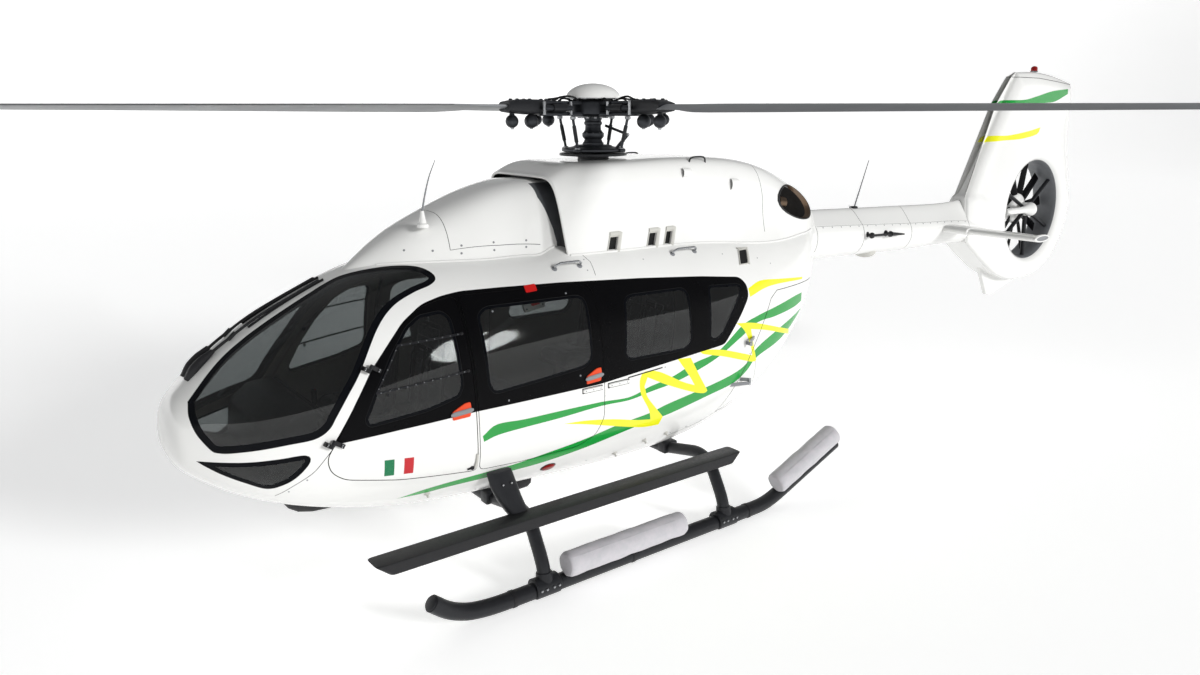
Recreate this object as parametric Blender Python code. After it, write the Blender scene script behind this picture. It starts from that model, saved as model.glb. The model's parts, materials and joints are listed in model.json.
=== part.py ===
"""A light twin-engine utility helicopter on skids, with a shrouded tail fan.

Metres, +Z up. The nose points to -Y and the port side to +X. The skids stand on Z = 0.
Stations are measured along Y from the rotor mast, so the mast itself is at station 0, and
the empty called datum carries them to their place on the ground frame.
"""

import math

import bmesh
import bpy
from mathutils import Matrix, Vector

ROTOR_RADIUS = 5.50
ROTOR_TURN = math.radians(2.5)
TAIL_END = 8.14
NOSE_END = -3.50
HUB_HEIGHT = 3.40
FAN_STATION = 6.99
FAN_HEIGHT = 2.12
SKID_TRACK = 2.40
FLOOR = 0.84
FIT = 0.0003
SHUT_LINE = 0.006
WALL = 0.055
DOOR_WALL = 0.045
FLANGE = 0.015
PANE = (0.004, 0.014)
TIP_CHORD = 0.16
BLADE_AXIS = 0.30
MERGE = 2e-6
FORE_REACH = ROTOR_RADIUS * math.cos(ROTOR_TURN) + (1 - BLADE_AXIS) * TIP_CHORD * math.sin(ROTOR_TURN)
MAST_Y = (FORE_REACH - TAIL_END) / 2

# Cabin pod: station, underside, top, half width, height of the widest point, power of the top curve.
POD = (
    (-3.50, 1.31, 1.37, 0.04, 1.34, 2.3),
    (-3.47, 1.20, 1.50, 0.20, 1.33, 2.3),
    (-3.38, 1.08, 1.63, 0.35, 1.30, 2.3),
    (-3.20, 0.95, 1.79, 0.52, 1.27, 2.3),
    (-2.90, 0.80, 1.99, 0.68, 1.22, 2.3),
    (-2.50, 0.67, 2.19, 0.79, 1.17, 2.3),
    (-2.00, 0.57, 2.35, 0.86, 1.15, 2.4),
    (-1.40, 0.52, 2.41, 0.89, 1.15, 2.5),
    (-0.60, 0.48, 2.42, 0.90, 1.15, 2.6),
    (0.30, 0.48, 2.42, 0.90, 1.18, 2.6),
    (0.80, 0.56, 2.42, 0.89, 1.25, 2.6),
    (1.30, 0.75, 2.42, 0.84, 1.40, 2.5),
    (1.80, 1.08, 2.42, 0.72, 1.62, 2.4),
    (2.15, 1.42, 2.41, 0.57, 1.85, 2.3),
    (2.40, 1.74, 2.40, 0.40, 2.05, 2.2),
    (2.60, 1.87, 2.39, 0.26, 2.14, 2.1),
)
POD_STATIONS = (-3.50, -3.47, -3.42, -3.32, -3.16, -2.95, -2.65, -2.30, -1.90, -1.40, -0.60,
                0.20, 0.75, 1.15, 1.50, 1.80, 2.10, 2.36, 2.60)
LOWER_POWER = 2.4
HALF_STEPS = 12

# Outlines in side view, as station and height.
COCKPIT_DOOR = ((-1.655, 2.145), (-1.76, 2.135), (-1.92, 2.10), (-2.07, 2.02), (-2.20, 1.895),
                (-2.335, 1.755), (-2.475, 1.55), (-2.62, 1.32), (-2.68, 1.23), (-2.665, 1.13),
                (-2.58, 1.06), (-2.22, 0.985), (-1.655, 0.92))
COCKPIT_GLASS = ((-1.735, 2.02), (-1.79, 2.07), (-1.95, 2.055), (-2.06, 1.99), (-2.20, 1.83),
                 (-2.34, 1.61), (-2.43, 1.44), (-2.40, 1.39), (-2.00, 1.435), (-1.77, 1.49), (-1.73, 1.56))
SLIDING_DOOR = ((-1.643, 0.92), (-1.30, 0.90), (-0.80, 0.90), (-0.64, 0.96), (-0.56, 1.10), (-0.55, 2.07),
                (-0.60, 2.13), (-1.643, 2.145))
SLIDING_GLASS = ((-1.555, 1.53), (-1.51, 1.46), (-0.72, 1.52), (-0.65, 1.58), (-0.63, 2.00),
                 (-0.68, 2.05), (-1.47, 2.06), (-1.55, 2.01))
REAR_GLASS = ((-0.36, 1.56), (-0.31, 1.50), (0.29, 1.49), (0.36, 1.55), (0.38, 1.94), (0.33, 1.99),
              (-0.23, 2.00), (-0.29, 1.96))
QUARTER_GLASS = ((0.54, 1.55), (0.61, 1.51), (0.71, 1.55), (1.00, 1.90), (0.97, 1.95), (0.60, 1.975))
CHIN_GLASS = ((-3.36, 1.255), (-3.10, 1.265), (-2.80, 1.265), (-2.78, 1.22), (-2.90, 1.14),
              (-3.05, 1.10), (-3.20, 1.16))
SCREEN_SIDE = ((-3.70, 1.335), (-2.75, 1.335), (-2.65, 1.45), (-2.52, 1.64), (-2.42, 1.79),
               (-2.28, 1.96), (-2.19, 2.06), (-2.06, 2.145), (-1.92, 2.20), (-1.72, 2.25),
               (-1.69, 2.31), (-1.75, 2.60), (-3.70, 2.60))
SCREEN_FRONT = ((0.45, 1.335), (0.315, 1.486), (0.224, 1.63), (0.195, 1.76), (0.158, 1.87), (0.146, 2.02),
                (0.136, 2.11), (0.10, 2.25), (0.115, 2.60), (1.20, 2.60), (1.20, 1.335))
CLAM_TOP = 1.83
CLAM_LINE = ((0.74, FLOOR + FIT), (1.40, CLAM_TOP))
CLAM_END = 2.50

# Cowlings over the engine deck: station, top, half width, flare at the foot, squareness.
COWL = ((-0.72, 2.905, 0.50, 0.0, 9), (-0.57, 2.97, 0.505, 0.0, 9), (-0.30, 2.99, 0.51, 0.0, 9),
        (0.20, 3.00, 0.515, 0.0, 9), (0.80, 3.00, 0.52, 0.04, 8), (1.30, 2.965, 0.51, 0.11, 6.5),
        (1.75, 2.87, 0.48, 0.12, 5), (2.10, 2.74, 0.43, 0.09, 4), (2.40, 2.58, 0.34, 0.04, 4),
        (2.58, 2.45, 0.24, 0.0, 4))
COWL_WAIST = 1.95
COWL_WALL = 0.022
COWL_DROP = 0.30
LIP_LEAN = 0.19
LIP_FADE = 0.9
# How far up the section the flare at its foot reaches.
FLARE_TOP = 0.62
NOSE_COWL = ((-2.12, 2.36, 0.16, 0.0, 3), (-1.91, 2.50, 0.28, 0.0, 3), (-1.51, 2.67, 0.40, 0.0, 3.3),
             (-1.25, 2.755, 0.435, 0.0, 3.7), (-0.95, 2.835, 0.45, 0.0, 4.2), (-0.82, 2.86, 0.45, 0.0, 4.5),
             (-0.72, 2.80, 0.405, 0.0, 4.5), (-0.50, 2.77, 0.39, 0.0, 4.5))

# Tail boom, and the root that fairs it into the shroud: station, centre height, half width, half height.
BOOM = ((2.6003, 2.13, 0.245, 0.262), (3.6, 2.10, 0.225, 0.255), (4.6, 2.07, 0.205, 0.250),
        (5.52, 2.06, 0.185, 0.262))
ROOT = ((5.5203, 2.06, 0.185, 0.262), (5.85, 2.06, 0.189, 0.30), (6.25, 2.09, 0.196, 0.33))
TAIL_WALL = 0.022

scene = bpy.context.scene


def clear_scene():
    for old in list(bpy.data.objects):
        bpy.data.objects.remove(old, do_unlink=True)


def material(name, colour, roughness=0.5, metallic=0.0, alpha=1.0):
    made = bpy.data.materials.new(name)
    made.use_nodes = True
    shader = made.node_tree.nodes["Principled BSDF"]
    shader.inputs["Base Color"].default_value = (*colour, 1.0)
    shader.inputs["Roughness"].default_value = roughness
    shader.inputs["Metallic"].default_value = metallic
    shader.inputs["Alpha"].default_value = alpha
    made.diffuse_color = (*colour, alpha)
    return made


clear_scene()
datum = bpy.data.objects.new("datum", None)
datum.location = (0.0, MAST_Y, 0.0)
scene.collection.objects.link(datum)

WHITE = material("white_paint", (0.85, 0.85, 0.84), 0.25)
BLACK = material("black_paint", (0.02, 0.02, 0.022), 0.45)
GLASS = material("tinted_glass", (0.16, 0.17, 0.17), 0.05, 0.0, 0.4)
DARK = material("dark_metal", (0.08, 0.085, 0.09), 0.5, 0.6)
SILVER = material("float_fabric", (0.62, 0.62, 0.62), 0.7)
GREY = material("blade_composite", (0.40, 0.40, 0.40), 0.4)
STEEL = material("exhaust_steel", (0.35, 0.32, 0.28), 0.4, 0.9)
CLOTH = material("seat_cloth", (0.11, 0.115, 0.12), 0.9)
RED = material("red_lens", (0.55, 0.02, 0.02), 0.2)
PANEL = material("panel_plastic", (0.03, 0.03, 0.032), 0.8)


def mesh_object(name, build):
    """An object whose mesh is filled by build, with its normals turned outwards."""
    shape = bmesh.new()
    build(shape)
    bmesh.ops.recalc_face_normals(shape, faces=shape.faces)
    mesh = bpy.data.meshes.new(name)
    shape.to_mesh(mesh)
    shape.free()
    made = bpy.data.objects.new(name, mesh)
    scene.collection.objects.link(made)
    return made


def loft(name, rings):
    """A closed skin over rings of equally many points. Its facets mirror from one half to the other."""

    def build(shape):
        rows = [[shape.verts.new(point) for point in ring] for ring in rings]
        count = len(rings[0])
        for low, high in zip(rows, rows[1:]):
            for k in range(count):
                after = (k + 1) % count
                if k < count / 2:
                    facets = (low[k], low[after], high[after]), (low[k], high[after], high[k])
                else:
                    facets = (low[k], low[after], high[k]), (low[after], high[after], high[k])
                for facet in facets:
                    shape.faces.new(facet)
        shape.faces.new(rows[0][::-1])
        shape.faces.new(rows[-1])

    return mesh_object(name, build)


def prism(name, outline, axis, low, high):
    """An outline extruded along X (outline as station, height), Y (X, height) or Z (X, station)."""
    place = {
        "X": lambda a, b, c: Vector((c, a, b)),
        "Y": lambda a, b, c: Vector((a, c, b)),
        "Z": lambda a, b, c: Vector((a, b, c)),
    }[axis]
    return loft(name, [[place(a, b, c) for a, b in outline] for c in (low, high)])


def box(name, low, high):
    outline = ((low[0], low[1]), (high[0], low[1]), (high[0], high[1]), (low[0], high[1]))
    return prism(name, outline, "Z", low[2], high[2])


def inset(outline, distance):
    """The outline moved inwards by a distance, corner by corner."""
    count = len(outline)
    area = sum(outline[k][0] * outline[(k + 1) % count][1] - outline[(k + 1) % count][0] * outline[k][1]
               for k in range(count))
    side = 1.0 if area > 0 else -1.0
    moved = []
    for k in range(count):
        here = Vector(outline[k])
        back = (here - Vector(outline[k - 1])).normalized()
        ahead = (Vector(outline[(k + 1) % count]) - here).normalized()
        normal_back = Vector((-back.y, back.x)) * side
        normal_ahead = Vector((-ahead.y, ahead.x)) * side
        bisector = (normal_back + normal_ahead).normalized()
        moved.append(tuple(here + bisector * distance / max(bisector.dot(normal_back), 0.35)))
    return moved


def volume_of(mesh):
    """The volume of a mesh, or None where it isn't closed."""
    shape = bmesh.new()
    shape.from_mesh(mesh)
    closed = len(shape.faces) > 3 and all(edge.is_manifold for edge in shape.edges)
    volume = shape.calc_volume() if closed else None
    shape.free()
    return volume


def tidied(mesh):
    """Merges points that a Boolean left within a few micrometres of each other."""
    shape = bmesh.new()
    shape.from_mesh(mesh)
    bmesh.ops.remove_doubles(shape, verts=shape.verts, dist=MERGE)
    bmesh.ops.dissolve_degenerate(shape, edges=shape.edges, dist=MERGE)
    if all(edge.is_manifold for edge in shape.edges):
        shape.to_mesh(mesh)
    shape.free()
    return mesh


def combine(piece, tool, operation):
    """One Boolean, applied at once. The tool is used up."""
    whole, added = volume_of(piece.data), volume_of(tool.data)
    low, high = {"UNION": (max(whole, added), whole + added), "DIFFERENCE": (whole - added, whole),
                 "INTERSECT": (0.0, min(whole, added))}[operation]
    modifier = piece.modifiers.new(operation.title(), "BOOLEAN")
    modifier.operation = operation
    modifier.object = tool
    for solver, shift in (("EXACT", 0.0), ("MANIFOLD", 0.0), ("EXACT", 3e-5), ("MANIFOLD", 3e-5)):
        modifier.solver = solver
        tool.location.z += shift
        bpy.context.view_layer.update()
        graph = bpy.context.evaluated_depsgraph_get()
        mesh = bpy.data.meshes.new_from_object(piece.evaluated_get(graph))
        volume = volume_of(mesh)
        if volume is not None and low * 0.95 <= volume <= high * 1.2:
            break
    else:
        print(piece.name, "fails at", operation, tool.name)
    piece.modifiers.clear()
    piece.data = tidied(mesh)
    bpy.data.objects.remove(tool, do_unlink=True)
    return piece


def cut(piece, *tools):
    for tool in tools:
        combine(piece, tool, "DIFFERENCE")
    return piece


def keep(piece, tool):
    return combine(piece, tool, "INTERSECT")


def join(piece, *tools):
    for tool in tools:
        combine(piece, tool, "UNION")
    return piece


def copied(piece, name):
    made = bpy.data.objects.new(name, piece.data.copy())
    scene.collection.objects.link(made)
    return made


def mirrored(piece, name):
    """The same piece on the starboard side."""
    made = copied(piece, name)
    made.data.transform(Matrix.Diagonal((-1.0, 1.0, 1.0, 1.0)))
    made.data.flip_normals()
    return made


def finish(piece, finish_material, smooth=True, hinge=None):
    """Gives a piece its finish, and hangs it on the datum with its origin on its hinge."""
    piece.data.materials.clear()
    piece.data.materials.append(finish_material)
    if smooth:
        piece.data.shade_smooth()
        piece.data.set_sharp_from_angle(angle=math.radians(35))
    if hinge is not None:
        piece.data.transform(Matrix.Translation(-Vector(hinge)))
        piece.location = hinge
    piece.parent = datum
    return piece


def rod(name, start, end, radius, sides=12, end_radius=None):
    """A straight round bar, or a cone, between two points."""
    start, end = Vector(start), Vector(end)
    along = (end - start).normalized()
    across = along.cross(Vector((0.0, 0.0, 1.0)))
    if across.length < 1e-3:
        across = Vector((1.0, 0.0, 0.0))
    across.normalize()
    up = across.cross(along)
    rings = []
    for centre, size in ((start, radius), (end, radius if end_radius is None else end_radius)):
        turn = [2 * math.pi * k / sides for k in range(sides)]
        rings.append([centre + across * size * math.cos(a) + up * size * math.sin(a) for a in turn])
    return loft(name, rings)


def turned(name, centre, profile, sides=24, axis="Z"):
    """A closed turned solid: profile lists radius and height from its low end to its high end."""
    rings = []
    for radius, height in profile:
        ring = []
        for k in range(sides):
            a = 2 * math.pi * k / sides
            u, v = radius * math.cos(a), radius * math.sin(a)
            offset = Vector((u, v, height)) if axis == "Z" else Vector((height, u, v))
            ring.append(Vector(centre) + offset)
        rings.append(ring)
    return loft(name, rings)


def tube(name, path, radius, sides=12, radii=None, flatten=1.0):
    """A bent bar along a path, with mitred joints."""
    path = [Vector(p) for p in path]
    rings = []
    side = None
    for k, point in enumerate(path):
        back = (point - path[k - 1]).normalized() if k else (path[1] - point).normalized()
        ahead = (path[k + 1] - point).normalized() if k < len(path) - 1 else back
        along = (back + ahead).normalized()
        stretch = 1.0 / max(along.dot(ahead), 0.5)
        if side is None:
            reference = Vector((0.0, 0.0, 1.0)) if abs(along.z) < 0.9 else Vector((0.0, 1.0, 0.0))
            side = along.cross(reference).normalized()
        side = (side - along * side.dot(along)).normalized()
        up = side.cross(along)
        bend = (ahead - back)
        bend = bend.normalized() if bend.length > 1e-6 else None
        size = radii[k] if radii else radius
        ring = []
        for n in range(sides):
            a = 2 * math.pi * n / sides
            offset = side * math.cos(a) * size + up * math.sin(a) * size * flatten
            if bend is not None:
                offset += bend * offset.dot(bend) * (stretch - 1.0)
            ring.append(point + offset)
        rings.append(ring)
    return loft(name, rings)


def smooth_value(table, station, column):
    """Monotone cubic through one column of a table whose first column rises."""
    x = [row[0] for row in table]
    y = [row[column] for row in table]
    station = min(max(station, x[0]), x[-1])
    span = [b - a for a, b in zip(x, x[1:])]
    rise = [(d - c) / h for c, d, h in zip(y, y[1:], span)]
    slope = [rise[0]]
    for k in range(1, len(rise)):
        if rise[k - 1] * rise[k] > 0:
            near = 2 * span[k] + span[k - 1]
            far = span[k] + 2 * span[k - 1]
            slope.append((near + far) / (near / rise[k - 1] + far / rise[k]))
        else:
            slope.append(0.0)
    slope.append(rise[-1])
    k = max(n for n in range(len(span)) if n == 0 or station >= x[n])
    t = (station - x[k]) / span[k]
    return ((1 + 2 * t) * (1 - t) ** 2 * y[k] + t * (1 - t) ** 2 * span[k] * slope[k]
            + t * t * (3 - 2 * t) * y[k + 1] + t * t * (t - 1) * span[k] * slope[k + 1])


def oval(half_width, low, waist, top, low_power, top_power, steps=HALF_STEPS):
    """Points (x, z) round an egg-shaped section, from the bottom up the port side and down the other."""
    port = []
    for k in range(steps + 1):
        a = math.pi * (k / steps - 0.5)
        power = top_power if a > 0 else low_power
        reach = waist - low if a < 0 else top - waist
        x = half_width * max(math.cos(a), 0.0) ** (2 / power)
        port.append((x, waist + math.copysign(reach * abs(math.sin(a)) ** (2 / power), a)))
    port[0] = (0.0, low)
    port[-1] = (0.0, top)
    return port + [(-x, z) for x, z in port[-2:0:-1]]


def pod_section(station, depth=0.0):
    low, top, half, waist, power = (smooth_value(POD, station, column) for column in range(1, 6))
    return oval(half - depth, low + depth, waist, top - depth, LOWER_POWER, power)


def skin_x(station, height):
    """How far out the port skin is at a station and a height."""
    low, top, half, waist, power = (smooth_value(POD, station, column) for column in range(1, 6))
    if height < waist:
        return half * (1 - ((waist - height) / (waist - low)) ** LOWER_POWER) ** (1 / LOWER_POWER)
    return half * (1 - ((height - waist) / (top - waist)) ** power) ** (1 / power)


def pod(name, depth=0.0):
    """The cabin pod's surface, moved inwards by a depth."""
    first = NOSE_END if depth < 0.002 else NOSE_END + max(depth * 1.1, 0.004)
    last = POD[-1][0] - depth
    middle = [s for s in POD_STATIONS if first + 0.01 < s < last - 0.01]
    rings = []
    for station in [first, *middle, last]:
        low, top, half = (smooth_value(POD, station, column) for column in (1, 2, 3))
        if half - depth < 0.005 or top - low < 2 * depth + 0.01:
            continue
        rings.append([Vector((x, station, z)) for x, z in pod_section(station, depth)])
    return loft(name, rings)


def pod_skin(name, outer, inner):
    """The layer of the pod between two depths."""
    return cut(pod(name, outer), pod("inner", inner))


def both_sides(piece):
    """Cuts or keeps the same on the starboard side too."""
    return mirrored(piece, "other_side")


def side_prism(name, outline, near=0.02, far=1.3):
    return prism(name, outline, "X", near, far)


def cowl_ring(row, wall=0.0, lean=0.0):
    """A cowling's section: a rounded box on a waist, flared at its foot."""
    station, top, half, flare, power = row
    port = []
    for k in range(HALF_STEPS + 1):
        a = math.pi / 2 * k / HALF_STEPS
        across, up = math.cos(a), math.sin(a)
        reach = (across ** power + up ** power) ** (-1 / power)
        share = up * reach
        swell = max(0.0, 1.0 - share / FLARE_TOP)
        x = (half - wall) * reach * across + flare * swell * swell * (3 - 2 * swell)
        port.append((x, COWL_WAIST + (top - wall - COWL_WAIST) * share, lean * (1 - share)))
    port[-1] = (0.0, top - wall, 0.0)
    below = []
    for k in range(HALF_STEPS):
        a = math.pi / 2 * k / HALF_STEPS
        below.append((port[0][0] * math.sin(a), COWL_WAIST - COWL_DROP * math.cos(a), lean))
    port = below + port
    ring = port + [(-x, z, aft) for x, z, aft in port[-2:0:-1]]
    return [Vector((x, station + aft, z)) for x, z, aft in ring]


def cowling(name, table, wall=0.0, lean=0.0):
    rings = []
    for row in table:
        fade = max(0.0, 1.0 - (row[0] - table[0][0]) / LIP_FADE)
        rings.append(cowl_ring(row, wall, lean * fade))
    return loft(name, rings)


def screen_cutter(name, gap=0.0):
    """The port half of the windshield opening: its side outline where the front outline allows it."""
    side = prism(name, inset(SCREEN_SIDE, gap), "X", 0.0, 1.3)
    front = prism("front", inset(SCREEN_FRONT, gap), "Y", -4.0, -1.0)
    return keep(side, front)


def pane(name, cutter):
    """A sheet of glass that fills an opening, just below the skin."""
    return finish(keep(pod_skin(name, *PANE), cutter), GLASS)


def both_panes(name, cutter):
    left = pane(name + "_left", cutter)
    right = finish(mirrored(left, name + "_right"), GLASS)
    return left, right


def knuckle(name, point, axis, aft, start, end, reach, foot):
    """A hinge barrel along its axis, with an arm and a foot that runs into the skin."""
    axis = Vector(axis).normalized()
    aft = Vector(aft).normalized()
    out = axis.cross(aft).normalized()
    if out.x < 0:
        out = -out
    point = Vector(point)
    barrel = rod(name, point + axis * start, point + axis * end, HINGE_RADIUS, 12)

    def block(low_aft, high_aft, low_out):
        section = ((low_aft, low_out), (high_aft, low_out), (high_aft, HINGE_ARM), (low_aft, HINGE_ARM))
        ends = (point + axis * start, point + axis * end)
        return loft("block", [[place + aft * a + out * o for a, o in section] for place in ends])

    arm = block(min(0.0, reach), max(0.0, reach), -HINGE_ARM)
    back = reach - math.copysign(HINGE_FOOT, reach)
    return join(barrel, arm, block(min(reach, back), max(reach, back), -foot))


# The post behind the cockpit doors, and the hinge axes of the cockpit and rear doors, port side.
POST_STATION = -1.65
POST_REACH = (-0.048, 0.052)
POST_DEPTH = 0.035
COCKPIT_HINGES = ((0.750, -2.349, 1.770), (0.779, -2.641, 1.326))
CLAM_HINGE_X = 0.93
CLAM_HINGE_STATION = 1.00
CLAM_HINGE_HEIGHTS = (1.10, 1.45)
HINGE_RADIUS = 0.012
HINGE_ARM = 0.008
HINGE_FOOT = 0.03
HINGE_HALF = 0.030
HINGE_PLAY = 0.0002
HINGE_ROOT = 0.060
# How far the fixed and the moving arm reach along the skin, and how deep the door's inner body steps in.
FIXED_REACH = -0.045
MOVING_REACH = 0.075
DOOR_STEP = 0.026
CLAM_ARM_REACH = 0.06


def cockpit_axis():
    top, low = (Vector(p) for p in COCKPIT_HINGES)
    return (top - low).normalized()


def hull_and_frame():
    lower = pod("lower_hull")
    keep(lower, box("below", (-1.5, -3.4, 0.0), (1.5, 2.0, FLOOR)))
    finish(lower, WHITE)

    frame = pod_skin("cabin_frame", 0.0, WALL)
    keep(frame, box("above", (-1.5, -4.0, FLOOR + FIT), (1.5, 3.0, 3.0)))
    for outline in (COCKPIT_DOOR, SLIDING_DOOR, REAR_GLASS, QUARTER_GLASS, CHIN_GLASS):
        opening = side_prism("opening", outline)
        cut(frame, both_sides(opening), opening)
    screen = screen_cutter("screen")
    cut(frame, both_sides(screen), screen)
    (low_s, low_z), (top_s, top_z) = CLAM_LINE
    clam = ((low_s, low_z - 0.1), (low_s, low_z), (top_s, top_z), (3.0, top_z), (3.0, low_z - 0.1))
    cut(frame, prism("clam", clam, "X", -1.3, 1.3))
    post = pod_skin("post", DOOR_WALL + SHUT_LINE, WALL + POST_DEPTH)
    low, high = (POST_STATION + reach for reach in POST_REACH)
    slab = box("slab", (-1.5, low, FLOOR + 0.004), (1.5, high, 2.5))
    join(frame, keep(post, slab))
    axis = cockpit_axis()
    aft = Vector((0.0, 1.0, 0.0)).cross(axis).cross(axis) * -1
    for point in COCKPIT_HINGES:
        fixed = knuckle("hinge", point, axis, aft, -HINGE_HALF, -HINGE_PLAY, FIXED_REACH, HINGE_ROOT)
        join(frame, both_sides(fixed), fixed)
    return frame


def cockpit_doors():
    axis = cockpit_axis()
    aft = Vector((0.0, 1.0, 0.0)).cross(axis).cross(axis) * -1
    outer = keep(pod_skin("cockpit_door_left", 0.0, FLANGE), side_prism("a", inset(COCKPIT_DOOR, SHUT_LINE)))
    body = keep(pod_skin("body", FLANGE - 0.001, DOOR_WALL), side_prism("b", inset(COCKPIT_DOOR, DOOR_STEP)))
    join(outer, body)
    cut(outer, side_prism("window", COCKPIT_GLASS))
    join(outer, handle_block("handle", *COCKPIT_HANDLE))
    for point in COCKPIT_HINGES:
        join(outer, knuckle("hinge", point, axis, aft, HINGE_PLAY, HINGE_HALF, MOVING_REACH, HINGE_ROOT))
    glass = keep(pod_skin("cockpit_glass_left", *PANE), side_prism("c", inset(COCKPIT_GLASS, FIT)))
    for piece, finish_material in ((outer, WHITE), (glass, GLASS)):
        right = mirrored(piece, piece.name.replace("_left", "_right"))
        hinge = Vector(COCKPIT_HINGES[0])
        finish(piece, finish_material, hinge=hinge)
        finish(right, finish_material, hinge=(-hinge.x, hinge.y, hinge.z))


def sliding_doors():
    door = keep(pod_skin("sliding_door_left", 0.0, DOOR_WALL), side_prism("a", inset(SLIDING_DOOR, FIT)))
    cut(door, side_prism("window", SLIDING_GLASS))
    join(door, handle_block("handle", *SLIDING_HANDLE), handle_block("rail", *DOOR_RAIL))
    finish(mirrored(door, "sliding_door_right"), WHITE)
    finish(door, WHITE)
    both_panes("sliding_glass", side_prism("c", inset(SLIDING_GLASS, FIT)))


def clamshell_doors():
    (low_s, low_z), (top_s, top_z) = CLAM_LINE
    end = CLAM_END + SHUT_LINE
    outline = inset(((low_s, low_z), (top_s, top_z), (end, top_z), (end, low_z)), SHUT_LINE)
    door = keep(pod_skin("clamshell_left", 0.0, DOOR_WALL), side_prism("a", outline, near=0.004))
    for height in CLAM_HINGE_HEIGHTS:
        skin = clam_skin(height, CLAM_ARM_REACH)
        point = Vector((CLAM_HINGE_X, CLAM_HINGE_STATION, height))
        ends = [point + Vector((0, 0, rise)) for rise in (HINGE_PLAY, HINGE_HALF)]
        join(door, rod("barrel", *ends, HINGE_RADIUS), arm_to(point, skin, HINGE_PLAY, HINGE_HALF))
    hinge = (CLAM_HINGE_X, CLAM_HINGE_STATION, CLAM_HINGE_HEIGHTS[0])
    right = mirrored(door, "clamshell_right")
    finish(door, WHITE, hinge=hinge)
    finish(right, WHITE, hinge=(-hinge[0], hinge[1], hinge[2]))


def arm_to(start, end, low, high, half=0.006):
    """A flat bar between two points, of the given heights above them."""
    along = Vector((end.x - start.x, end.y - start.y, 0.0)).normalized()
    across = Vector((-along.y, along.x, 0.0)) * half
    corners = [start - across, end - across, end + across, start + across]
    return loft("arm", [[Vector((p.x, p.y, start.z + h)) for p in corners] for h in (low, high)])


def clam_skin(height, beyond):
    """A point just inside the skin, beyond the rear door's front edge."""
    (low_s, low_z), (top_s, top_z) = CLAM_LINE
    station = low_s + (height - low_z) * (top_s - low_s) / (top_z - low_z) + beyond
    return Vector((skin_x(station, height) - 0.012, station, height))


def clamshell_brackets(frame):
    for height in CLAM_HINGE_HEIGHTS:
        skin = clam_skin(height, -CLAM_ARM_REACH)
        point = Vector((CLAM_HINGE_X, CLAM_HINGE_STATION, height))
        ends = [point - Vector((0, 0, drop)) for drop in (HINGE_HALF, HINGE_PLAY)]
        bracket = join(rod("barrel", *ends, HINGE_RADIUS), arm_to(point, skin, -HINGE_HALF, -HINGE_PLAY))
        join(frame, both_sides(bracket), bracket)


# Small fittings on the port side: the roof handles' feet as stations, and the wiper as rows of
# X, station and distance over the ridge, with the radius of the motor's cover last.
ROOF_HANDLES = ((-0.80, -0.57), (0.37, 0.61))
HANDLE_HEIGHT = 2.235
HANDLE_RISE = 0.045
HANDLE_LEAN = 0.03
HANDLE_RADIUS = 0.009
HANDLE_SINK = 0.012
WIPER_COVER = ((0.045, -3.30, -0.02, 0.040), (0.05, -3.24, 0.03, 0.036), (0.055, -3.10, 0.03, 0.020))
WIPER_ARM = ((0.055, -3.14, 0.025), (0.06, -3.02, 0.022), (0.05, -2.36, 0.022))
WIPER_BLADE = ((0.072, -2.90, 0.004), (0.06, -2.62, 0.004), (0.05, -2.36, 0.006))
WIPER_BRIDGE = ((0.05, -2.40, -0.004), (0.05, -2.40, 0.026))
ARM_RADIUS = 0.011
# A door handle or rail: how far its grip stands out, how deep it is rooted, and its half height.
GRIP_OUT = 0.018
GRIP_ROOT = 0.010
GRIP_HALF = 0.018
GRIP_EDGE = 0.003
COCKPIT_HANDLE = (-1.765, 1.385, 0.13)
SLIDING_HANDLE = (-0.655, 1.440, 0.13)
DOOR_RAIL = (-0.675, 1.345, 0.18)
FRAME_RAIL = (-0.425, 1.345, 0.20)


def ridge(x, station, out=0.0):
    """A point over the pod's top at a distance from the middle."""
    top, half, waist, power = (smooth_value(POD, station, column) for column in (2, 3, 4, 5))
    return Vector((x, station, waist + (top - waist) * (1 - (x / half) ** power) ** (1 / power) + out))


def skin_point(station, height, out=0.0):
    """A point on the port skin, moved outwards level."""
    return Vector((skin_x(station, height) + out, station, height))


def roof_handle(name, start, end):
    fore, aft = (skin_point(s, HANDLE_HEIGHT, -HANDLE_SINK) for s in (start, end))
    rise = Vector((HANDLE_RISE * 0.75, 0.0, HANDLE_RISE))
    lean = Vector((0.0, HANDLE_LEAN, 0.0))
    path = (fore, fore + rise * 0.6, fore + rise + lean, aft + rise - lean, aft + rise * 0.6, aft)
    return tube(name, path, HANDLE_RADIUS, 8)


def wiper(name):
    """One wiper parked on the ridge: its motor cover, its arm and its blade."""
    radii = [row[3] for row in WIPER_COVER]
    cover = tube(name, [ridge(*row[:3]) for row in WIPER_COVER], 0.0, 8, radii=radii)
    arm = tube("arm", [ridge(*row) for row in WIPER_ARM], ARM_RADIUS, 8)
    blade = tube("blade", [ridge(*row) for row in WIPER_BLADE], ARM_RADIUS + 0.001, 6)
    bridge = tube("bridge", [ridge(*row) for row in WIPER_BRIDGE], ARM_RADIUS - 0.001, 6)
    return join(cover, arm, blade, bridge)


def handle_block(name, station, height, length):
    """A door handle or rail: a flat grip that stands a little proud of the skin."""
    rings = []
    for s in (station - length / 2, station + length / 2):
        inner, outer = skin_point(s, height, -GRIP_ROOT), skin_point(s, height, GRIP_OUT)
        wide, narrow = Vector((0, 0, GRIP_HALF)), Vector((0, 0, GRIP_HALF - GRIP_EDGE))
        rings.append([inner - wide, outer - narrow, outer + narrow, inner + wide])
    return loft(name, rings)


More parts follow.
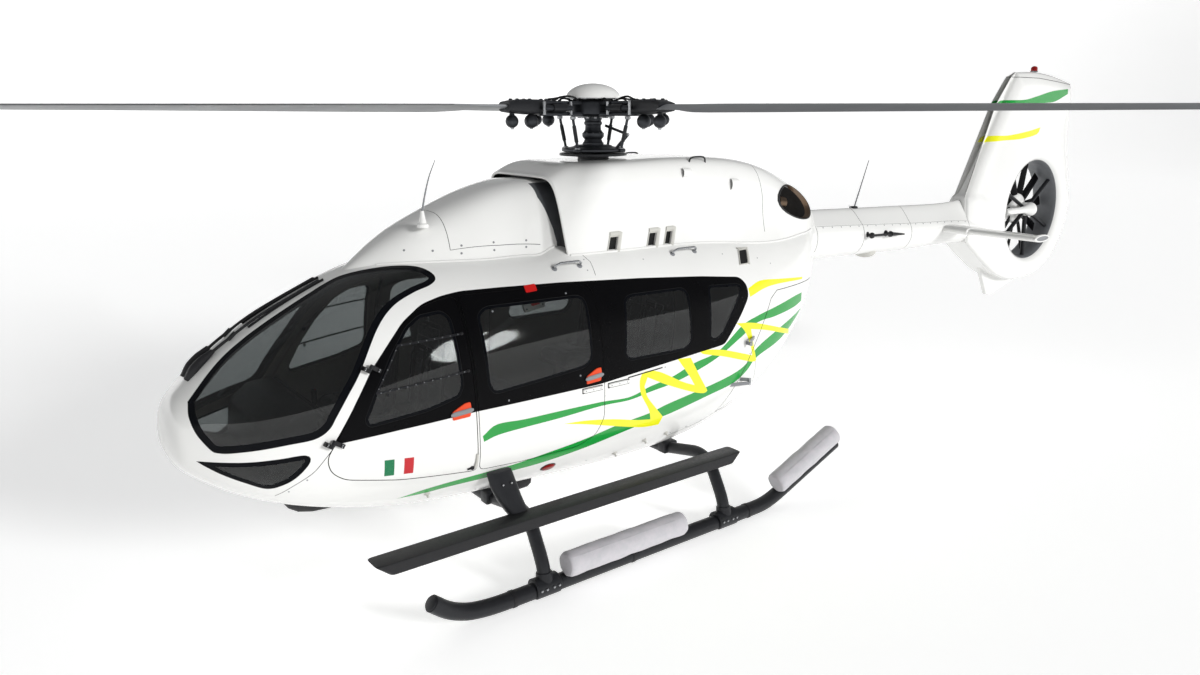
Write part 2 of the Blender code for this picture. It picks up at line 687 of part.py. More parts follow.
def fittings(frame):
    for start, end in ROOF_HANDLES:
        handle = roof_handle("roof_handle", start, end)
        join(frame, both_sides(handle), handle)
    blade = wiper("wiper")
    join(frame, both_sides(blade), blade)
    rail = handle_block("rail", *FRAME_RAIL)
    join(frame, both_sides(rail), rail)


def glazing():
    both_panes("windshield", screen_cutter("screen", FIT))
    both_panes("chin_window", side_prism("chin", inset(CHIN_GLASS, FIT)))
    both_panes("rear_window", side_prism("rear", inset(REAR_GLASS, FIT)))
    both_panes("quarter_window", side_prism("quarter", inset(QUARTER_GLASS, FIT)))


def seated_pod():
    """The pod a hair larger, to cut what sits on it."""
    rings = []
    for station in POD_STATIONS:
        rings.append([Vector((x, station, z)) for x, z in pod_section(station, -FIT)])
    rings[0] = [p + Vector((0, -FIT, 0)) for p in rings[0]]
    rings[-1] = [p + Vector((0, FIT, 0)) for p in rings[-1]]
    return loft("seated", rings)


EXHAUST_OUT = (0.47, 2.06, 2.55)
EXHAUST_IN = (0.27, 1.50, 2.66)
EXHAUST_RADIUS = 0.165
EXHAUST_WALL = 0.008
EXHAUST_DEPTH = 0.12
ENGINE_X = 0.255
ENGINE_HEIGHT = 2.63
ENGINE_STATIONS = (0.42, 1.45)
ENGINE_RADIUS = 0.195
NECK_RADIUS = 0.135
AERIAL_FOOT = (0.25, -1.69, 2.42)
AERIAL_TOP = (0.25, -1.668, 2.70)


def cowlings():
    outer = cowling("main_cowling", COWL, 0.0, LIP_LEAN)
    inner_table = [(COWL[0][0] - 0.2, *COWL[0][1:]), *COWL[:-1], (COWL[-1][0] - 0.03, *COWL[-1][1:])]
    inner = cowling("inner", inner_table, COWL_WALL, LIP_LEAN)
    cut(outer, inner, seated_pod())
    keep(outer, box("above", (-1.0, -1.5, 2.0), (1.0, 2.7, 3.3)))
    cut(outer, rod("neck_hole", (0, 0, 2.7), (0, 0, 3.2), NECK_RADIUS, 24))
    for side in (-1, 1):
        start = Vector((side * EXHAUST_IN[0], *EXHAUST_IN[1:]))
        end = Vector((side * EXHAUST_OUT[0], *EXHAUST_OUT[1:]))
        end = end + (end - start).normalized() * 0.25
        cut(outer, rod("hole", start, end, EXHAUST_RADIUS + FIT, 20))
    finish(outer, WHITE)

    front = cowling("front_cowling", NOSE_COWL)
    cut(front, seated_pod())
    keep(front, box("above", (-1.0, -2.5, 2.0), (1.0, 0.0, 3.3)))
    join(front, rod("aerial_foot", AERIAL_FOOT, AERIAL_TOP, 0.030, 12, 0.010))
    finish(front, WHITE)

    for side, word in ((1, "left"), (-1, "right")):
        start = Vector((side * EXHAUST_IN[0], *EXHAUST_IN[1:]))
        end = Vector((side * EXHAUST_OUT[0], *EXHAUST_OUT[1:]))
        along = (end - start).normalized()
        stack = rod("exhaust_" + word, start, end, EXHAUST_RADIUS, 20)
        ends = (start + along * EXHAUST_DEPTH, end + along * 0.1)
        cut(stack, rod("bore", *ends, EXHAUST_RADIUS - EXHAUST_WALL, 20))
        finish(stack, STEEL)
        ends = [(side * ENGINE_X, station, ENGINE_HEIGHT) for station in ENGINE_STATIONS]
        engine = rod("engine_" + word, *ends, ENGINE_RADIUS, 16)
        cut(engine, seated_pod())
        cut(engine, rod("clear", start - along * 0.3, end, EXHAUST_RADIUS + FIT, 20))
        finish(engine, DARK)


# Turned parts of the rotor head, as radius and height. The hub's parts are measured from its middle.
GEARBOX_PROFILE = ((0.27, 2.30), (0.27, 2.80), (0.13, 2.86), (0.13, 3.012), (0.28, 3.022), (0.28, 3.040))
MAST_PROFILE = ((0.07, 2.91), (0.07, 3.065), (0.115, 3.07), (0.115, 3.13), (0.095, 3.15), (0.125, 3.18),
                (0.125, 3.20), (0.085, 3.23), (0.085, HUB_HEIGHT - 0.0703))
HUB_PROFILE = ((0.14, -0.07), (0.20, -0.05), (0.20, 0.05), (0.15, 0.075))
CAP_PROFILE = ((0.215, 0.0), (0.20, 0.04), (0.16, 0.08), (0.09, 0.11), (0.02, 0.12))
CAP_SEAT = 0.0753
WEIGHT_PROFILE = ((0.02, -0.055), (0.05, -0.03), (0.055, 0.0), (0.05, 0.03), (0.02, 0.055))
WEIGHT_REACHES = (0.62, 0.80)
WEIGHT_DROP = 0.13
HUB_ARM = ((0.10, -0.075, -0.06), (0.52, 0.075, 0.055))
HUB_CUFF = ((0.44, -0.065, -0.05), (0.86, 0.065, 0.07))
PLATE_PROFILE = ((0.25, 3.050), (0.26, 3.055), (0.26, 3.075), (0.22, 3.085), (0.125, 3.09))
PITCH_LINK = ((0.24, 0.10, 3.07), (0.30, 0.115, HUB_HEIGHT - 0.065))
SCISSOR = ((0.0, 0.22, 3.08), (0.0, 0.29, 3.20), (0.0, 0.10, 3.27))
SCISSOR_TURN = math.radians(-45)


def gearbox_and_head():
    gearbox = turned("main_gearbox", (0, 0, 0), GEARBOX_PROFILE)
    cut(gearbox, seated_pod(), rod("bore", (0, 0, 2.90), (0, 0, 3.2), MAST_PROFILE[0][0] + 0.001, 32))
    finish(gearbox, DARK)
    finish(turned("rotor_mast", (0, 0, 0), MAST_PROFILE, 32), DARK)

    hub = turned("rotor_hub", (0, 0, HUB_HEIGHT), HUB_PROFILE, 16)
    for k in range(4):
        turn = Matrix.Rotation(ROTOR_TURN + k * math.pi / 2, 4, "Z")
        pieces = [box("arm", *HUB_ARM), box("cuff", *HUB_CUFF)]
        for reach in WEIGHT_REACHES:
            pieces.append(turned("weight", (reach, 0, -WEIGHT_DROP), WEIGHT_PROFILE, 12))
            pieces.append(rod("stem", (reach, 0, 0.03 - WEIGHT_DROP), (reach, 0, -0.02), 0.02, 8))
        for piece in pieces:
            piece.data.transform(Matrix.Translation((0, 0, HUB_HEIGHT)) @ turn)
            join(hub, piece)
    finish(hub, DARK, smooth=False)

    finish(turned("hub_cap", (0, 0, HUB_HEIGHT + CAP_SEAT), CAP_PROFILE, 24), WHITE)
    swashplate()
    blades()


def swashplate():
    plate = turned("swashplate", (0, 0, 0), PLATE_PROFILE, 24)
    cut(plate, rod("bore", (0, 0, 3.0), (0, 0, 3.2), 0.1154, 32))
    for k in range(4):
        link = rod("link", *PITCH_LINK, 0.014, 8)
        link.data.transform(Matrix.Rotation(ROTOR_TURN + k * math.pi / 2, 4, "Z"))
        join(plate, link)
    scissor = tube("scissor", SCISSOR, 0.016, 8)
    cut(scissor, rod("clear", (0, 0, 3.0), (0, 0, 3.4), 0.0860, 24))
    scissor.data.transform(Matrix.Rotation(SCISSOR_TURN, 4, "Z"))
    join(plate, scissor)
    finish(plate, DARK)


# A blade: its section along the chord, and its stations with chord, thickness and pitch in degrees.
BLADE_SHAPE = ((1.0, 0.0), (0.85, 0.35), (0.5, 0.5), (0.2, 0.42), (0.04, 0.18), (0.0, 0.0), (0.04, -0.14),
               (0.2, -0.3), (0.5, -0.3), (0.85, -0.12))
BLADE_STATIONS = ((0.8603, 0.14, 0.055, 6.0), (1.10, 0.16, 0.050, 6.0), (1.35, 0.30, 0.042, 5.5),
                  (3.40, 0.32, 0.038, 1.0), (5.00, 0.32, 0.034, -2.0), (5.30, 0.27, 0.028, -2.5),
                  (ROTOR_RADIUS, TIP_CHORD, 0.016, -3.0))
BLADE_HEIGHT = HUB_HEIGHT + 0.01


def blade_section(station, chord, thickness, pitch):
    points = []
    c, s = math.cos(math.radians(pitch)), math.sin(math.radians(pitch))
    for along, up in BLADE_SHAPE:
        y, z = (BLADE_AXIS - along) * chord, up * thickness
        points.append(Vector((station, y * c - z * s, y * s + z * c)))
    return points


def blades():
    for number in range(4):
        blade = loft("main_blade_%d" % (number + 1), [blade_section(*row) for row in BLADE_STATIONS])
        turn = Matrix.Rotation(ROTOR_TURN + number * math.pi / 2, 4, "Z")
        blade.data.transform(Matrix.Translation((0, 0, BLADE_HEIGHT)) @ turn)
        finish(blade, GREY)


# The shroud's and fin's outline: station, height and half the thickness of its rim there.
SHROUD = ((5.5203, 1.82, 0.175), (5.75, 1.66, 0.17), (6.05, 1.47, 0.165), (6.30, 1.335, 0.16),
          (6.62, 1.24, 0.15), (7.05, 1.22, 0.135), (7.45, 1.30, 0.12), (7.80, 1.50, 0.10),
          (8.03, 1.80, 0.075), (TAIL_END, 2.12, 0.05), (8.05, 2.50, 0.04), (7.93, 2.85, 0.035),
          (7.88, 3.20, 0.03), (7.86, 3.72, 0.03), (7.40, 3.80, 0.035), (6.95, 3.84, 0.045),
          (6.50, 3.83, 0.055), (6.23, 3.44, 0.07), (5.98, 3.05, 0.085), (5.78, 2.72, 0.11),
          (5.60, 2.42, 0.15), (5.5203, 2.30, 0.165))
VENTRAL_FIN = ((6.10, 1.47), (6.35, 1.045), (6.43, 1.03), (7.35, 1.27), (7.35, 1.32))
VENTRAL_HALF = 0.03
DUCT_RADIUS = 0.61
# From the rim inwards: how much of the way to full thickness, at which share of the way out.
SHROUD_LAYERS = ((0.0, 1.0), (0.24, 0.93), (0.48, 0.72), (0.73, 0.42), (0.94, 0.16), (1.0, 0.04))
SHROUD_HALF = 0.200
DUCT_RIM = 0.78


def fan_cylinder(name, radius, sides=40):
    return rod(name, (-0.4, FAN_STATION, FAN_HEIGHT), (0.4, FAN_STATION, FAN_HEIGHT), radius, sides)


def fin_shape(name, wall=0.0):
    """The fin and the shroud as one lens round the fan, thickest at the duct's rim."""
    centre = Vector((FAN_STATION, FAN_HEIGHT))
    outline = inset([row[:2] for row in SHROUD], wall * 1.3)
    rings = []
    for side in (-1, 1):
        layers = SHROUD_LAYERS if side > 0 else SHROUD_LAYERS[::-1]
        for growth, share in layers:
            ring = []
            for point, row in zip(outline, SHROUD):
                away = Vector(point) - centre
                rim = min(DUCT_RIM, away.length)
                place = centre + away.normalized() * (rim + (away.length - rim) * share)
                x = row[2] + (SHROUD_HALF - row[2]) * growth - wall
                ring.append(Vector((side * x, max(place.x, ROOT[0][0]), place.y)))
            rings.append(ring)
    return loft(name, rings)


def boom_tube(name, rows, wall, overrun=0.0):
    """The boom's shape inside its wall, run past both ends."""
    rings = [boom_ring(s, c, half - wall, height - wall) for s, c, half, height in rows]
    rings[0] = [p - Vector((0.0, overrun, 0.0)) for p in rings[0]]
    rings[-1] = [p + Vector((0.0, overrun, 0.0)) for p in rings[-1]]
    return loft(name, rings)


def shroud():
    body = join(fin_shape("fin_shroud"), boom_tube("root", ROOT, 0.0))
    join(body, prism("ventral_fin", VENTRAL_FIN, "X", -VENTRAL_HALF, VENTRAL_HALF))
    hollow = join(fin_shape("hollow", TAIL_WALL), boom_tube("way_in", ROOT, TAIL_WALL, 0.03))
    cut(hollow, fan_cylinder("duct_wall", DUCT_RADIUS + TAIL_WALL))
    cut(body, hollow, fan_cylinder("duct", DUCT_RADIUS))
    finish(body, WHITE)
    stator_and_fan()


# The fan's gearbox, fixed vanes, drive shaft cover and rotor. Turned parts are given as radius and X,
# the shaft cover as distance behind the fan's axis and radius.
TAIL_GEARBOX = ((0.07, 0.02), (0.085, 0.04), (0.085, 0.10), (0.06, 0.125))
SHAFT_COVER = ((-0.63, 0.045), (-0.15, 0.045), (0.05, 0.093))
SHAFT_X = 0.125
FAN_SHAFT = 0.030
VANE_ANGLES = (35, 155, 215, 275, 335)
VANE_X = (0.05, 0.11)
VANE_HALF = 0.008
VANE_REACHES = (0.05, 0.63)
FAN_HUB = ((0.06, -0.14), (0.14, -0.13), (0.19, -0.10), (0.20, -0.065), (0.185, -0.03), (0.15, -0.008),
           (0.10, 0.005), (FAN_SHAFT, 0.008), (FAN_SHAFT, 0.095))
FAN_BLADES = 10
FAN_TURN = 0.12
FAN_PLANE = -0.045
FAN_CHORD = 0.052
FAN_THICKNESS = 0.008
# Reach and pitch in degrees at the root and the tip of a fan blade.
FAN_TWIST = ((0.14, 40), (0.59, 25))


def spoke(angle):
    """The directions out along a spoke and across it, in the fan's plane."""
    c, s = math.cos(angle), math.sin(angle)
    return Vector((0.0, c, s)), Vector((0.0, -s, c))


def stator_and_fan():
    centre = Vector((0.0, FAN_STATION, FAN_HEIGHT))
    stator = turned("fan_stator", centre, TAIL_GEARBOX, 20, "X")
    path = [centre + Vector((SHAFT_X, station, 0.0)) for station, radius in SHAFT_COVER]
    join(stator, tube("shaft_cover", path, 0.0, 12, radii=[radius for station, radius in SHAFT_COVER]))
    for angle in VANE_ANGLES:
        out, across = spoke(math.radians(angle))
        rings = []
        for reach in VANE_REACHES:
            corners = [(VANE_X[0], -1), (VANE_X[1], -1), (VANE_X[1], 1), (VANE_X[0], 1)]
            rings.append([centre + out * reach + Vector((x, 0, 0)) + across * VANE_HALF * side
                          for x, side in corners])
        join(stator, loft("vane", rings))
    keep(stator, fan_cylinder("inside", DUCT_RADIUS - FIT))
    bore = [centre + Vector((x, 0, 0)) for x in (-0.1, 0.10)]
    cut(stator, rod("bore", *bore, FAN_SHAFT + 0.001, 24))
    finish(stator, WHITE)

    fan = turned("tail_fan", centre, FAN_HUB, 24, "X")
    for k in range(FAN_BLADES):
        out, across = spoke(2 * math.pi * k / FAN_BLADES + FAN_TURN)
        rings = []
        for reach, pitch in FAN_TWIST:
            c, s = math.cos(math.radians(pitch)), math.sin(math.radians(pitch))
            chord, thick = across * c + Vector((s, 0, 0)), Vector((c, 0, 0)) - across * s
            middle = centre + Vector((FAN_PLANE, 0, 0)) + out * reach
            rings.append([middle + chord * along * FAN_CHORD + thick * up * FAN_THICKNESS for along, up in
                          ((-1, 0), (-0.3, -1), (1, 0), (-0.3, 1))])
        join(fan, loft("blade", rings))
    finish(fan, BLACK, hinge=centre)


def boom_ring(station, centre, half, height):
    """A round tube with the drive shaft's cover along its top."""
    ring = []
    for k in range(20):
        a = 2 * math.pi * k / 20 - math.pi / 2
        x, z = half * math.cos(a), half * math.sin(a)
        if z > 0.55 * half:
            blend = (z / half - 0.55) / 0.45
            z = 0.55 * half + blend * (2 * height - 1.55 * half)
            x = x * (1 - 0.25 * blend)
        ring.append(Vector((x, station, centre + z + half - height)))
    return ring


# The rail aerial on the boom's port side, and the lamp bulb under it.
RAIL_X = 0.29
RAIL_HEIGHT = 2.08
RAIL_POSTS = (3.476, 3.80)
RAIL_END = 4.04
RAIL_OUT = 0.012
POST_X = 0.20
POST_RADIUS = 0.030
BULB_STATION = 3.75
BULB_PROFILE = ((0.05, 1.80), (0.10, 1.815), (0.125, 1.85), (0.125, 1.89))


def boom_fittings(boom):
    ends = [Vector((RAIL_X, station, RAIL_HEIGHT)) for station in (*RAIL_POSTS, RAIL_END)]
    for end in ends[:2]:
        join(boom, rod("post", (POST_X, end.y, end.z), (RAIL_X + RAIL_OUT, end.y, end.z), POST_RADIUS, 12))
    join(boom, rod("rail", ends[0], ends[1], 0.013, 8))
    join(boom, rod("pointed_end", ends[1], ends[2] - Vector((0, 0, 0.02)), 0.024, 10, 0.008))
    join(boom, turned("bulb", (0, BULB_STATION, 0), BULB_PROFILE, 16))


BEACON_SEAT = (0.0, 6.95, 3.8403)
BEACON_PROFILE = ((0.045, 0.0), (0.045, 0.05), (0.03, 0.075))
# The stabiliser: half span, nose station, chord and height of each section, thickest at a third.
STABILISER = ((1.21, 5.04, 0.30, 2.020), (0.20, 4.96, 0.40, 2.030))
STABILISER_STUB = ((0.482, 4.945, 0.42, 2.028), (0.15, 4.935, 0.44, 2.030))
STABILISER_TIP = ((1.205, 0.9), (1.220, 1.06), (1.238, 1.06), (1.247, 0.8))
STABILISER_HALF = 0.034
STUB_HALF = 0.045
AIRFOIL = ((0.0, 0.30), (0.06, 0.80), (0.35, 1.0), (1.0, 0.15))


def wing_section(x, nose, chord, height, half):
    """One section of the stabiliser, from the nose round over the top."""
    upper = [Vector((x, nose + share * chord, height + thick * half)) for share, thick in AIRFOIL]
    lower = [Vector((x, nose + share * chord, height - thick * half)) for share, thick in AIRFOIL]
    return lower + upper[::-1]


def tip_ring(x, grow):
    """One oval round the stabiliser's tip."""
    nose, chord, height = STABILISER[0][1:]
    ring = []
    for k in range(16):
        a = 2 * math.pi * k / 16
        along, up = chord / 2 * math.cos(a), 1.15 * STABILISER_HALF * math.sin(a)
        ring.append(Vector((x, nose + chord / 2 + along * grow, height + up * grow)))
    return ring


def boom_and_tail():
    boom = cut(boom_tube("tail_boom", BOOM, 0.0), boom_tube("hollow", BOOM, TAIL_WALL, 0.05))
    boom_fittings(boom)
    finish(boom, WHITE)
    shroud()
    left = loft("stabiliser_left", [wing_section(*row, STABILISER_HALF) for row in STABILISER])
    join(left, loft("stub", [wing_section(*row, STUB_HALF) for row in STABILISER_STUB]))
    join(left, loft("tip", [tip_ring(*row) for row in STABILISER_TIP]))
    cut(left, boom_tube("boom_gap", BOOM, -FIT))
    keep(left, box("half", (0.05, 4.0, 1.5), (2.0, 6.0, 2.6)))
    finish(mirrored(left, "stabiliser_right"), WHITE)
    finish(left, WHITE)
    lamp = turned("fin_beacon", BEACON_SEAT, BEACON_PROFILE, 12)
    finish(lamp, RED)


# Landing gear, port side.
SKID_X = SKID_TRACK / 2
SKID_RADIUS = 0.06
SKID_PATH = ((-2.22, 0.25), (-2.10, 0.15), (-1.95, 0.085), (-1.75, 0.06), (0.93, 0.06), (1.08, 0.10),
             (1.86, 0.42))
FRONT_LEG = -1.33
REAR_LEG = 0.47
SKID_WEAR = 0.004
TUBE_RADIUS = 0.05
SHOE_HALF = 0.10
SHOE_RADIUS = 0.075
BOARD = ((0.985, -2.30), (1.155, -2.54), (1.155, 0.52), (0.985, 0.65))
BOARD_HEIGHTS = (0.555, 0.590)
FLOAT_RADIUS = 0.095
FLOAT_OUT = 0.045
FLOAT_SINK = 0.006
# Each float's stretch of the skid: name, which leg of the path, and from where to where along it.
FLOATS = (("front", 3, 0.57, 1.70), ("rear", 5, 0.02, 0.82))


def skid_path(side):
    """The skid tube's centre line. Its underside is worn flat where it stands."""
    return [Vector((side * SKID_X, s, z - SKID_WEAR)) for s, z in SKID_PATH]


def skid_clearance(side):
    return tube("clear", skid_path(side), SKID_RADIUS + FIT, 12)


# The tapered covers over the front cross-tube's legs: X, height, chord, half thickness and lean.
LEG_COVER = ((0.70, 0.545, 0.34, 0.085, -0.1), (0.86, 0.560, 0.31, 0.078, -0.1),
             (0.95, 0.535, 0.28, 0.070, -0.5), (1.02, 0.495, 0.24, 0.064, -0.97),
             (1.09, 0.395, 0.19, 0.060, -0.97), (1.145, 0.300, 0.15, 0.058, -0.97))
COVER_STATION = FRONT_LEG + 0.02


def leg_cover(name):
    rings = []
    for x, height, chord, thick, lean in LEG_COVER:
        middle = Vector((x, COVER_STATION, height))
        up = Vector((-math.sin(lean), 0.0, math.cos(lean))) * thick
        ring = []
        for k in range(16):
            a = 2 * math.pi * k / 16
            ring.append(middle + Vector((0.0, chord / 2 * math.cos(a), 0.0)) + up * math.sin(a))
        rings.append(ring)
    return loft(name, rings)


def landing_gear():
    for word, side in (("left", 1), ("right", -1)):
        skid = tube("skid_" + word, skid_path(side), SKID_RADIUS, 12)
        finish(cut(skid, box("ground", (-2, -3, -0.5), (2, 3, 0.0))), DARK)
        finish(prism("step_" + word, [(side * x, s) for x, s in BOARD], "Z", *BOARD_HEIGHTS), PANEL)
        floats(word, side)
    for name, station, middle in (("front", FRONT_LEG, 0.475), ("rear", REAR_LEG, 0.455)):
        half = [(SKID_X, station, 0.12), (SKID_X - 0.03, station, 0.24), (1.02, station, 0.50),
                (0.88, station, 0.56), (0.40, station, middle)]
        path = half + [(-x, s, z) for x, s, z in half[::-1]]
        bar = tube("cross_tube_" + name, path, TUBE_RADIUS, 12)
        if name == "front":
            cover = leg_cover("cover")
            join(bar, both_sides(cover), cover)
        for side in (-1, 1):
            fore, aft = ((side * SKID_X, station + shift, SHOE_RADIUS) for shift in (-SHOE_HALF, SHOE_HALF))
            join(bar, rod("shoe", fore, aft, SHOE_RADIUS, 16))
            cut(bar, skid_clearance(side))
            (inner, fore_end), (outer, aft_end) = BOARD[0], BOARD[2]
            low = (min(side * inner, side * outer) - 0.001, fore_end - 0.3, BOARD_HEIGHTS[0] - FIT)
            high = (max(side * inner, side * outer) + 0.001, aft_end + 0.2, BOARD_HEIGHTS[1] + 0.05)
            cut(bar, box("board", low, high))
        finish(cut(bar, seated_pod()), DARK)


def floats(word, side):
    """Inflatable floats in their covers, lashed along the top of the skid tube."""
    rise = math.sqrt((SKID_RADIUS + FLOAT_RADIUS) ** 2 - FLOAT_OUT ** 2) - FLOAT_SINK
    path = skid_path(side)
    for name, leg, begin, end in FLOATS:
        along = (path[leg + 1] - path[leg]).normalized()
        up = Vector((0.0, -along.z, along.y))
        base = path[leg] + Vector((side * FLOAT_OUT, 0.0, 0.0)) + up * rise
        bag = rod("float_%s_%s" % (name, word), base + along * begin, base + along * end, FLOAT_RADIUS, 16)
        finish(cut(bag, skid_clearance(side)), SILVER)


# A seat in side view from the middle of its cushion, and where each one stands.
SEAT_SHAPE = ((-0.27, 0.0), (0.22, 0.0), (0.25, 0.12), (0.33, 0.85), (0.23, 0.87), (0.14, 0.22),
              (-0.27, 0.17))
PILOT_SEAT = (0.38, -2.02, 0.235, FLOOR + FIT + 0.22)
BENCHES = (("cabin_seats_front", -1.18, -1, 0.60), ("cabin_seats_rear", 0.10, 1, 0.66))
BENCH_HEIGHT = FLOOR + FIT + 0.26
PANEL_SHAPE = ((-2.98, 1.10), (-2.95, 1.36), (-2.80, 1.47), (-2.62, 1.47), (-2.58, 1.42), (-2.62, 1.10))
PANEL_HALF = 0.50
PEDESTAL = ((-0.13, -2.68, FLOOR + FIT), (0.13, -2.34, 1.12))
BELLY_LAMP = ((0.16, -1.10, 0.40), (0.34, -0.86, 0.60))


def cabin_fittings():
    x, station, half, height = PILOT_SEAT
    for word, side in (("left", 1), ("right", -1)):
        outline = [(station + s, height + z) for s, z in SEAT_SHAPE]
        seat = prism("cockpit_seat_" + word, outline, "X", side * x - half, side * x + half)
        low = (side * x - 0.16, station - 0.20, FLOOR + FIT)
        high = (side * x + 0.16, station + 0.12, FLOOR + 0.30)
        finish(join(seat, box("leg", low, high)), CLOTH, smooth=False)
    for name, station, facing, half in BENCHES:
        outline = [(station + facing * s, BENCH_HEIGHT + z) for s, z in SEAT_SHAPE]
        seat = prism(name, outline, "X", -half, half)
        low = (-half + 0.08, station - 0.16, FLOOR + FIT)
        high = (half - 0.08, station + 0.16, FLOOR + 0.32)
        finish(join(seat, box("leg", low, high)), CLOTH, smooth=False)
    console = prism("instrument_panel", PANEL_SHAPE, "X", -PANEL_HALF, PANEL_HALF)
    join(console, box("pedestal", *PEDESTAL))
    keep(console, pod("inside", WALL + FIT))
    finish(console, PANEL, smooth=False)
    finish(cut(box("belly_lamp", *BELLY_LAMP), seated_pod()), PANEL, smooth=False)


def build():
    frame = hull_and_frame()
    clamshell_brackets(frame)
    fittings(frame)
    finish(frame, WHITE)
    cockpit_doors()
    sliding_doors()
    clamshell_doors()
    glazing()
    cowlings()
    gearbox_and_head()
    boom_and_tail()
    landing_gear()
    cabin_fittings()


build()
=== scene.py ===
"""Looks of a light twin-engine utility helicopter on skids, over its CAD frame.

Metres, +Z up, nose towards -Y, port side towards +X. Stations are measured along Y from the
rotor mast, and placed() carries them to the ground frame.
"""

import json
import math

import bmesh
import bpy
import numpy as np
from mathutils import Matrix, Vector
from mathutils.geometry import delaunay_2d_cdt


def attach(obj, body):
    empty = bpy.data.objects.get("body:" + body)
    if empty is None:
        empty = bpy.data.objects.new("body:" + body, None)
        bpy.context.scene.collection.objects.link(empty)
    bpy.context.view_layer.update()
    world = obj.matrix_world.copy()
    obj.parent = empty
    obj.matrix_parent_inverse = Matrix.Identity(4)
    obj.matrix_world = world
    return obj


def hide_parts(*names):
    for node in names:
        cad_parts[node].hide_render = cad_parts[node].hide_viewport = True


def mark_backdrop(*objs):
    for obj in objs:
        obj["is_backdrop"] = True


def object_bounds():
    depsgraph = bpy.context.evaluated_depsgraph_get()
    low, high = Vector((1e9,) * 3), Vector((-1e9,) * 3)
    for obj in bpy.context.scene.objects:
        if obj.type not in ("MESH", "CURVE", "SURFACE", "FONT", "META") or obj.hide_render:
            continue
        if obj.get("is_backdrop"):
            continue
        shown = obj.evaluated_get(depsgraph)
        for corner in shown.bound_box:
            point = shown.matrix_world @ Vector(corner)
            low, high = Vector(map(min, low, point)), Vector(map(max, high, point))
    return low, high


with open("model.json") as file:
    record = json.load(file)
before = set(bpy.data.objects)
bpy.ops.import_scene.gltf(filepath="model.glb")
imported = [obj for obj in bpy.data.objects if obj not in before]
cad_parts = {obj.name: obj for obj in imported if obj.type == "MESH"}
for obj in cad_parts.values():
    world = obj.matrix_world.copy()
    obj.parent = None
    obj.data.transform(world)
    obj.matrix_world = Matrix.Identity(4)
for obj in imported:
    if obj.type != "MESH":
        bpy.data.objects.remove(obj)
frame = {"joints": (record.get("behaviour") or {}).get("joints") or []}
SIZE_AT_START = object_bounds()
MAST_Y = [j for j in frame["joints"] if j["name"] == "rotor_spin"][0]["pos_m"][1]


def colour(code):
    """A linear colour from an sRGB hex code."""
    parts = [int(code[k:k + 2], 16) / 255 for k in (1, 3, 5)]
    return (*[p / 12.92 if p <= 0.04045 else ((p + 0.055) / 1.055) ** 2.4 for p in parts], 1.0)


def add(tree, kind, inputs=None, **facts):
    """Adds a shader node, sets its facts, and links or sets its inputs."""
    made = tree.nodes.new("ShaderNode" + kind)
    for key, value in facts.items():
        setattr(made, key, value)
    for key, value in (inputs or {}).items():
        if isinstance(value, bpy.types.NodeSocket):
            tree.links.new(value, made.inputs[key])
        else:
            made.inputs[key].default_value = value
    return made


def material(name, base, roughness=0.4, second=None, scale=40.0, share=0.5, bump=0.0, bump_scale=None,
             spread=0.08, stretch=(1.0, 1.0, 1.0), **sockets):
    """A finish whose colour and roughness wander a little over the surface, with a fine relief."""
    made = bpy.data.materials.new(name)
    made.use_nodes = True
    tree = made.node_tree
    shader = tree.nodes["Principled BSDF"]
    place = add(tree, "TexCoord").outputs["Object"]
    place = add(tree, "Mapping", {"Vector": place, "Scale": stretch}).outputs["Vector"]
    noise = add(tree, "TexNoise", {"Vector": place, "Scale": scale, "Detail": 4.0, "Roughness": 0.6})
    mixed = add(tree, "Mix", {0: noise.outputs["Fac"], 6: colour(base), 7: colour(second or base)},
                data_type="RGBA", clamp_factor=True)
    ramp = add(tree, "MapRange", {"Value": noise.outputs["Fac"], "From Min": 0.5 - share / 2,
                                  "From Max": 0.5 + share / 2, "To Min": 0.0, "To Max": 1.0})
    tree.links.new(ramp.outputs["Result"], mixed.inputs[0])
    tree.links.new(mixed.outputs[2], shader.inputs["Base Color"])
    rough = add(tree, "MapRange", {"Value": noise.outputs["Fac"], "From Min": 0.25, "From Max": 0.75,
                                   "To Min": max(roughness - spread, 0.0), "To Max": roughness + spread})
    tree.links.new(rough.outputs["Result"], shader.inputs["Roughness"])
    if bump:
        relief = add(tree, "TexNoise", {"Vector": place, "Scale": bump_scale or scale, "Detail": 3.0})
        lift = add(tree, "Bump", {"Height": relief.outputs["Fac"], "Strength": 1.0, "Distance": bump})
        tree.links.new(lift.outputs["Normal"], shader.inputs["Normal"])
    for key, value in sockets.items():
        shader.inputs[key.replace("_", " ")].default_value = value
    return made


# Gloss two-pack paint on composite: a clean white with a faint warm drift and a trace of orange peel.
WHITE = material("white_paint", "#EDEDEB", 0.20, "#E6E6E3", 1.6, 0.9, 0.00006, 180.0, 0.05, Coat_Weight=0.5,
                 Coat_Roughness=0.06)
# The same paint in the band round the windows: deep black, with hardly a reflection.
BLACK = material("black_paint", "#050506", 0.30, "#0A0A0C", 3.0, 0.8, 0.00005, 160.0, 0.06,
                 Specular_IOR_Level=0.08)
# Stripe paints, edge to edge on the white and under the same clear coat.
GREEN = material("green_stripe", "#139A3A", 0.22, "#0F9036", 4.0, 0.8, 0.00005, 160.0, 0.05, Coat_Weight=0.5)
YELLOW = material("yellow_stripe", "#EFF01C", 0.22, "#E6E616", 4.0, 0.8, 0.00005, 160.0, 0.05,
                  Coat_Weight=0.5)
# Flat colours of the small flag.
FLAG_GREEN = material("flag_green", "#12764A", 0.3, "#106C43", 9.0)
FLAG_RED = material("flag_red", "#C4242C", 0.3, "#B61F27", 9.0)
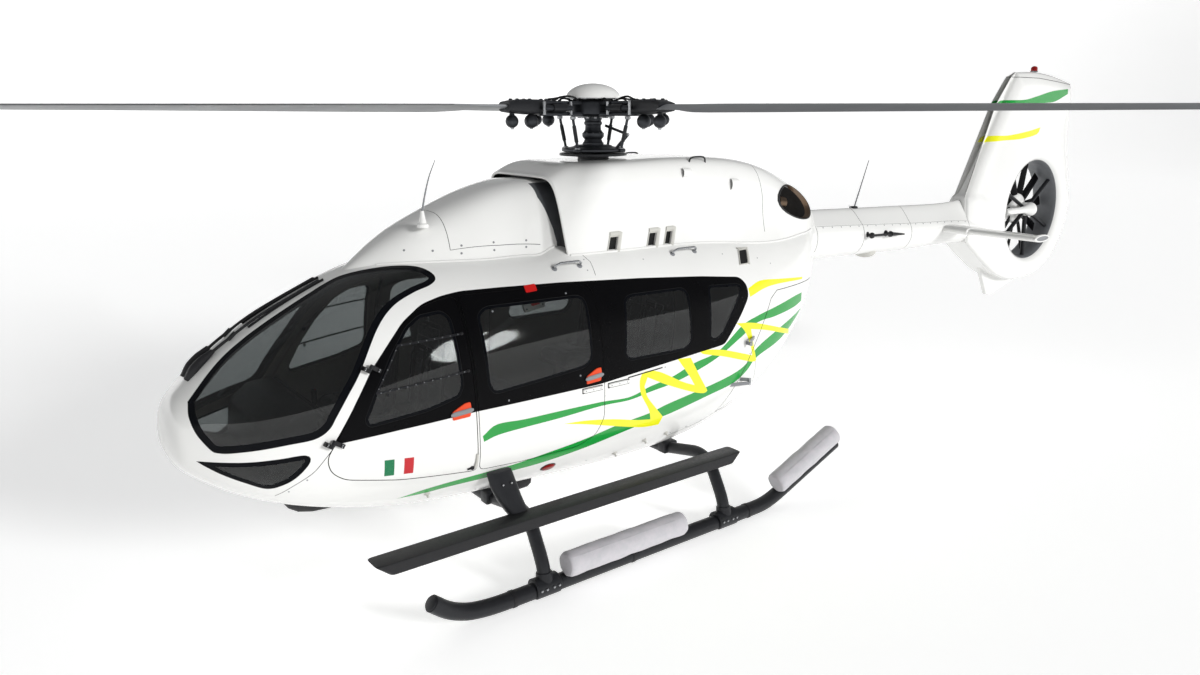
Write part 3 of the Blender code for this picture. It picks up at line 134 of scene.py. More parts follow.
# Shut lines: the dark rubber seal at the bottom of a narrow gap.
SEAL = material("gap_seal", "#141414", 0.75, "#1E1E1E", 60.0, 0.6, 0.0002, 300.0)
# Blow-moulded acrylic: grey tint, very smooth, with a trace of smear.
GLASS = material("tinted_glass", "#A2A6A6", 0.03, "#A1A5A5", 6.0, 0.8, 0.0, None, 0.015,
                 Transmission_Weight=1.0, IOR=1.49, Specular_IOR_Level=0.5)
# Black ceramic border baked on the back of the acrylic.
FRIT = material("glass_border", "#08090C", 0.14, "#0D0F13", 30.0, 0.6, 0.0, None, 0.05,
                Specular_IOR_Level=0.08)
# Sprayed cabin lining and floor covering.
LINING = material("cabin_lining", "#77746A", 0.75, "#6C6960", 25.0, 0.8, 0.0004, 400.0)
CARPET = material("floor_cover", "#3B3D40", 0.95, "#2F3133", 120.0, 0.7, 0.0012, 700.0)
# Moulded plastic with a fine grain, and matt rubber.
PLASTIC = material("black_plastic", "#121214", 0.5, "#1A1A1D", 50.0, 0.7, 0.0003, 500.0)
RUBBER = material("grip_rubber", "#0F0F10", 0.85, "#18181A", 90.0, 0.7, 0.0006, 600.0)
# Powder-coated gear, the steel of the rotor head, and bright fittings.
DARK = material("dark_metal", "#1E1F22", 0.42, "#2A2B2E", 20.0, 0.8, 0.0002, 350.0, 0.1, Metallic=0.35)
IRON = material("head_metal", "#34363A", 0.38, "#4A4C50", 14.0, 0.8, 0.0002, 220.0, 0.12, Metallic=0.8)
BRIGHT = material("bright_metal", "#B9BBBD", 0.28, "#A5A7AA", 30.0, 0.8, 0.0001, 300.0, 0.08, Metallic=1.0)
# Heat-stained steel of the outlets, and the soot behind it.
STEEL = material("exhaust_steel", "#6A6159", 0.36, "#8B6F55", 8.0, 0.9, 0.0001, 120.0, 0.12, Metallic=1.0)
SOOT = material("soot", "#0B0A0A", 0.95, "#15120F", 20.0, 0.8)
# Grey paint of the blades, and the metal strip along their leading edge.
BLADE = material("blade_composite", "#8F9193", 0.42, "#85878A", 3.0, 0.8, 0.0001, 200.0, 0.08)
BLADE_EDGE = material("blade_edge", "#6E6F71", 0.3, "#7C7D80", 12.0, 0.8, 0.0001, 200.0, 0.08, Metallic=0.9)
# Woven covers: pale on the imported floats, charcoal on the seats.
FLOAT = material("float_cover", "#C9C3C8", 0.72, "#B4B6B9", 22.0, 0.8, 0.0010, 240.0, 0.1, Sheen_Weight=0.2)
CLOTH = material("seat_cloth", "#3A3C40", 0.92, "#313337", 60.0, 0.7, 0.0008, 900.0, 0.05, Sheen_Weight=0.3)
# Moulded red lens, and the orange of the door handles.
RED = material("red_lens", "#B3120F", 0.12, "#9C0E0C", 15.0, 0.8, 0.0, None, 0.04, Transmission_Weight=0.35)
ORANGE = material("orange_handle", "#E4491C", 0.4, "#D63F15", 20.0, 0.8)
# Greys of small fittings; of the duct's inside, a grey paint darkened further as painted shade; and of the
# facet beside the intake, whose grey is painted shade on the white cowling.
GREY_PAINT = material("grey_paint", "#8B8D90", 0.45, "#7E8083", 15.0, 0.8, 0.0002, 250.0)
# Painted shade: the duct's grey is darker than its paint, for the shade inside the duct.
DUCT_GREY_SHADED = material("duct_grey_painted_shade", "#6E7073", 0.5, "#626467", 12.0, 0.8, 0.0002, 250.0)
# Painted shade: the facet's grey stands for shade on the white cowling where it turns inward.
SHADED_FACET = material("intake_painted_shade", "#505255", 0.5, "#47494C", 12.0, 0.8, 0.0002, 250.0)
# Pale lining of the rear doors, and the dark glass of the displays.
CREAM = material("light_lining", "#C9C8C2", 0.7, "#BDBCB6", 12.0, 0.8, 0.0003, 300.0)
SCREEN = material("display_glass", "#0C1013", 0.08, "#12181C", 20.0, 0.8, 0.0, None, 0.03)


class Shape:
    """Gathers faces of several finishes, with their own normals where a surface gives them."""

    def __init__(self):
        self.points, self.faces, self.finishes, self.normals = [], [], [], []
        self.count = 0

    def put(self, points, faces, finish, normals=None):
        """finish is one material or one a face, and normals a row of three numbers for each face's corner."""
        points = np.asarray(points, float).reshape(-1, 3)
        self.points.append(points)
        for k, face in enumerate(faces):
            self.faces.append([int(v) + self.count for v in face])
            self.finishes.append(finish[k] if isinstance(finish, list) else finish)
            self.normals.append(None if normals is None else normals[k])
        self.count += len(points)
        return self

    def mirror(self):
        """Adds the same on the starboard side."""
        return merged(self, self.flipped())

    def flipped(self):
        """The same shape on the starboard side alone."""
        other = Shape()
        flip = np.array([-1.0, 1.0, 1.0])
        other.points = [np.vstack(self.points) * flip]
        other.faces = [face[::-1] for face in self.faces]
        other.finishes = list(self.finishes)
        other.normals = [None if n is None else [np.asarray(v) * flip for v in n[::-1]] for n in self.normals]
        other.count = self.count
        return other

    def mesh(self, name, angle=35.0, merge=2e-5):
        """The mesh of all faces. Where no face has normals of its own, edges above the angle stay sharp."""
        mesh = bpy.data.meshes.new(name)
        mesh.from_pydata([tuple(p) for p in np.vstack(self.points)], [], self.faces)
        finishes = []
        for finish in self.finishes:
            if finish not in finishes:
                finishes.append(finish)
        for finish in finishes:
            mesh.materials.append(finish)
        order = {finish: k for k, finish in enumerate(finishes)}
        mesh.polygons.foreach_set("material_index", [order[f] for f in self.finishes])
        if all(n is None for n in self.normals):
            shape = bmesh.new()
            shape.from_mesh(mesh)
            bmesh.ops.remove_doubles(shape, verts=shape.verts, dist=merge)
            bmesh.ops.recalc_face_normals(shape, faces=shape.faces)
            shape.to_mesh(mesh)
            shape.free()
            mesh.shade_smooth()
            mesh.set_sharp_from_angle(angle=math.radians(angle))
        else:
            mesh.shade_smooth()
            mesh.update()
            rows = []
            for polygon, normals in zip(mesh.polygons, self.normals):
                plain_face = [polygon.normal] * len(polygon.vertices)
                rows += [tuple(n) for n in (plain_face if normals is None else normals)]
            mesh.normals_split_custom_set(rows)
        return mesh

    def piece(self, name, body, nodes=(), slot=None, angle=35.0):
        """Makes the object, lets it ride on a body, and hides the CAD nodes it stands for."""
        return placed(bpy.data.objects.new(name, self.mesh(name, angle)), body, nodes)


def merged(shape, other):
    """Adds the faces of another shape."""
    shape.points += other.points
    shape.faces += [[v + shape.count for v in face] for face in other.faces]
    shape.finishes += other.finishes
    shape.normals += other.normals
    shape.count += other.count
    return shape


# Each side's word, and what makes its shape from the port one.
SIDES = (("left", lambda shape: shape), ("right", Shape.flipped))


def placed(made, body, nodes=()):
    """Carries an object from stations to the ground frame, lets it ride on its body and hides its CAD nodes.
    """
    made.data.transform(Matrix.Translation((0.0, MAST_Y, 0.0)))
    bpy.context.scene.collection.objects.link(made)
    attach(made, body)
    if nodes:
        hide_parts(*([nodes] if isinstance(nodes, str) else nodes))
    return made


def unit(v):
    """A direction of length one."""
    v = np.asarray(v, float)
    return v / max(np.linalg.norm(v), 1e-12)


def full_turn(count):
    """Angles evenly round a full turn."""
    return np.linspace(0, 2 * math.pi, count + 1)[:-1]


def loft(shape, rings, finish, closed=True, caps=True):
    """A skin over rings of equally many points."""
    rings = [np.asarray(r, float) for r in rings]
    n = len(rings[0])
    points = np.vstack(rings)
    faces = []
    for k in range(len(rings) - 1):
        for m in range(n if closed else n - 1):
            o = (m + 1) % n
            faces.append((k * n + m, k * n + o, (k + 1) * n + o, (k + 1) * n + m))
    if caps and closed:
        faces.append(tuple(range(n))[::-1])
        faces.append(tuple(range((len(rings) - 1) * n, len(rings) * n)))
    return shape.put(points, faces, finish)


def smooth_path(path, step=0.03):
    """A Catmull-Rom line through the points."""
    path = np.asarray(path, float)
    ends = np.vstack([2 * path[0] - path[1], path, 2 * path[-1] - path[-2]])
    out = []
    for k in range(1, len(ends) - 2):
        a, b, c, d = ends[k - 1:k + 3]
        n = max(2, int(math.ceil(np.linalg.norm(c - b) / step)))
        for m in range(n):
            t = m / n
            out.append(0.5 * (2 * b + (c - a) * t + (2 * a - 5 * b + 4 * c - d) * t * t
                              + (3 * b - a - 3 * c + d) * t ** 3))
    out.append(path[-1])
    return np.array(out)


def sweep(shape, path, radius, finish, sides=12, flatten=1.0, up=None, caps=True, profile=None):
    """A bar along a path. radius may be a list, and profile a closed section instead of a circle."""
    path = np.asarray(path, float)
    radii = np.broadcast_to(np.asarray(radius, float), (len(path),))
    along = np.gradient(path, axis=0)
    along /= np.linalg.norm(along, axis=1)[:, None]
    reference = np.asarray(up if up is not None else ((0, 0, 1) if abs(along[0][2]) < 0.9 else (0, 1, 0)),
                           float)
    side = unit(np.cross(along[0], reference))
    rings = []
    turn = [2 * math.pi * k / sides for k in range(sides)]
    section = profile or [(math.cos(a), math.sin(a) * flatten) for a in turn]
    for k, point in enumerate(path):
        side = unit(side - along[k] * np.dot(side, along[k]))
        top = np.cross(side, along[k])
        if k and k < len(path) - 1:
            back, ahead = unit(point - path[k - 1]), unit(path[k + 1] - point)
            stretch = 1 / max(np.dot(unit(back + ahead), ahead), 0.6)
            bend = ahead - back
            bend = unit(bend) if np.linalg.norm(bend) > 1e-6 else None
        else:
            bend = None
        ring = []
        for a, b in section:
            offset = (side * a + top * b) * radii[k]
            if bend is not None:
                offset = offset + bend * np.dot(offset, bend) * (stretch - 1)
            ring.append(point + offset)
        rings.append(ring)
    return loft(shape, rings, finish, True, caps)


def turned(shape, centre, profile, finish, axis="Z", sides=32, caps=False):
    """A turned solid: profile lists radius and height."""
    rings = []
    for radius, height in profile:
        ring = []
        for k in range(sides):
            a = 2 * math.pi * k / sides
            u, v = max(radius, 1e-5) * math.cos(a), max(radius, 1e-5) * math.sin(a)
            ring.append({"Z": (u, v, height), "X": (height, u, v), "Y": (u, height, -v)}[axis])
        rings.append(np.asarray(ring) + np.asarray(centre))
    return loft(shape, rings, finish, True, caps)


def rounded_block(shape, low, high, radius, finish, steps=2):
    """A block with rounded upright edges and softened rims."""
    low, high = np.asarray(low, float), np.asarray(high, float)
    radius = min(radius, *(0.49 * (high - low)))

    def ring(shrink, z):
        points = []
        r = radius
        for cx, cy, start in ((high[0] - r, high[1] - r, 0), (low[0] + r, high[1] - r, 90),
                              (low[0] + r, low[1] + r, 180), (high[0] - r, low[1] + r, 270)):
            for k in range(steps + 1):
                a = math.radians(start + 90 * k / steps)
                points.append((cx + (r - shrink) * math.cos(a), cy + (r - shrink) * math.sin(a), z))
        return points

    rings = []
    for k in range(steps + 1):
        a = math.pi / 2 * k / steps
        rings.append(ring(radius * 0.98 * (1 - math.sin(a)), low[2] + radius * (1 - math.cos(a))))
    for k in range(steps + 1):
        a = math.pi / 2 * (1 - k / steps)
        rings.append(ring(radius * 0.98 * (1 - math.sin(a)), high[2] - radius * (1 - math.cos(a))))
    return loft(shape, rings, finish)


# The cabin pod. Its rows hold a station, the underside, the top, the half width, the height of the
# widest point and the power of the upper curve.
POD = np.array((
    (-3.50, 1.31, 1.37, 0.04, 1.34, 2.3),
    (-3.47, 1.20, 1.50, 0.20, 1.33, 2.3),
    (-3.38, 1.08, 1.63, 0.35, 1.30, 2.3),
    (-3.20, 0.95, 1.79, 0.52, 1.27, 2.3),
    (-2.90, 0.80, 1.99, 0.68, 1.22, 2.3),
    (-2.50, 0.67, 2.19, 0.79, 1.17, 2.3),
    (-2.00, 0.57, 2.35, 0.86, 1.15, 2.4),
    (-1.40, 0.52, 2.41, 0.89, 1.15, 2.5),
    (-0.60, 0.48, 2.42, 0.90, 1.15, 2.6),
    (0.30, 0.48, 2.42, 0.90, 1.18, 2.6),
    (0.80, 0.56, 2.42, 0.89, 1.25, 2.6),
    (1.30, 0.75, 2.42, 0.84, 1.40, 2.5),
    (1.80, 1.08, 2.42, 0.72, 1.62, 2.4),
    (2.15, 1.42, 2.41, 0.57, 1.85, 2.3),
    (2.40, 1.74, 2.40, 0.40, 2.05, 2.2),
    (2.60, 1.87, 2.39, 0.26, 2.14, 2.1),
))
# Where the flat coordinate starts ahead of the mast, the power of the pod's lower curve, and the height
# of the cabin floor.
NOSE = 3.52
LOWER_POWER = 2.4
FLOOR = 0.84


def spline(x, y):
    """A cubic through the points with an even bend, as a function."""
    n = len(x)
    h = np.diff(x)
    matrix, right = np.eye(n), np.zeros(n)
    for k in range(1, n - 1):
        matrix[k, k - 1:k + 2] = h[k - 1] / 6, (h[k - 1] + h[k]) / 3, h[k] / 6
        right[k] = (y[k + 1] - y[k]) / h[k] - (y[k] - y[k - 1]) / h[k - 1]
    bend = np.linalg.solve(matrix, right)

    def value(at):
        at = np.clip(at, x[0], x[-1])
        k = np.clip(np.searchsorted(x, at) - 1, 0, n - 2)
        a, b = x[k + 1] - at, at - x[k]
        cubic = (bend[k] * a ** 3 + bend[k + 1] * b ** 3) / (6 * h[k])
        return cubic + (y[k] / h[k] - bend[k] * h[k] / 6) * a \
            + (y[k + 1] / h[k] - bend[k + 1] * h[k] / 6) * b

    return value


# The columns as functions of the square root of the distance from just before the nose.
POD_CURVES = [spline(np.sqrt(POD[:, 0] + NOSE), POD[:, k]) for k in range(1, 6)]


def flat_station(station):
    """The flat coordinate that stands for a station: it spreads the nose, where the skin turns fastest."""
    return 3 * math.sqrt(station + NOSE)


def pod_rows(station):
    """Underside, top, half width, waist and power at stations."""
    v = np.sqrt(np.maximum(np.asarray(station, float) + NOSE, 0.0))
    return [curve(v) for curve in POD_CURVES]


def pod_lift(flat):
    """Points of the port skin from flat coordinates: three times the root of the station, and the angle."""
    flat = np.asarray(flat, float)
    station = (flat[..., 0] / 3) ** 2 - NOSE
    low, top, half, waist, power = pod_rows(station)
    a = np.clip(flat[..., 1], -math.pi / 2, math.pi / 2)
    p = np.where(a > 0, power, LOWER_POWER)
    x = half * np.maximum(np.cos(a), 0.0) ** (2 / p)
    x = np.where(np.abs(a) > math.pi / 2 - 1e-6, 0.0, x)
    reach = np.where(a > 0, top - waist, waist - low)
    return np.stack([x, station, waist + np.sign(a) * reach * np.abs(np.sin(a)) ** (2 / p)], -1)


def pod_flat(points):
    """Flat coordinates of points on or near the skin."""
    points = np.asarray(points, float)
    low, top, half, waist, power = pod_rows(points[..., 1])
    up = points[..., 2] >= waist
    p = np.where(up, power, LOWER_POWER)
    u = np.clip(np.abs(points[..., 2] - waist) / np.where(up, top - waist, waist - low), 0.0, 1.5)
    across = np.clip(np.abs(points[..., 0]) / half, 0.0, 1.5)
    a = np.arctan2(u ** (p / 2), across ** (p / 2))
    return np.stack([3 * np.sqrt(np.maximum(points[..., 1] + NOSE, 1e-6)), np.where(up, a, -a)], -1)


def skin_x(station, height):
    """How far the port skin stands from the middle at a station and height."""
    low, top, half, waist, power = pod_rows(station)
    up = np.asarray(height) >= waist
    p = np.where(up, power, LOWER_POWER)
    u = np.clip(np.abs(height - waist) / np.where(up, top - waist, waist - low), 0.0, 1.0)
    return half * (1 - u ** p) ** (1 / p)


def on_skin(station, height, out=0.0):
    """A point on the port skin in side view, moved outwards, and the skin's direction there."""
    point = np.array([float(skin_x(station, height)), station, height])
    direction = normals_of(pod_lift, pod_flat(point)[None])[0]
    return point + direction * out, direction


def normals_of(lift, flat):
    """Outward directions of a lifted surface."""
    flat = np.asarray(flat, float)
    step = 2e-4
    along = lift(flat + [step, 0]) - lift(flat - [step, 0])
    around = lift(flat + [0, step]) - lift(flat - [0, step])
    out = np.cross(along, around)
    return out / np.maximum(np.linalg.norm(out, axis=-1), 1e-12)[..., None]


def rounded(outline, radius=0.04, steps=5):
    """An outline with its corners rounded."""
    outline = [np.asarray(p, float) for p in outline]
    out = []
    for k, here in enumerate(outline):
        back, ahead = outline[k - 1] - here, outline[(k + 1) % len(outline)] - here
        reach_back = min(radius, 0.45 * np.linalg.norm(back))
        reach_ahead = min(radius, 0.45 * np.linalg.norm(ahead))
        start, end = here + unit(back) * reach_back, here + unit(ahead) * reach_ahead
        for n in range(steps + 1):
            t = n / steps
            out.append((1 - t) ** 2 * start + 2 * t * (1 - t) * here + t * t * end)
    return np.array(out)


def dense(outline, step=0.03, closed=True):
    """A line with points added until none lies further than a step from the next."""
    outline = np.asarray(outline, float)
    out = []
    count = len(outline)
    for k in range(count if closed else count - 1):
        a, b = outline[k], outline[(k + 1) % count]
        n = max(1, int(math.ceil(np.linalg.norm(b - a) / step)))
        out += [a + (b - a) * m / n for m in range(n)]
    if not closed:
        out.append(outline[-1])
    return np.array(out)


def curvy(outline, step=0.02, corner=50.0):
    """A closed line drawn smoothly through its points, except at its sharp corners."""
    outline = np.asarray(outline, float)
    n = len(outline)
    sharp = []
    for k in range(n):
        back, ahead = outline[k] - outline[k - 1], outline[(k + 1) % n] - outline[k]
        turn = math.degrees(math.acos(np.clip(np.dot(unit(back), unit(ahead)), -1, 1)))
        sharp.append(turn > corner)
    if not any(sharp):
        sharp[0] = True
    first = sharp.index(True)
    order = [(first + k) % n for k in range(n)] + [first]
    out, run = [], [outline[first]]
    for k in order[1:]:
        run.append(outline[k])
        if sharp[k]:
            out += list(smooth_path(run, step)[:-1]) if len(run) > 2 else list(dense(run, step, False)[:-1])
            run = [outline[k]]
    return np.array(out)


def side_line(outline):
    """An outline drawn in side view, laid on the port skin."""
    outline = np.asarray(outline, float)
    return pod_flat(np.column_stack([skin_x(outline[:, 0], outline[:, 1]), outline]))


def inside(points, outline):
    """Which flat points lie inside an outline."""
    points, outline = np.asarray(points, float), np.asarray(outline, float)
    x, y = points[:, 0], points[:, 1]
    result = np.zeros(len(points), bool)
    for (ax, ay), (bx, by) in zip(outline, np.roll(outline, -1, axis=0)):
        crosses = (ay > y) != (by > y)
        with np.errstate(divide="ignore", invalid="ignore"):
            result ^= crosses & (x < (bx - ax) * (y - ay) / (by - ay) + ax)
    return result


def signed_area(outline):
    """Twice the area of a flat outline, below zero where it runs clockwise."""
    ahead = np.roll(outline, -1, axis=0)
    return np.sum(outline[:, 0] * ahead[:, 1] - ahead[:, 0] * outline[:, 1])


def moved_in(outline, distance, lift=pod_lift, flatten=pod_flat):
    """The line a distance inside an outline, measured along the skin. A negative distance goes outwards."""
    outline = np.asarray(outline, float)
    points, out = lift(outline), normals_of(lift, outline)
    ahead = np.roll(points, -1, axis=0) - points
    back = points - np.roll(points, 1, axis=0)
    along = ahead / np.maximum(np.linalg.norm(ahead, axis=1), 1e-9)[:, None] \
        + back / np.maximum(np.linalg.norm(back, axis=1), 1e-9)[:, None]
    along /= np.maximum(np.linalg.norm(along, axis=1), 1e-9)[:, None]
    inward = np.cross(out, along)
    if signed_area(outline) < 0:
        inward = -inward
    moved = points + inward * distance
    gap = np.linalg.norm(moved[:, None] - points[None], axis=2).min(axis=1)
    return flatten(moved[gap > abs(distance) * 0.93])


def triangulate(lines, points):
    """Triangles of the plane that keep every line, and the names of the outlines that hold each.

    lines maps a name to a closed outline. The one called border is the rim of the whole."""
    verts, edges, faces, names = [], [], [], []
    border = np.asarray(lines["border"])
    low, high = border.min(axis=0), border.max(axis=0)
    for name, outline in lines.items():
        outline = np.clip(np.asarray(outline, float), low, high)
        keep = np.linalg.norm(outline - np.roll(outline, 1, axis=0), axis=1) > 1e-5
        outline = outline[keep]
        start = len(verts)
        if signed_area(outline) < 0:
            outline = outline[::-1]
        verts += [tuple(p) for p in outline]
        faces.append(list(range(start, len(verts))))
        names.append(name)
    edge = np.vstack([np.asarray(o) for o in lines.values()])
    points = points[inside(points, border)]
    clear = np.ones(len(points), bool)
    for k in range(0, len(points), 2000):
        part = points[k:k + 2000]
        clear[k:k + 2000] = ((part[:, None] - edge[None]) ** 2).sum(axis=2).min(axis=1) > 0.008 ** 2
    verts += [tuple(p) for p in points[clear]]
    found, _, triangles, _, _, _ = delaunay_2d_cdt([Vector(v) for v in verts], edges, faces, 1, 1e-6, True)
    found = np.array([tuple(v) for v in found])
    triangles = np.array([tuple(t) for t in triangles if len(t) == 3])
    centres = found[triangles].mean(axis=1)
    member = {name: inside(centres, lines[name]) for name in names}
    return found, triangles, member


def shell(shape, lift, flat, triangles, near, far, face_finish, back_finish, rim_finish, limit=None):
    """A thick skin between two depths below a lifted surface, with rims round every opening."""
    used, packed = np.unique(triangles, return_inverse=True)
    packed = packed.reshape(triangles.shape)
    flat = flat[used]
    top = lift(flat)
    out = normals_of(lift, flat)
    at_middle = top[:, 0] < 1e-6
    out[at_middle, 0] = 0.0
    out /= np.linalg.norm(out, axis=1)[:, None]
    ceiling = limit(top) if limit is not None else np.full(len(top), 10.0)
    outer = top - out * np.minimum(near, ceiling)[:, None]
    inner = top - out * np.minimum(far, ceiling)[:, None]
    outer[at_middle, 0] = 0.0
    inner[:, 0] = np.where(at_middle, 0.0, np.maximum(inner[:, 0], 0.0))
    a, b, c = (outer[packed[:, k]] for k in range(3))
    turned_in = np.einsum("ij,ij->i", np.cross(b - a, c - a), out[packed[:, 0]]) < 0
    packed[turned_in] = packed[turned_in][:, ::-1]
    n = len(used)
    shape.put(outer, packed, face_finish, [out[f] for f in packed])
    shape.put(inner, packed[:, ::-1], back_finish, [-out[f[::-1]] for f in packed])
    counts = {}
    for f in packed:
        for u, v in ((f[0], f[1]), (f[1], f[2]), (f[2], f[0])):
            counts[(u, v)] = counts.get((u, v), 0) + 1
    rim = [(u, v) for u, v in counts if (v, u) not in counts and not (at_middle[u] and at_middle[v])]
    points = np.vstack([outer, inner])
    quads, normals = [], []
    tangents = {}
    for u, v in rim:
        side = unit(np.cross(points[v] - points[u], out[u]))
        for w in (u, v):
            tangents[w] = tangents.get(w, []) + [side]
    for u, v in rim:
        side = unit(np.cross(points[v] - points[u], out[u]))
        smooth = {w: unit(sum(tangents[w])) for w in (u, v)}
        smooth = {w: (s if np.dot(s, side) > 0.8 else side) for w, s in smooth.items()}
        quads.append((v, u, u + n, v + n))
        normals.append([smooth[v], smooth[u], smooth[u], smooth[v]])
    shape.put(points, quads, rim_finish, normals)
    return shape


# Outlines in side view, as station and height.
COCKPIT_DOOR = ((-1.655, 2.145), (-1.76, 2.135), (-1.92, 2.10), (-2.07, 2.02), (-2.20, 1.895),
                (-2.335, 1.755), (-2.475, 1.55), (-2.62, 1.32), (-2.68, 1.23), (-2.665, 1.13), (-2.58, 1.06),
                (-2.22, 0.985), (-1.655, 0.92))
COCKPIT_GLASS = ((-1.735, 2.02), (-1.79, 2.07), (-1.95, 2.055), (-2.06, 1.99), (-2.20, 1.83), (-2.34, 1.61),
                 (-2.43, 1.44), (-2.40, 1.39), (-2.00, 1.435), (-1.77, 1.49), (-1.73, 1.56))
SLIDING_DOOR = ((-1.643, 0.92), (-1.30, 0.90), (-0.80, 0.90), (-0.64, 0.96), (-0.56, 1.10), (-0.55, 2.07),
                (-0.60, 2.13), (-1.643, 2.145))
SLIDING_GLASS = ((-1.555, 1.53), (-1.51, 1.46), (-0.72, 1.52), (-0.65, 1.58), (-0.63, 2.00), (-0.68, 2.05),
                 (-1.47, 2.06), (-1.55, 2.01))
REAR_GLASS = ((-0.36, 1.56), (-0.31, 1.50), (0.29, 1.49), (0.36, 1.55), (0.38, 1.94), (0.33, 1.99),
              (-0.23, 2.00), (-0.29, 1.96))
QUARTER_GLASS = ((0.54, 1.55), (0.61, 1.51), (0.71, 1.55), (1.00, 1.90), (0.97, 1.95), (0.60, 1.975))
CHIN_GLASS = ((-3.37, 1.258), (-3.25, 1.258), (-3.10, 1.258), (-2.95, 1.265), (-2.80, 1.272), (-2.775, 1.225),
              (-2.85, 1.135), (-2.93, 1.08), (-3.02, 1.055), (-3.13, 1.105), (-3.25, 1.17), (-3.33, 1.225))
# Half of the windshield on the port side, as X, station and height: it needs all three near the ridge.
SCREEN_LINE = ((0.222, -3.350, 1.611), (0.217, -3.300, 1.668), (0.195, -3.21, 1.760), (0.165, -3.099, 1.853),
               (0.150, -2.95, 1.953), (0.145, -2.83, 2.017), (0.140, -2.67, 2.103), (0.125, -2.497, 2.182),
               (0.110, -2.406, 2.225), (0.100, -2.294, 2.268), (0.13, -2.20, 2.294), (0.19, -2.08, 2.315),
               (0.27, -1.92, 2.335), (0.35, -1.80, 2.332), (0.44, -1.735, 2.29), (0.50, -1.735, 2.250),
               (0.53, -1.80, 2.220), (0.54, -1.92, 2.189), (0.57, -2.09, 2.122), (0.625, -2.232, 1.996),
               (0.713, -2.405, 1.746), (0.736, -2.507, 1.610), (0.744, -2.593, 1.490), (0.742, -2.645, 1.418),
               (0.715, -2.735, 1.366), (0.66, -2.90, 1.347), (0.568, -3.121, 1.325), (0.48, -3.25, 1.318),
               (0.43, -3.30, 1.345), (0.348, -3.352, 1.433), (0.286, -3.368, 1.528))
CLAM_DOOR = ((0.74, FLOOR), (1.36, 1.77), (1.46, 1.83), (2.56, 1.83), (2.56, 1.70), (2.3, 1.4), (1.8, 1.0),
             (1.5, FLOOR))
BAND = ((-2.635, 1.315), (-2.21, 1.344), (-1.67, 1.368), (-0.60, 1.371), (0.44, 1.450), (0.69, 1.467),
        (0.73, 1.478), (0.93, 1.68), (1.06, 1.83), (1.06, 1.93), (0.99, 2.00), (0.56, 2.05), (-0.06, 2.10),
        (-0.80, 2.146), (-1.30, 2.164), (-1.61, 2.169), (-1.76, 2.152), (-1.91, 2.115), (-2.07, 2.02),
        (-2.20, 1.895), (-2.33, 1.757), (-2.47, 1.555), (-2.58, 1.393))
# The painted strokes, each an outline in side view.
GREEN_UPPER = ((-1.619, 1.181), (-1.504, 1.244), (-1.279, 1.236), (-0.986, 1.235), (-0.602, 1.229),
               (-0.319, 1.213), (-0.107, 1.259), (0.114, 1.293), (0.371, 1.369), (0.643, 1.423),
               (0.935, 1.591), (1.150, 1.648), (1.425, 1.686), (1.754, 1.726), (1.92, 1.735), (1.92, 1.655),
               (1.760, 1.627), (1.423, 1.603), (1.149, 1.590), (0.933, 1.500), (0.644, 1.372), (0.372, 1.291),
               (0.116, 1.238), (-0.106, 1.214), (-0.320, 1.188), (-0.601, 1.196), (-0.987, 1.180),
               (-1.280, 1.174), (-1.495, 1.164), (-1.611, 1.137))
GREEN_LOWER = ((-2.209, 0.808), (-2.054, 0.850), (-1.842, 0.873), (-1.519, 0.885), (-1.346, 0.890),
               (-1.108, 0.913), (-0.760, 0.950), (-0.414, 1.004), (-0.098, 1.035), (0.094, 1.074),
               (0.530, 1.135), (0.846, 1.189), (1.015, 1.251), (1.155, 1.366), (1.475, 1.474), (1.950, 1.588),
               (1.848, 1.521), (1.541, 1.374), (1.163, 1.281), (1.026, 1.180), (0.863, 1.101), (0.543, 1.049),
               (0.109, 0.977), (-0.086, 0.962), (-0.398, 0.918), (-0.740, 0.866), (-1.086, 0.833),
               (-1.330, 0.828), (-1.504, 0.826), (-1.828, 0.827), (-2.042, 0.813))
YELLOW_MAIN = ((-0.941, 1.127), (-0.725, 1.107), (-0.473, 1.062), (-0.228, 1.000), (-0.087, 0.974),
               (-0.115, 1.062), (-0.200, 1.211), (-0.215, 1.322), (-0.187, 1.385), (-0.119, 1.390),
               (0.003, 1.357), (0.229, 1.238), (0.376, 1.177), (0.315, 1.267), (0.185, 1.434), (0.328, 1.421),
               (0.433, 1.245), (0.529, 1.100), (0.490, 1.084), (0.350, 1.124), (0.086, 1.232),
               (-0.134, 1.339), (-0.166, 1.270), (-0.133, 1.177), (-0.047, 1.070), (0.048, 0.967),
               (0.017, 0.900), (-0.156, 0.918), (-0.412, 0.987), (-0.724, 1.075))
YELLOW_AFT = ((0.431, 1.470), (0.707, 1.423), (1.085, 1.308), (1.050, 1.410), (0.969, 1.551), (0.872, 1.627),
              (1.148, 1.584), (1.693, 1.428), (1.719, 1.374), (1.302, 1.494), (1.058, 1.548), (1.097, 1.401),
              (1.148, 1.252), (1.091, 1.247), (0.708, 1.366), (0.461, 1.431))
YELLOW_HIGH = ((1.070, 1.894), (1.244, 1.938), (1.508, 1.920), (1.940, 1.877), (1.926, 1.858), (1.537, 1.878),
               (1.299, 1.870), (1.075, 1.821))
# The flag's four corners.
FLAG = ((-2.323, 1.155), (-2.125, 1.138), (-2.134, 1.023), (-2.329, 1.040))
# The gap round a door.
SHUT_LINE = 0.006
# Where each sheet of the pod begins and ends, in metres below its outer face.
WALL = (0.0, 0.050)
DOOR_WALL = (0.0, 0.045)
DOOR_SHEET = (0.0, 0.015)
DOOR_LINING = (0.0145, 0.045)
GAP_SEAL = (0.012, 0.030)
REAR_GAP_SEAL = (0.012, 0.020)
PANE_SEAL = (0.004, 0.014)
PANE = (0.003, 0.010)


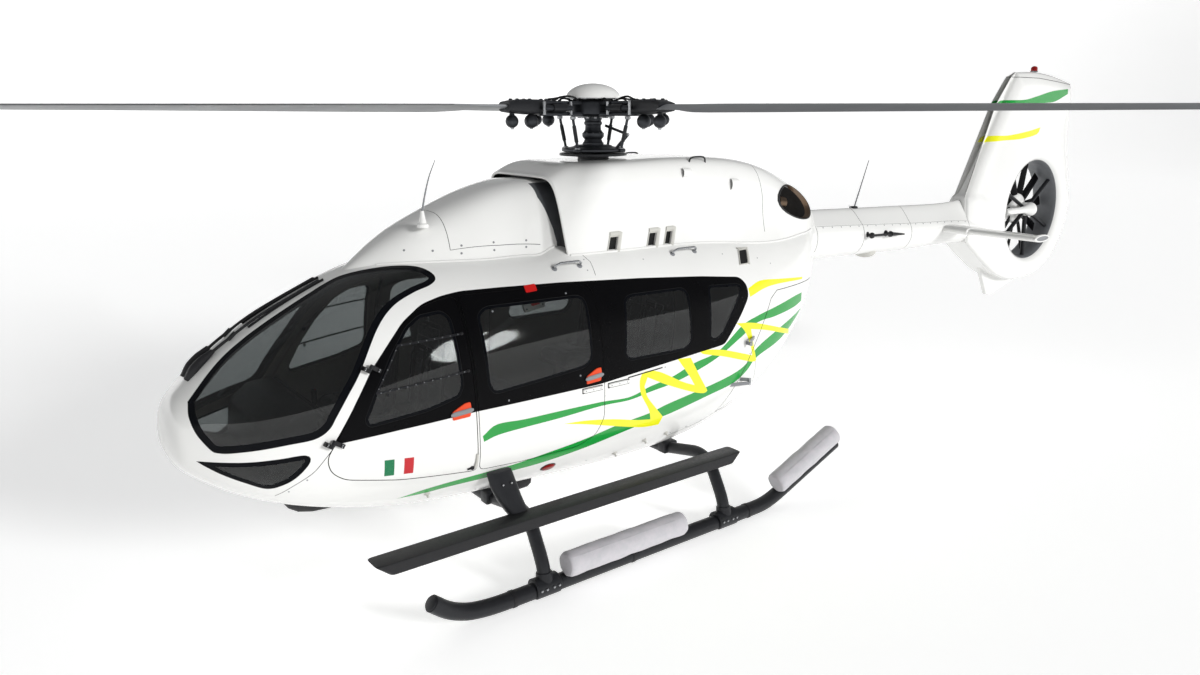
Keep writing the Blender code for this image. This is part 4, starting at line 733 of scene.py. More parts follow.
def across(outline, low, high):
    """The slice of a four-cornered outline between two shares of its length."""
    a, b, c, d = (np.asarray(p) for p in outline)
    return (a + (b - a) * low, a + (b - a) * high, d + (c - d) * high, d + (c - d) * low)


def ribbon(path, width=0.004):
    """A thin line in side view as a closed outline."""
    path = np.asarray(path, float)
    along = np.gradient(path, axis=0)
    along /= np.linalg.norm(along, axis=1)[:, None]
    side = np.column_stack([-along[:, 1], along[:, 0]]) * width / 2
    return np.vstack([path + side, (path - side)[::-1]])


def pod_outlines():
    """Every line drawn on the port half of the pod, in flat coordinates."""
    low, high = flat_station(POD[0, 0]), flat_station(POD[-1, 0])
    quarter = math.pi / 2
    lines = {"border": dense(((low, -quarter), (high, -quarter), (high, quarter), (low, quarter)), 0.05)}
    holes = {
        "door": side_line(dense(rounded(COCKPIT_DOOR, 0.05))),
        "slide": side_line(dense(rounded(SLIDING_DOOR, 0.05))),
        "door_glass": side_line(dense(rounded(COCKPIT_GLASS, 0.035))),
        "slide_glass": side_line(dense(rounded(SLIDING_GLASS, 0.05))),
        "rear_glass": side_line(dense(rounded(REAR_GLASS, 0.05))),
        "quarter_glass": side_line(dense(rounded(QUARTER_GLASS, 0.05))),
        "chin_glass": side_line(curvy(CHIN_GLASS, 0.02, 70)),
        "screen": dense(curvy(pod_flat(SCREEN_LINE), 0.03, 80), 0.04),
        "clam": side_line(dense(CLAM_DOOR)),
    }
    lines.update(holes)
    lines["door_panel"] = moved_in(holes["door"], SHUT_LINE)
    lines["door_body"] = moved_in(holes["door"], 0.026)
    lines["slide_panel"] = moved_in(holes["slide"], 0.005)
    lines["clam_panel"] = moved_in(holes["clam"], SHUT_LINE)
    for name, border in (("door_glass", 0.022), ("slide_glass", 0.022), ("rear_glass", 0.022),
                         ("quarter_glass", 0.022), ("chin_glass", 0.032), ("screen", 0.048)):
        lines[name + "_pane"] = moved_in(holes[name], 0.003)
        lines[name + "_clear"] = moved_in(holes[name], border)
    lines["band"] = side_line(dense(rounded(BAND, 0.05)))
    for name, outline in (("green_upper", GREEN_UPPER), ("green_lower", GREEN_LOWER),
                          ("yellow_main", YELLOW_MAIN), ("yellow_aft", YELLOW_AFT),
                          ("yellow_high", YELLOW_HIGH)):
        lines[name] = side_line(curvy(outline, 0.03, 40))
    lines["flag_green"] = side_line(dense(across(FLAG, 0.0, 0.333)))
    lines["flag_red"] = side_line(dense(across(FLAG, 0.667, 1.0)))
    seams = (
        smooth_path(((-2.628, 1.300), (-2.70, 1.215), (-2.767, 1.144), (-2.877, 1.066), (-2.97, 0.985)),
                    0.03),
        dense(((1.135, 1.245), (1.19, 1.02)), 0.03, False),
        dense(((0.20, 0.73), (0.55, 0.77), (0.95, 0.90)), 0.03, False),
        dense(((-0.47, 2.16), (-0.455, 2.25), (-0.49, 2.31)), 0.03, False),
    )
    for k, path in enumerate(seams):
        lines["seam_%d" % k] = side_line(ribbon(path))
    return lines


def pod_points():
    """Flat points that follow the pod's shape, closer together towards the nose."""
    low, high = flat_station(POD[0, 0]), flat_station(POD[-1, 0])
    a = np.linspace(low, high, 110)
    b = np.linspace(-math.pi / 2, math.pi / 2, 61)
    grid = np.stack(np.meshgrid(a, b, indexing="ij"), -1)
    grid[1::2, :, 1] += (b[1] - b[0]) / 2
    return grid[1:-1, 1:-1].reshape(-1, 2)


POD_LINES = pod_outlines()
POD_PLANE, POD_TRIANGLES, IN = triangulate(POD_LINES, pod_points())


def picked(*names):
    """Which triangles of the pod lie in any of the named outlines."""
    found = np.zeros(len(POD_TRIANGLES), bool)
    for name in names:
        found |= IN[name]
    return found


def paint_of(chosen):
    """The paint of each chosen triangle."""
    order = (("seam_0", SEAL), ("seam_1", SEAL), ("seam_2", SEAL), ("seam_3", SEAL), ("band", BLACK),
             ("yellow_main", YELLOW), ("yellow_aft", YELLOW), ("yellow_high", YELLOW), ("green_upper", GREEN),
             ("green_lower", GREEN), ("flag_green", FLAG_GREEN), ("flag_red", FLAG_RED))
    finish = [WHITE] * len(chosen)
    for name, paint in reversed(order):
        for k in np.nonzero(IN[name][chosen])[0]:
            finish[k] = paint
    return finish


def thin_at_nose(points):
    """The deepest that the skin may go at points, so that it can't pass the middle at the nose."""
    return 0.35 * pod_rows(points[:, 1])[2]


def skin(shape, mask, near, far, face=None, back=LINING, rim=None):
    """Adds the pod's chosen triangles as a sheet between two depths."""
    chosen = np.nonzero(mask)[0]
    face = paint_of(chosen) if face is None else face
    return shell(shape, pod_lift, POD_PLANE, POD_TRIANGLES[chosen].copy(), near, far, face, back, rim or SEAL,
                 thin_at_nose)


def end_cap(shape, station, beyond):
    """Closes the open end of the pod."""
    flat = np.column_stack([np.full(40, flat_station(station)), np.linspace(-math.pi / 2, math.pi / 2, 40)])
    ring = pod_lift(flat)
    out = normals_of(pod_lift, flat)
    out[0, 0] = out[-1, 0] = 0.0
    tip = np.array([[0.0, station + beyond, (ring[0, 2] + ring[-1, 2]) / 2]])
    facing = np.array([0.0, math.copysign(1.0, beyond), 0.0])
    faces, normals = [], []
    for k in range(39):
        face = (k, k + 1, 40) if beyond < 0 else (k + 1, k, 40)
        faces.append(face)
        normals.append([facing if v == 40 else unit(out[v] + facing) for v in face])
    return shape.put(np.vstack([ring, tip]), faces, WHITE, normals)


def pane(hole):
    """A sheet of glazing with its dark border."""
    mask = IN[hole + "_pane"]
    chosen = np.nonzero(mask)[0]
    finish = [GLASS if IN[hole + "_clear"][k] else FRIT for k in chosen]
    return skin(Shape(), mask, *PANE, face=finish, back=finish, rim=FRIT)


def build_pod():
    """The pod's fixed skin, its doors and its panes."""
    holes = picked("door", "slide", "rear_glass", "quarter_glass", "chin_glass", "screen", "clam")
    fixed = skin(Shape(), ~holes, *WALL, rim=SEAL)
    gaps = picked("door", "slide") & ~picked("door_panel", "slide_panel")
    skin(fixed, gaps, *GAP_SEAL, face=SEAL, back=SEAL)
    skin(fixed, IN["clam"] & ~IN["clam_panel"], *REAR_GAP_SEAL, face=SEAL, back=SEAL)
    for name in ("rear_glass", "quarter_glass", "chin_glass", "screen"):
        skin(fixed, IN[name] & ~IN[name + "_pane"], *PANE_SEAL, face=SEAL, back=SEAL)
    end_cap(fixed, POD[0, 0], -0.004)
    end_cap(fixed, POD[-1, 0], 0.004)
    fixed.mirror().piece("fixed_skin", "airframe", ("lower_hull", "cabin_frame"), "white_paint")

    for word, turn in SIDES:
        door = skin(Shape(), IN["door_panel"] & ~IN["door_glass"], *DOOR_SHEET, back=PLASTIC, rim=SEAL)
        skin(door, IN["door_body"] & ~IN["door_glass"], *DOOR_LINING, face=PLASTIC, back=LINING, rim=LINING)
        skin(door, IN["door_glass"] & ~IN["door_glass_pane"], *PANE_SEAL, face=SEAL, back=SEAL)
        turn(door).piece("cockpit_door_skin_" + word, "cockpit_door_" + word, "cockpit_door_" + word,
                         "white_paint")
        turn(pane("door_glass")).piece("cockpit_pane_" + word, "cockpit_door_" + word,
                                       "cockpit_glass_" + word, "tinted_glass")
        slide = skin(Shape(), IN["slide_panel"] & ~IN["slide_glass"], *DOOR_WALL, back=LINING, rim=SEAL)
        skin(slide, IN["slide_glass"] & ~IN["slide_glass_pane"], *PANE_SEAL, face=SEAL, back=SEAL)
        turn(slide).piece("sliding_door_skin_" + word, "airframe", "sliding_door_" + word, "white_paint")
        clam = skin(Shape(), IN["clam_panel"], *DOOR_WALL, back=CREAM, rim=SEAL)
        turn(clam).piece("rear_door_skin_" + word, "clamshell_" + word, "clamshell_" + word, "white_paint")
        for hole, node in (("slide_glass", "sliding_glass_"), ("rear_glass", "rear_window_"),
                           ("quarter_glass", "quarter_window_"), ("chin_glass", "chin_window_"),
                           ("screen", "windshield_")):
            turn(pane(hole)).piece(node + "pane_" + word, "airframe", node + word, "tinted_glass")


build_pod()


# Cowlings over the engine deck: station, top, half width, flare at the foot, squareness.
COWL = np.array(((-0.72, 2.905, 0.50, 0.0, 9), (-0.57, 2.97, 0.505, 0.0, 9), (-0.30, 2.99, 0.51, 0.0, 9),
                 (0.20, 3.00, 0.515, 0.0, 9), (0.80, 3.00, 0.52, 0.04, 8), (1.30, 2.965, 0.51, 0.11, 6.5),
                 (1.75, 2.87, 0.48, 0.12, 5), (2.10, 2.74, 0.43, 0.09, 4), (2.40, 2.58, 0.34, 0.04, 4),
                 (2.58, 2.45, 0.24, 0.0, 4)))
NOSE_COWL = np.array(((-2.24, 2.27, 0.10, 0.0, 3), (-2.12, 2.36, 0.16, 0.0, 3), (-1.91, 2.50, 0.28, 0.0, 3),
                      (-1.51, 2.68, 0.40, 0.0, 3.3), (-1.25, 2.775, 0.435, 0.0, 3.7),
                      (-0.95, 2.852, 0.45, 0.0, 4.2), (-0.82, 2.868, 0.45, 0.0, 4.5),
                      (-0.72, 2.868, 0.405, 0.0, 4.5), (-0.50, 2.870, 0.39, 0.0, 4.5)))
# The widest height of both cowlings, how far the front lip leans aft at its foot and where that ends, and
# the share of the height above which the foot's flare is gone.
COWL_WAIST = 1.95
LIP_LEAN = 0.19
LIP_FADE = 0.9
FLARE_TOP = 0.62
# A point on the exhaust's axis at its outlet and one inside, the outlet's radius, and the stations and
# angles between which it breaks the cowling.
EXHAUST_OUT = (0.365, 2.10, 2.535)
EXHAUST_IN = (0.255, 1.50, 2.60)
EXHAUST_RADIUS = 0.140
EXHAUST_SPAN = (1.5, 2.3, 0.3, 1.3)


def cowl_maps(table, lean):
    """A cowling's port half over station and angle up from its waist, and the way back from side view."""
    top, half, flare, power = [spline(table[:, 0], table[:, k]) for k in range(1, 5)]
    first, last = table[0, 0], table[-1, 0]

    def lift(flat):
        flat = np.asarray(flat, float)
        station = np.clip(flat[..., 0], first, last)
        a = np.clip(flat[..., 1], 0.0, math.pi / 2)
        p, across, up = power(station), np.maximum(np.cos(a), 0.0), np.sin(a)
        reach = (across ** p + up ** p) ** (-1 / p)
        share = up * reach
        swell = np.maximum(0.0, 1 - share / FLARE_TOP)
        x = half(station) * reach * across + np.maximum(flare(station), 0.0) * swell * swell * (3 - 2 * swell)
        x = np.where(a > math.pi / 2 - 1e-6, 0.0, x)
        fade = np.maximum(0.0, 1 - (station - first) / LIP_FADE)
        z = COWL_WAIST + (top(station) - COWL_WAIST) * share
        return np.stack([x, flat[..., 0] + lean * fade * (1 - share), z], -1)

    def flatten(station, height):
        flat = station
        for _ in range(8):
            share = min(max((height - COWL_WAIST) / (float(top(flat)) - COWL_WAIST), 0.0), 0.9999)
            flat = station - lean * max(0.0, 1 - (flat - first) / LIP_FADE) * (1 - share)
        p = float(power(flat))
        return flat, math.atan2(share, (1 - share ** p) ** (1 / p))

    return lift, flatten


def ring_hole(lift, start, along, radius, guess, sides=40):
    """Where a round bar leaves a lifted surface, as an outline in flat coordinates."""
    start, along = np.asarray(start, float), unit(along)

    def away(flat):
        offset = lift(np.asarray(flat, float)) - start
        return np.linalg.norm(offset - along * (offset @ along)[..., None], axis=-1)

    span = np.stack(np.meshgrid(np.linspace(guess[0], guess[1], 60), np.linspace(guess[2], guess[3], 60)),
                    -1).reshape(-1, 2)
    centre = span[np.argmin(away(span))]
    outline = []
    for k in range(sides):
        a = 2 * math.pi * k / sides
        step = np.array([math.cos(a), math.sin(a)])
        low, high = 0.0, 1.2
        for _ in range(30):
            middle = (low + high) / 2
            if away((centre + step * middle)[None])[0] < radius:
                low = middle
            else:
                high = middle
        outline.append(centre + step * low)
    return np.array(outline)


def under_pod(points, depth):
    """Which points lie inside the pod by more than a depth."""
    _, top, half, waist, power = pod_rows(points[:, 1])
    u = np.clip((points[:, 2] - waist) / (top - depth - waist), 0.0, 1.0)
    reach = (half - depth) * (1 - u ** power) ** (1 / power)
    return (points[:, 0] < reach) & (points[:, 2] < top - depth) & (points[:, 1] < POD[-1, 0])


def flat_box(low, high, step=(0.05, 0.05)):
    """A rectangle in the flat plane, with points along its sides."""
    (a, b), (c, d) = low, high
    n, m = int(math.ceil((c - a) / step[0])), int(math.ceil((d - b) / step[1]))
    along, up = np.linspace(a, c, n + 1), np.linspace(b, d, m + 1)
    return np.array([(x, b) for x in along[:-1]] + [(c, y) for y in up[:-1]] + [(x, d) for x in along[:0:-1]]
                    + [(a, y) for y in up[:0:-1]])


def cowl_grid(table, count):
    """Flat points over a cowling, closer together round its shoulder."""
    t = np.linspace(-1.0, 1.0, 52)
    around = math.pi / 4 * (1 + 0.45 * t + 0.55 * t ** 3)
    along = np.linspace(table[0, 0], table[-1, 0], count)
    return np.stack(np.meshgrid(along, around, indexing="ij"), -1)[1:-1, 1:-1].reshape(-1, 2)


def foot_seal(shape, lift, stations):
    """The painted sealing bead where a cowling meets the pod."""
    path = []
    for station in stations:
        low, high = 0.0, 1.4
        for _ in range(24):
            middle = (low + high) / 2
            if under_pod(lift(np.array([[station, middle]])), 0.0)[0]:
                low = middle
            else:
                high = middle
        path.append(lift(np.array([[station, high]]))[0])
    sweep(shape, path, 0.011, WHITE, 10)


def screw(shape, point, out, size=0.007, finish=None):
    """A screw head: a low washer with a shallow dome on it."""
    out = unit(out)
    side = unit(np.cross(out, (0.0, 0.3, 1.0)))
    other = np.cross(out, side)
    rings = []
    for radius, height in ((size * 1.25, 0.0), (size * 1.25, 0.0008), (size, 0.0010), (size * 0.8, 0.0022),
                           (size * 0.3, 0.0028)):
        rings.append([point + out * height + (side * math.cos(a) + other * math.sin(a)) * radius
                      for a in full_turn(8)])
    loft(shape, rings, finish or GREY_PAINT)


def scoop(shape, place, start, end, low, high, out):
    """A small cooling scoop: a dark mouth that faces forward and a hood that fades into the side."""
    rings = []
    for t in np.linspace(0.0, 1.0, 10):
        station, size = start + (end - start) * t, math.sqrt(max(1 - t * t, 0.0006))
        middle, half = (low + high) / 2, (high - low) / 2 * (0.55 + 0.45 * size)
        wall = place(station, middle)[0] - 0.003
        rings.append([(wall + out * size * math.sin(a), station, middle + half * math.cos(a))
                      for a in np.linspace(0, math.pi, 15)])
    loft(shape, rings, WHITE, closed=False)
    mouth = np.array(rings[0])
    centre = mouth.mean(axis=0)
    inner = centre + (mouth - centre) * 0.86 + (0, 0.004, 0)
    deep = inner + (-0.004, 0.035, 0)
    count = len(mouth)
    shape.put(np.vstack([mouth, inner]), [(k, k + 1, k + 1 + count, k + count) for k in range(count - 1)],
              WHITE)
    shape.put(np.vstack([inner, deep]), [(k, k + 1, k + 1 + count, k + count) for k in range(count - 1)],
              SEAL)
    shape.put(deep, [tuple(range(count))], SEAL)


# Louvres in the cowling's side: front and aft station, and the lower and upper height.
SLOTS = ((-0.240, -0.150, 2.298, 2.418), (0.161, 0.246, 2.296, 2.418), (0.341, 0.413, 2.298, 2.418))
# How far a louvre's top lies aft of its foot, and the scoops in the same four values as the louvres.
SLOT_LEAN = 0.022
SCOOPS = ((0.55, 0.66, 2.84, 2.92), (1.11, 1.225, 2.71, 2.81))


def build_cowls():
    """The main cowling with its louvres, scoops and seams, and the front cowling with the intake."""
    lift, flatten = cowl_maps(COWL, LIP_LEAN)
    along = np.asarray(EXHAUST_OUT) - np.asarray(EXHAUST_IN)
    lines = {
        "border": flat_box((COWL[0, 0], 0.0), (COWL[-1, 0], math.pi / 2), (0.05, 0.03)),
        "exhaust": ring_hole(lift, EXHAUST_IN, along, EXHAUST_RADIUS + 0.012, EXHAUST_SPAN),
        "neck": ring_hole(lift, (0.0, 0.0, 2.9), (0.0, 0.0, 1.0), 0.135, (-0.3, 0.3, 1.3, math.pi / 2)),
    }
    lines["neck"] = lines["neck"][lines["neck"][:, 1] < math.pi / 2 - 1e-4]
    aft = [flatten(s, z) for s, z in ((1.53, 2.32), (1.54, 2.60), (1.51, 2.80), (1.50, 2.87))]
    lines["seam"] = ribbon(dense(aft + [(1.50, math.pi / 2 - 0.02)], 0.05, False), 0.005)
    for k, (start, end, low, high) in enumerate(SLOTS):
        lines["slot_%d" % k] = dense([flatten(*p)
                                      for p in ((start, low), (end, low), (end + SLOT_LEAN, high),
                                                (start + SLOT_LEAN, high))], 0.03)
    flat, triangles, member = triangulate(lines, cowl_grid(COWL, 80))
    deep = under_pod(lift(flat), 0.030)[triangles].all(axis=1)
    slots = sum(member["slot_%d" % k] for k in range(len(SLOTS))) > 0
    chosen = np.nonzero(~deep & ~member["exhaust"] & ~member["neck"] & ~slots)[0]
    finish = [SEAL if member["seam"][k] else WHITE for k in chosen]
    cover = shell(Shape(), lift, flat, triangles[chosen], 0.0, 0.022, finish, PLASTIC, WHITE)
    recess = np.nonzero(slots)[0]
    shell(cover, lift, flat, triangles[recess], 0.020, 0.026, [SEAL] * len(recess), SEAL, SEAL)
    for k in range(len(SLOTS)):
        corners = np.asarray(lines["slot_%d" % k])
        loop = lift(corners) + normals_of(lift, corners) * 0.002
        sweep(cover, np.vstack([loop, loop[:2]]), 0.0055, CREAM, 8, caps=False)
        start, end, low, high = SLOTS[k]
        hood = [(end + 0.016, low - 0.006), (end + 0.016 + SLOT_LEAN, high + 0.016),
                (end + SLOT_LEAN, high + 0.022), (start + SLOT_LEAN, high + 0.020)]
        sweep(cover, [lift(np.array([flatten(*p)]))[0] + (0.004, 0, 0) for p in dense(hood, 0.02, False)],
              0.017, CREAM, 10, flatten=0.5, up=(1, 0, 0))
    # The lip's rounded edge.
    edge = [lift(np.array([[COWL[0, 0], a]]))[0] for a in cowl_grid(COWL, 3)[:, 1] if a > 0.28]
    top = lift(np.array([[COWL[0, 0], math.pi / 2]]))[0]
    inward = np.array([(p[0] * 0.978, p[1], COWL_WAIST + (p[2] - COWL_WAIST) * 0.9885) for p in edge + [top]])
    sweep(cover, inward, 0.0112, WHITE, 12)
    foot_seal(cover, lift, np.linspace(COWL[0, 0] + 0.01, 2.40, 60))
    tail = [lift(np.array([[COWL[-1, 0], a]]))[0] for a in np.linspace(0.3, math.pi / 2, 20)]
    tip = len(tail)
    cover.put(tail + [(0.0, COWL[-1, 0] + 0.01, 2.25)], [(k + 1, k, tip) for k in range(tip - 1)], WHITE)

    def side_place(station, height):
        return lift(np.array([flatten(station, height)]))[0]

    for row in SCOOPS:
        scoop(cover, side_place, *row, 0.030)
    # The hand loop on the shoulder.
    sweep(cover, smooth_path(((0.440, 0.67, 2.950), (0.445, 0.69, 2.995), (0.445, 0.765, 3.004),
                              (0.445, 0.84, 2.995), (0.440, 0.86, 2.950)), 0.015), 0.007, DARK, 10)
    cover.mirror().piece("engine_cowling", "airframe", "main_cowling", "white_paint")

    nose_lift, nose_flat = cowl_maps(NOSE_COWL, 0.0)
    lines = {"border": flat_box((NOSE_COWL[0, 0], 0.0), (NOSE_COWL[-1, 0], math.pi / 2), (0.05, 0.03))}
    belt = [nose_flat(s, z) for s, z in ((-1.54, 2.418), (-1.17, 2.427), (-0.83, 2.405))]
    paths = ([belt[0]] + [(-1.54, a) for a in (0.75, 1.1, math.pi / 2 - 0.02)], belt)
    for k, path in enumerate(paths):
        lines["seam_%d" % k] = ribbon(dense(path, 0.05, False), 0.004)
    # The facet that leads into the side of the air intake, painted grey as shade.
    crease = [(-0.815, 1.02), (-0.80, 0.80), nose_flat(-0.72, 2.62), nose_flat(-0.665, 2.50),
              nose_flat(-0.635, 2.40), (-0.62, 0.0)]
    lines["facet"] = dense(crease + [(NOSE_COWL[-1, 0], 0.0), (NOSE_COWL[-1, 0], 1.02)], 0.04)
    flat, triangles, member = triangulate(lines, cowl_grid(NOSE_COWL, 48))
    deep = under_pod(nose_lift(flat), 0.030)[triangles].all(axis=1)
    chosen = np.nonzero(~deep)[0]
    finish = []
    for k in chosen:
        finish.append(SEAL if member["seam_0"][k] or member["seam_1"][k] else SHADED_FACET if member["facet"][k]
                      else WHITE)
    front = shell(Shape(), nose_lift, flat, triangles[chosen], 0.0, 0.020, finish, PLASTIC, WHITE)
    foot_seal(front, nose_lift, np.linspace(-2.02, -0.66, 36))
    for s, z in ((-1.457, 2.445), (-1.464, 2.391), (-1.216, 2.396), (-1.216, 2.452), (-0.952, 2.397),
                 (-0.950, 2.446), (-1.84, 2.43), (-1.66, 2.42)):
        place = np.array([nose_flat(s, z)])
        screw(front, nose_lift(place)[0], normals_of(nose_lift, place)[0])
    # A screen across the air intake, between the two cowlings, in a black that paints the deep shade inside
    # the opening.
    inner, outer = [], []
    for a in np.linspace(0.25, math.pi / 2, 26):
        inner.append(nose_lift(np.array([[-0.60, a]]))[0] - (0, 0, 0.01))
        outer.append(lift(np.array([[-0.60, a]]))[0] * (0.97, 1, 1) - (0, 0, 0.015))
    front.put(inner + outer, [(k, k + 1, k + 27, k + 26) for k in range(25)], PLASTIC)
    front.mirror()
    # The whip aerial on its tapered foot.
    foot = np.array((0.25, -1.69, 2.60))
    turned(front, foot, ((0.042, -0.02), (0.040, 0.004), (0.028, 0.012), (0.020, 0.05), (0.012, 0.098)),
           WHITE, "Z", 20, True)
    whip = smooth_path(((0.25, -1.69, 2.69), (0.25, -1.665, 2.80), (0.25, -1.625, 2.93),
                        (0.25, -1.572, 3.046)), 0.03)
    sweep(front, whip, np.linspace(0.008, 0.003, len(whip)), GREY_PAINT, 8)
    front.piece("intake_cowling", "airframe", "front_cowling", "white_paint")


# The boom: station, the height of its middle, half its width and half its height with the shaft's cover.
BOOM = np.array(((2.55, 2.131, 0.246, 0.262), (3.6, 2.10, 0.225, 0.255), (4.6, 2.07, 0.205, 0.250),
                 (5.52, 2.06, 0.185, 0.262), (5.85, 2.06, 0.189, 0.30), (6.25, 2.09, 0.188, 0.33)))
BOOM_CURVES = [spline(BOOM[:, 0], BOOM[:, k]) for k in range(1, 4)]


def boom_lift(flat):
    """The port half of the boom over station and angle: round, with the drive shaft's cover on top."""
    flat = np.asarray(flat, float)
    centre, half, height = [curve(flat[..., 0]) for curve in BOOM_CURVES]
    a = np.clip(flat[..., 1], -math.pi / 2, math.pi / 2)
    x, z = half * np.cos(a), half * np.sin(a)
    rise = np.clip((z / half - 0.55) / 0.45, 0.0, 1.0)
    rise = rise * (0.6 + 0.4 * rise)
    z = np.where(rise > 0, 0.55 * half + rise * (2 * height - 1.55 * half), z)
    x = np.where(a >= math.pi / 2 - 1e-6, 0.0, np.where(a <= -math.pi / 2 + 1e-6, 0.0, x * (1 - 0.25 * rise)))
    return np.stack([x, flat[..., 0], centre + z + half - height], -1)


def build_boom():
    """The tail boom with its seams, its shaft cover's screws and its aerials."""
    first, last = BOOM[0, 0], BOOM[-1, 0]
    lines = {"border": flat_box((first, -math.pi / 2), (last, math.pi / 2), (0.08, 0.06))}
    for k, station in enumerate((2.64, 3.42, 4.30, 5.52)):
        lines["seam_%d" % k] = ribbon(dense(((station, -1.5), (station, 1.5)), 0.05, False), 0.006)
    lines["seam_4"] = ribbon(dense(((2.66, 0.56), (5.50, 0.56)), 0.08, False), 0.012)
    a, b = np.linspace(first, last, 60), np.linspace(-math.pi / 2, math.pi / 2, 41)
    points = np.stack(np.meshgrid(a, b, indexing="ij"), -1)[1:-1, 1:-1].reshape(-1, 2)
    flat, triangles, member = triangulate(lines, points)
    finish = [SEAL if any(member["seam_%d" % n][k] for n in range(5)) else WHITE
              for k in range(len(triangles))]
    tube = shell(Shape(), boom_lift, flat, triangles, 0.0, 0.012, finish, PLASTIC, WHITE)
    # Screws along the shaft cover's foot.
    for station in np.arange(2.75, 5.45, 0.15):
        place = np.array([[station, 0.50]])
        screw(tube, boom_lift(place)[0], normals_of(boom_lift, place)[0], 0.006)
    tube.mirror()
    # The rail aerial on two knobs, with its pointed end.
    rail = np.array(((0.29, 3.476, 2.09), (0.29, 3.80, 2.08), (0.29, 4.04, 2.06)))
    for post in rail[:2]:
        turned(tube, (0.0, post[1], post[2]), ((0.034, 0.205), (0.034, 0.224), (0.018, 0.230), (0.018, 0.262),
                                               (0.031, 0.270), (0.033, 0.284), (0.029, 0.296),
                                               (0.016, 0.302)), PLASTIC, "X", 20, True)
    sweep(tube, rail[:2], 0.013, PLASTIC, 12)
    sweep(tube, smooth_path(rail[1:], 0.04), np.linspace(0.024, 0.008, len(smooth_path(rail[1:], 0.04))),
          PLASTIC, 12)
    # The blade aerials in a V on the boom's back, and the half bulb under it.
    for tip in ((0.0, 3.422, 2.385), (0.0, 3.709, 2.857)):
        path = np.array(((0.0, 3.50, 2.33), tip))
        sweep(tube, path, [0.009, 0.004], BRIGHT, 8)
    rounded_block(tube, (-0.03, 3.46, 2.325), (0.03, 3.54, 2.375), 0.008, PLASTIC)
    turned(tube, (0.0, 3.75, 0.0), ((0.004, 1.795), (0.030, 1.797), (0.060, 1.803), (0.090, 1.815),
                                    (0.115, 1.838), (0.127, 1.868), (0.128, 1.90)), CREAM, "Z", 28)
    return tube


# The shroud and fin: station, height and half the thickness of the rim there.
SHROUD = np.array(((5.5203, 1.82, 0.175), (5.75, 1.66, 0.17), (6.05, 1.47, 0.165), (6.30, 1.335, 0.16),
                   (6.62, 1.24, 0.15), (7.05, 1.22, 0.135), (7.45, 1.30, 0.12), (7.80, 1.50, 0.10),
                   (8.03, 1.80, 0.075), (8.14, 2.12, 0.05), (8.05, 2.50, 0.04), (7.93, 2.85, 0.035),
                   (7.88, 3.20, 0.03), (7.86, 3.72, 0.03), (7.40, 3.80, 0.035), (6.95, 3.84, 0.036),
                   (6.50, 3.83, 0.036), (6.23, 3.44, 0.037), (5.98, 3.05, 0.039), (5.78, 2.72, 0.044),
                   (5.60, 2.42, 0.070), (5.5203, 2.30, 0.12)))
# The small fin below, the fan's axis, the duct's radius, the radius at which the rim round it ends, and
# half the shroud's thickness there.
VENTRAL_FIN = ((6.10, 1.47), (6.35, 1.045), (6.43, 1.03), (7.35, 1.27), (7.35, 1.32))
FAN = np.array((6.99, 2.12))
DUCT_RADIUS = 0.61
DUCT_RIM = 0.78
SHROUD_HALF = 0.2
SHROUD_OUTLINE = curvy(SHROUD[:, :2], 0.03, 42)
# How the half thickness falls from the duct's rim (share 0) to the outer rim (share 1).
GROWTH = spline(np.array((0.0, 0.04, 0.16, 0.42, 0.72, 0.93, 1.0)),
                np.array((1.0, 1.0, 0.94, 0.73, 0.48, 0.24, 0.0)))


def by_angle(points, values):
    """Values round the fan's axis, as angles in order and what belongs to each."""
    away = points - FAN
    angles = np.arctan2(away[:, 1], away[:, 0])
    order = np.argsort(angles)
    return angles[order], values[order]


# How far the rim lies from the fan's axis in each direction, and half its thickness there.
RIM_REACH = by_angle(SHROUD_OUTLINE, np.linalg.norm(SHROUD_OUTLINE - FAN, axis=1))
RIM_HALF = by_angle(SHROUD[:, :2], SHROUD[:, 2])


def fin_lift(flat):
    """The port face of the fin and shroud over station and height, rounded towards its flat rim."""
    flat = np.asarray(flat, float)
    away = flat - FAN
    angle = np.arctan2(away[..., 1], away[..., 0])
    reach, half_edge = (np.interp(angle, *row, period=2 * math.pi) for row in (RIM_REACH, RIM_HALF))
    share = np.clip((np.linalg.norm(away, axis=-1) - DUCT_RIM) / np.maximum(reach - DUCT_RIM, 0.05), 0.0, 1.0)
    x = half_edge + (SHROUD_HALF - half_edge) * GROWTH(share)
    points = flat.reshape(-1, 2)
    ahead = np.roll(SHROUD_OUTLINE, -1, axis=0) - SHROUD_OUTLINE
    length = (ahead ** 2).sum(axis=1)
    edge = np.full(len(points), 9.0)
    for k in range(0, len(points), 4000):
        offset = points[k:k + 4000, None] - SHROUD_OUTLINE[None]
        t = np.clip((offset * ahead[None]).sum(axis=2) / length[None], 0.0, 1.0)
        edge[k:k + 4000] = np.linalg.norm(offset - t[..., None] * ahead[None], axis=2).min(axis=1)
    radius = np.minimum(0.03, 0.85 * half_edge)
    near = np.clip(edge.reshape(flat.shape[:-1]) / radius, 0.0, 1.0)
    x = x - radius + radius * np.sqrt(np.maximum(1 - (1 - near) ** 2, 0.0))
    return np.stack([x, flat[..., 0], flat[..., 1]], -1)


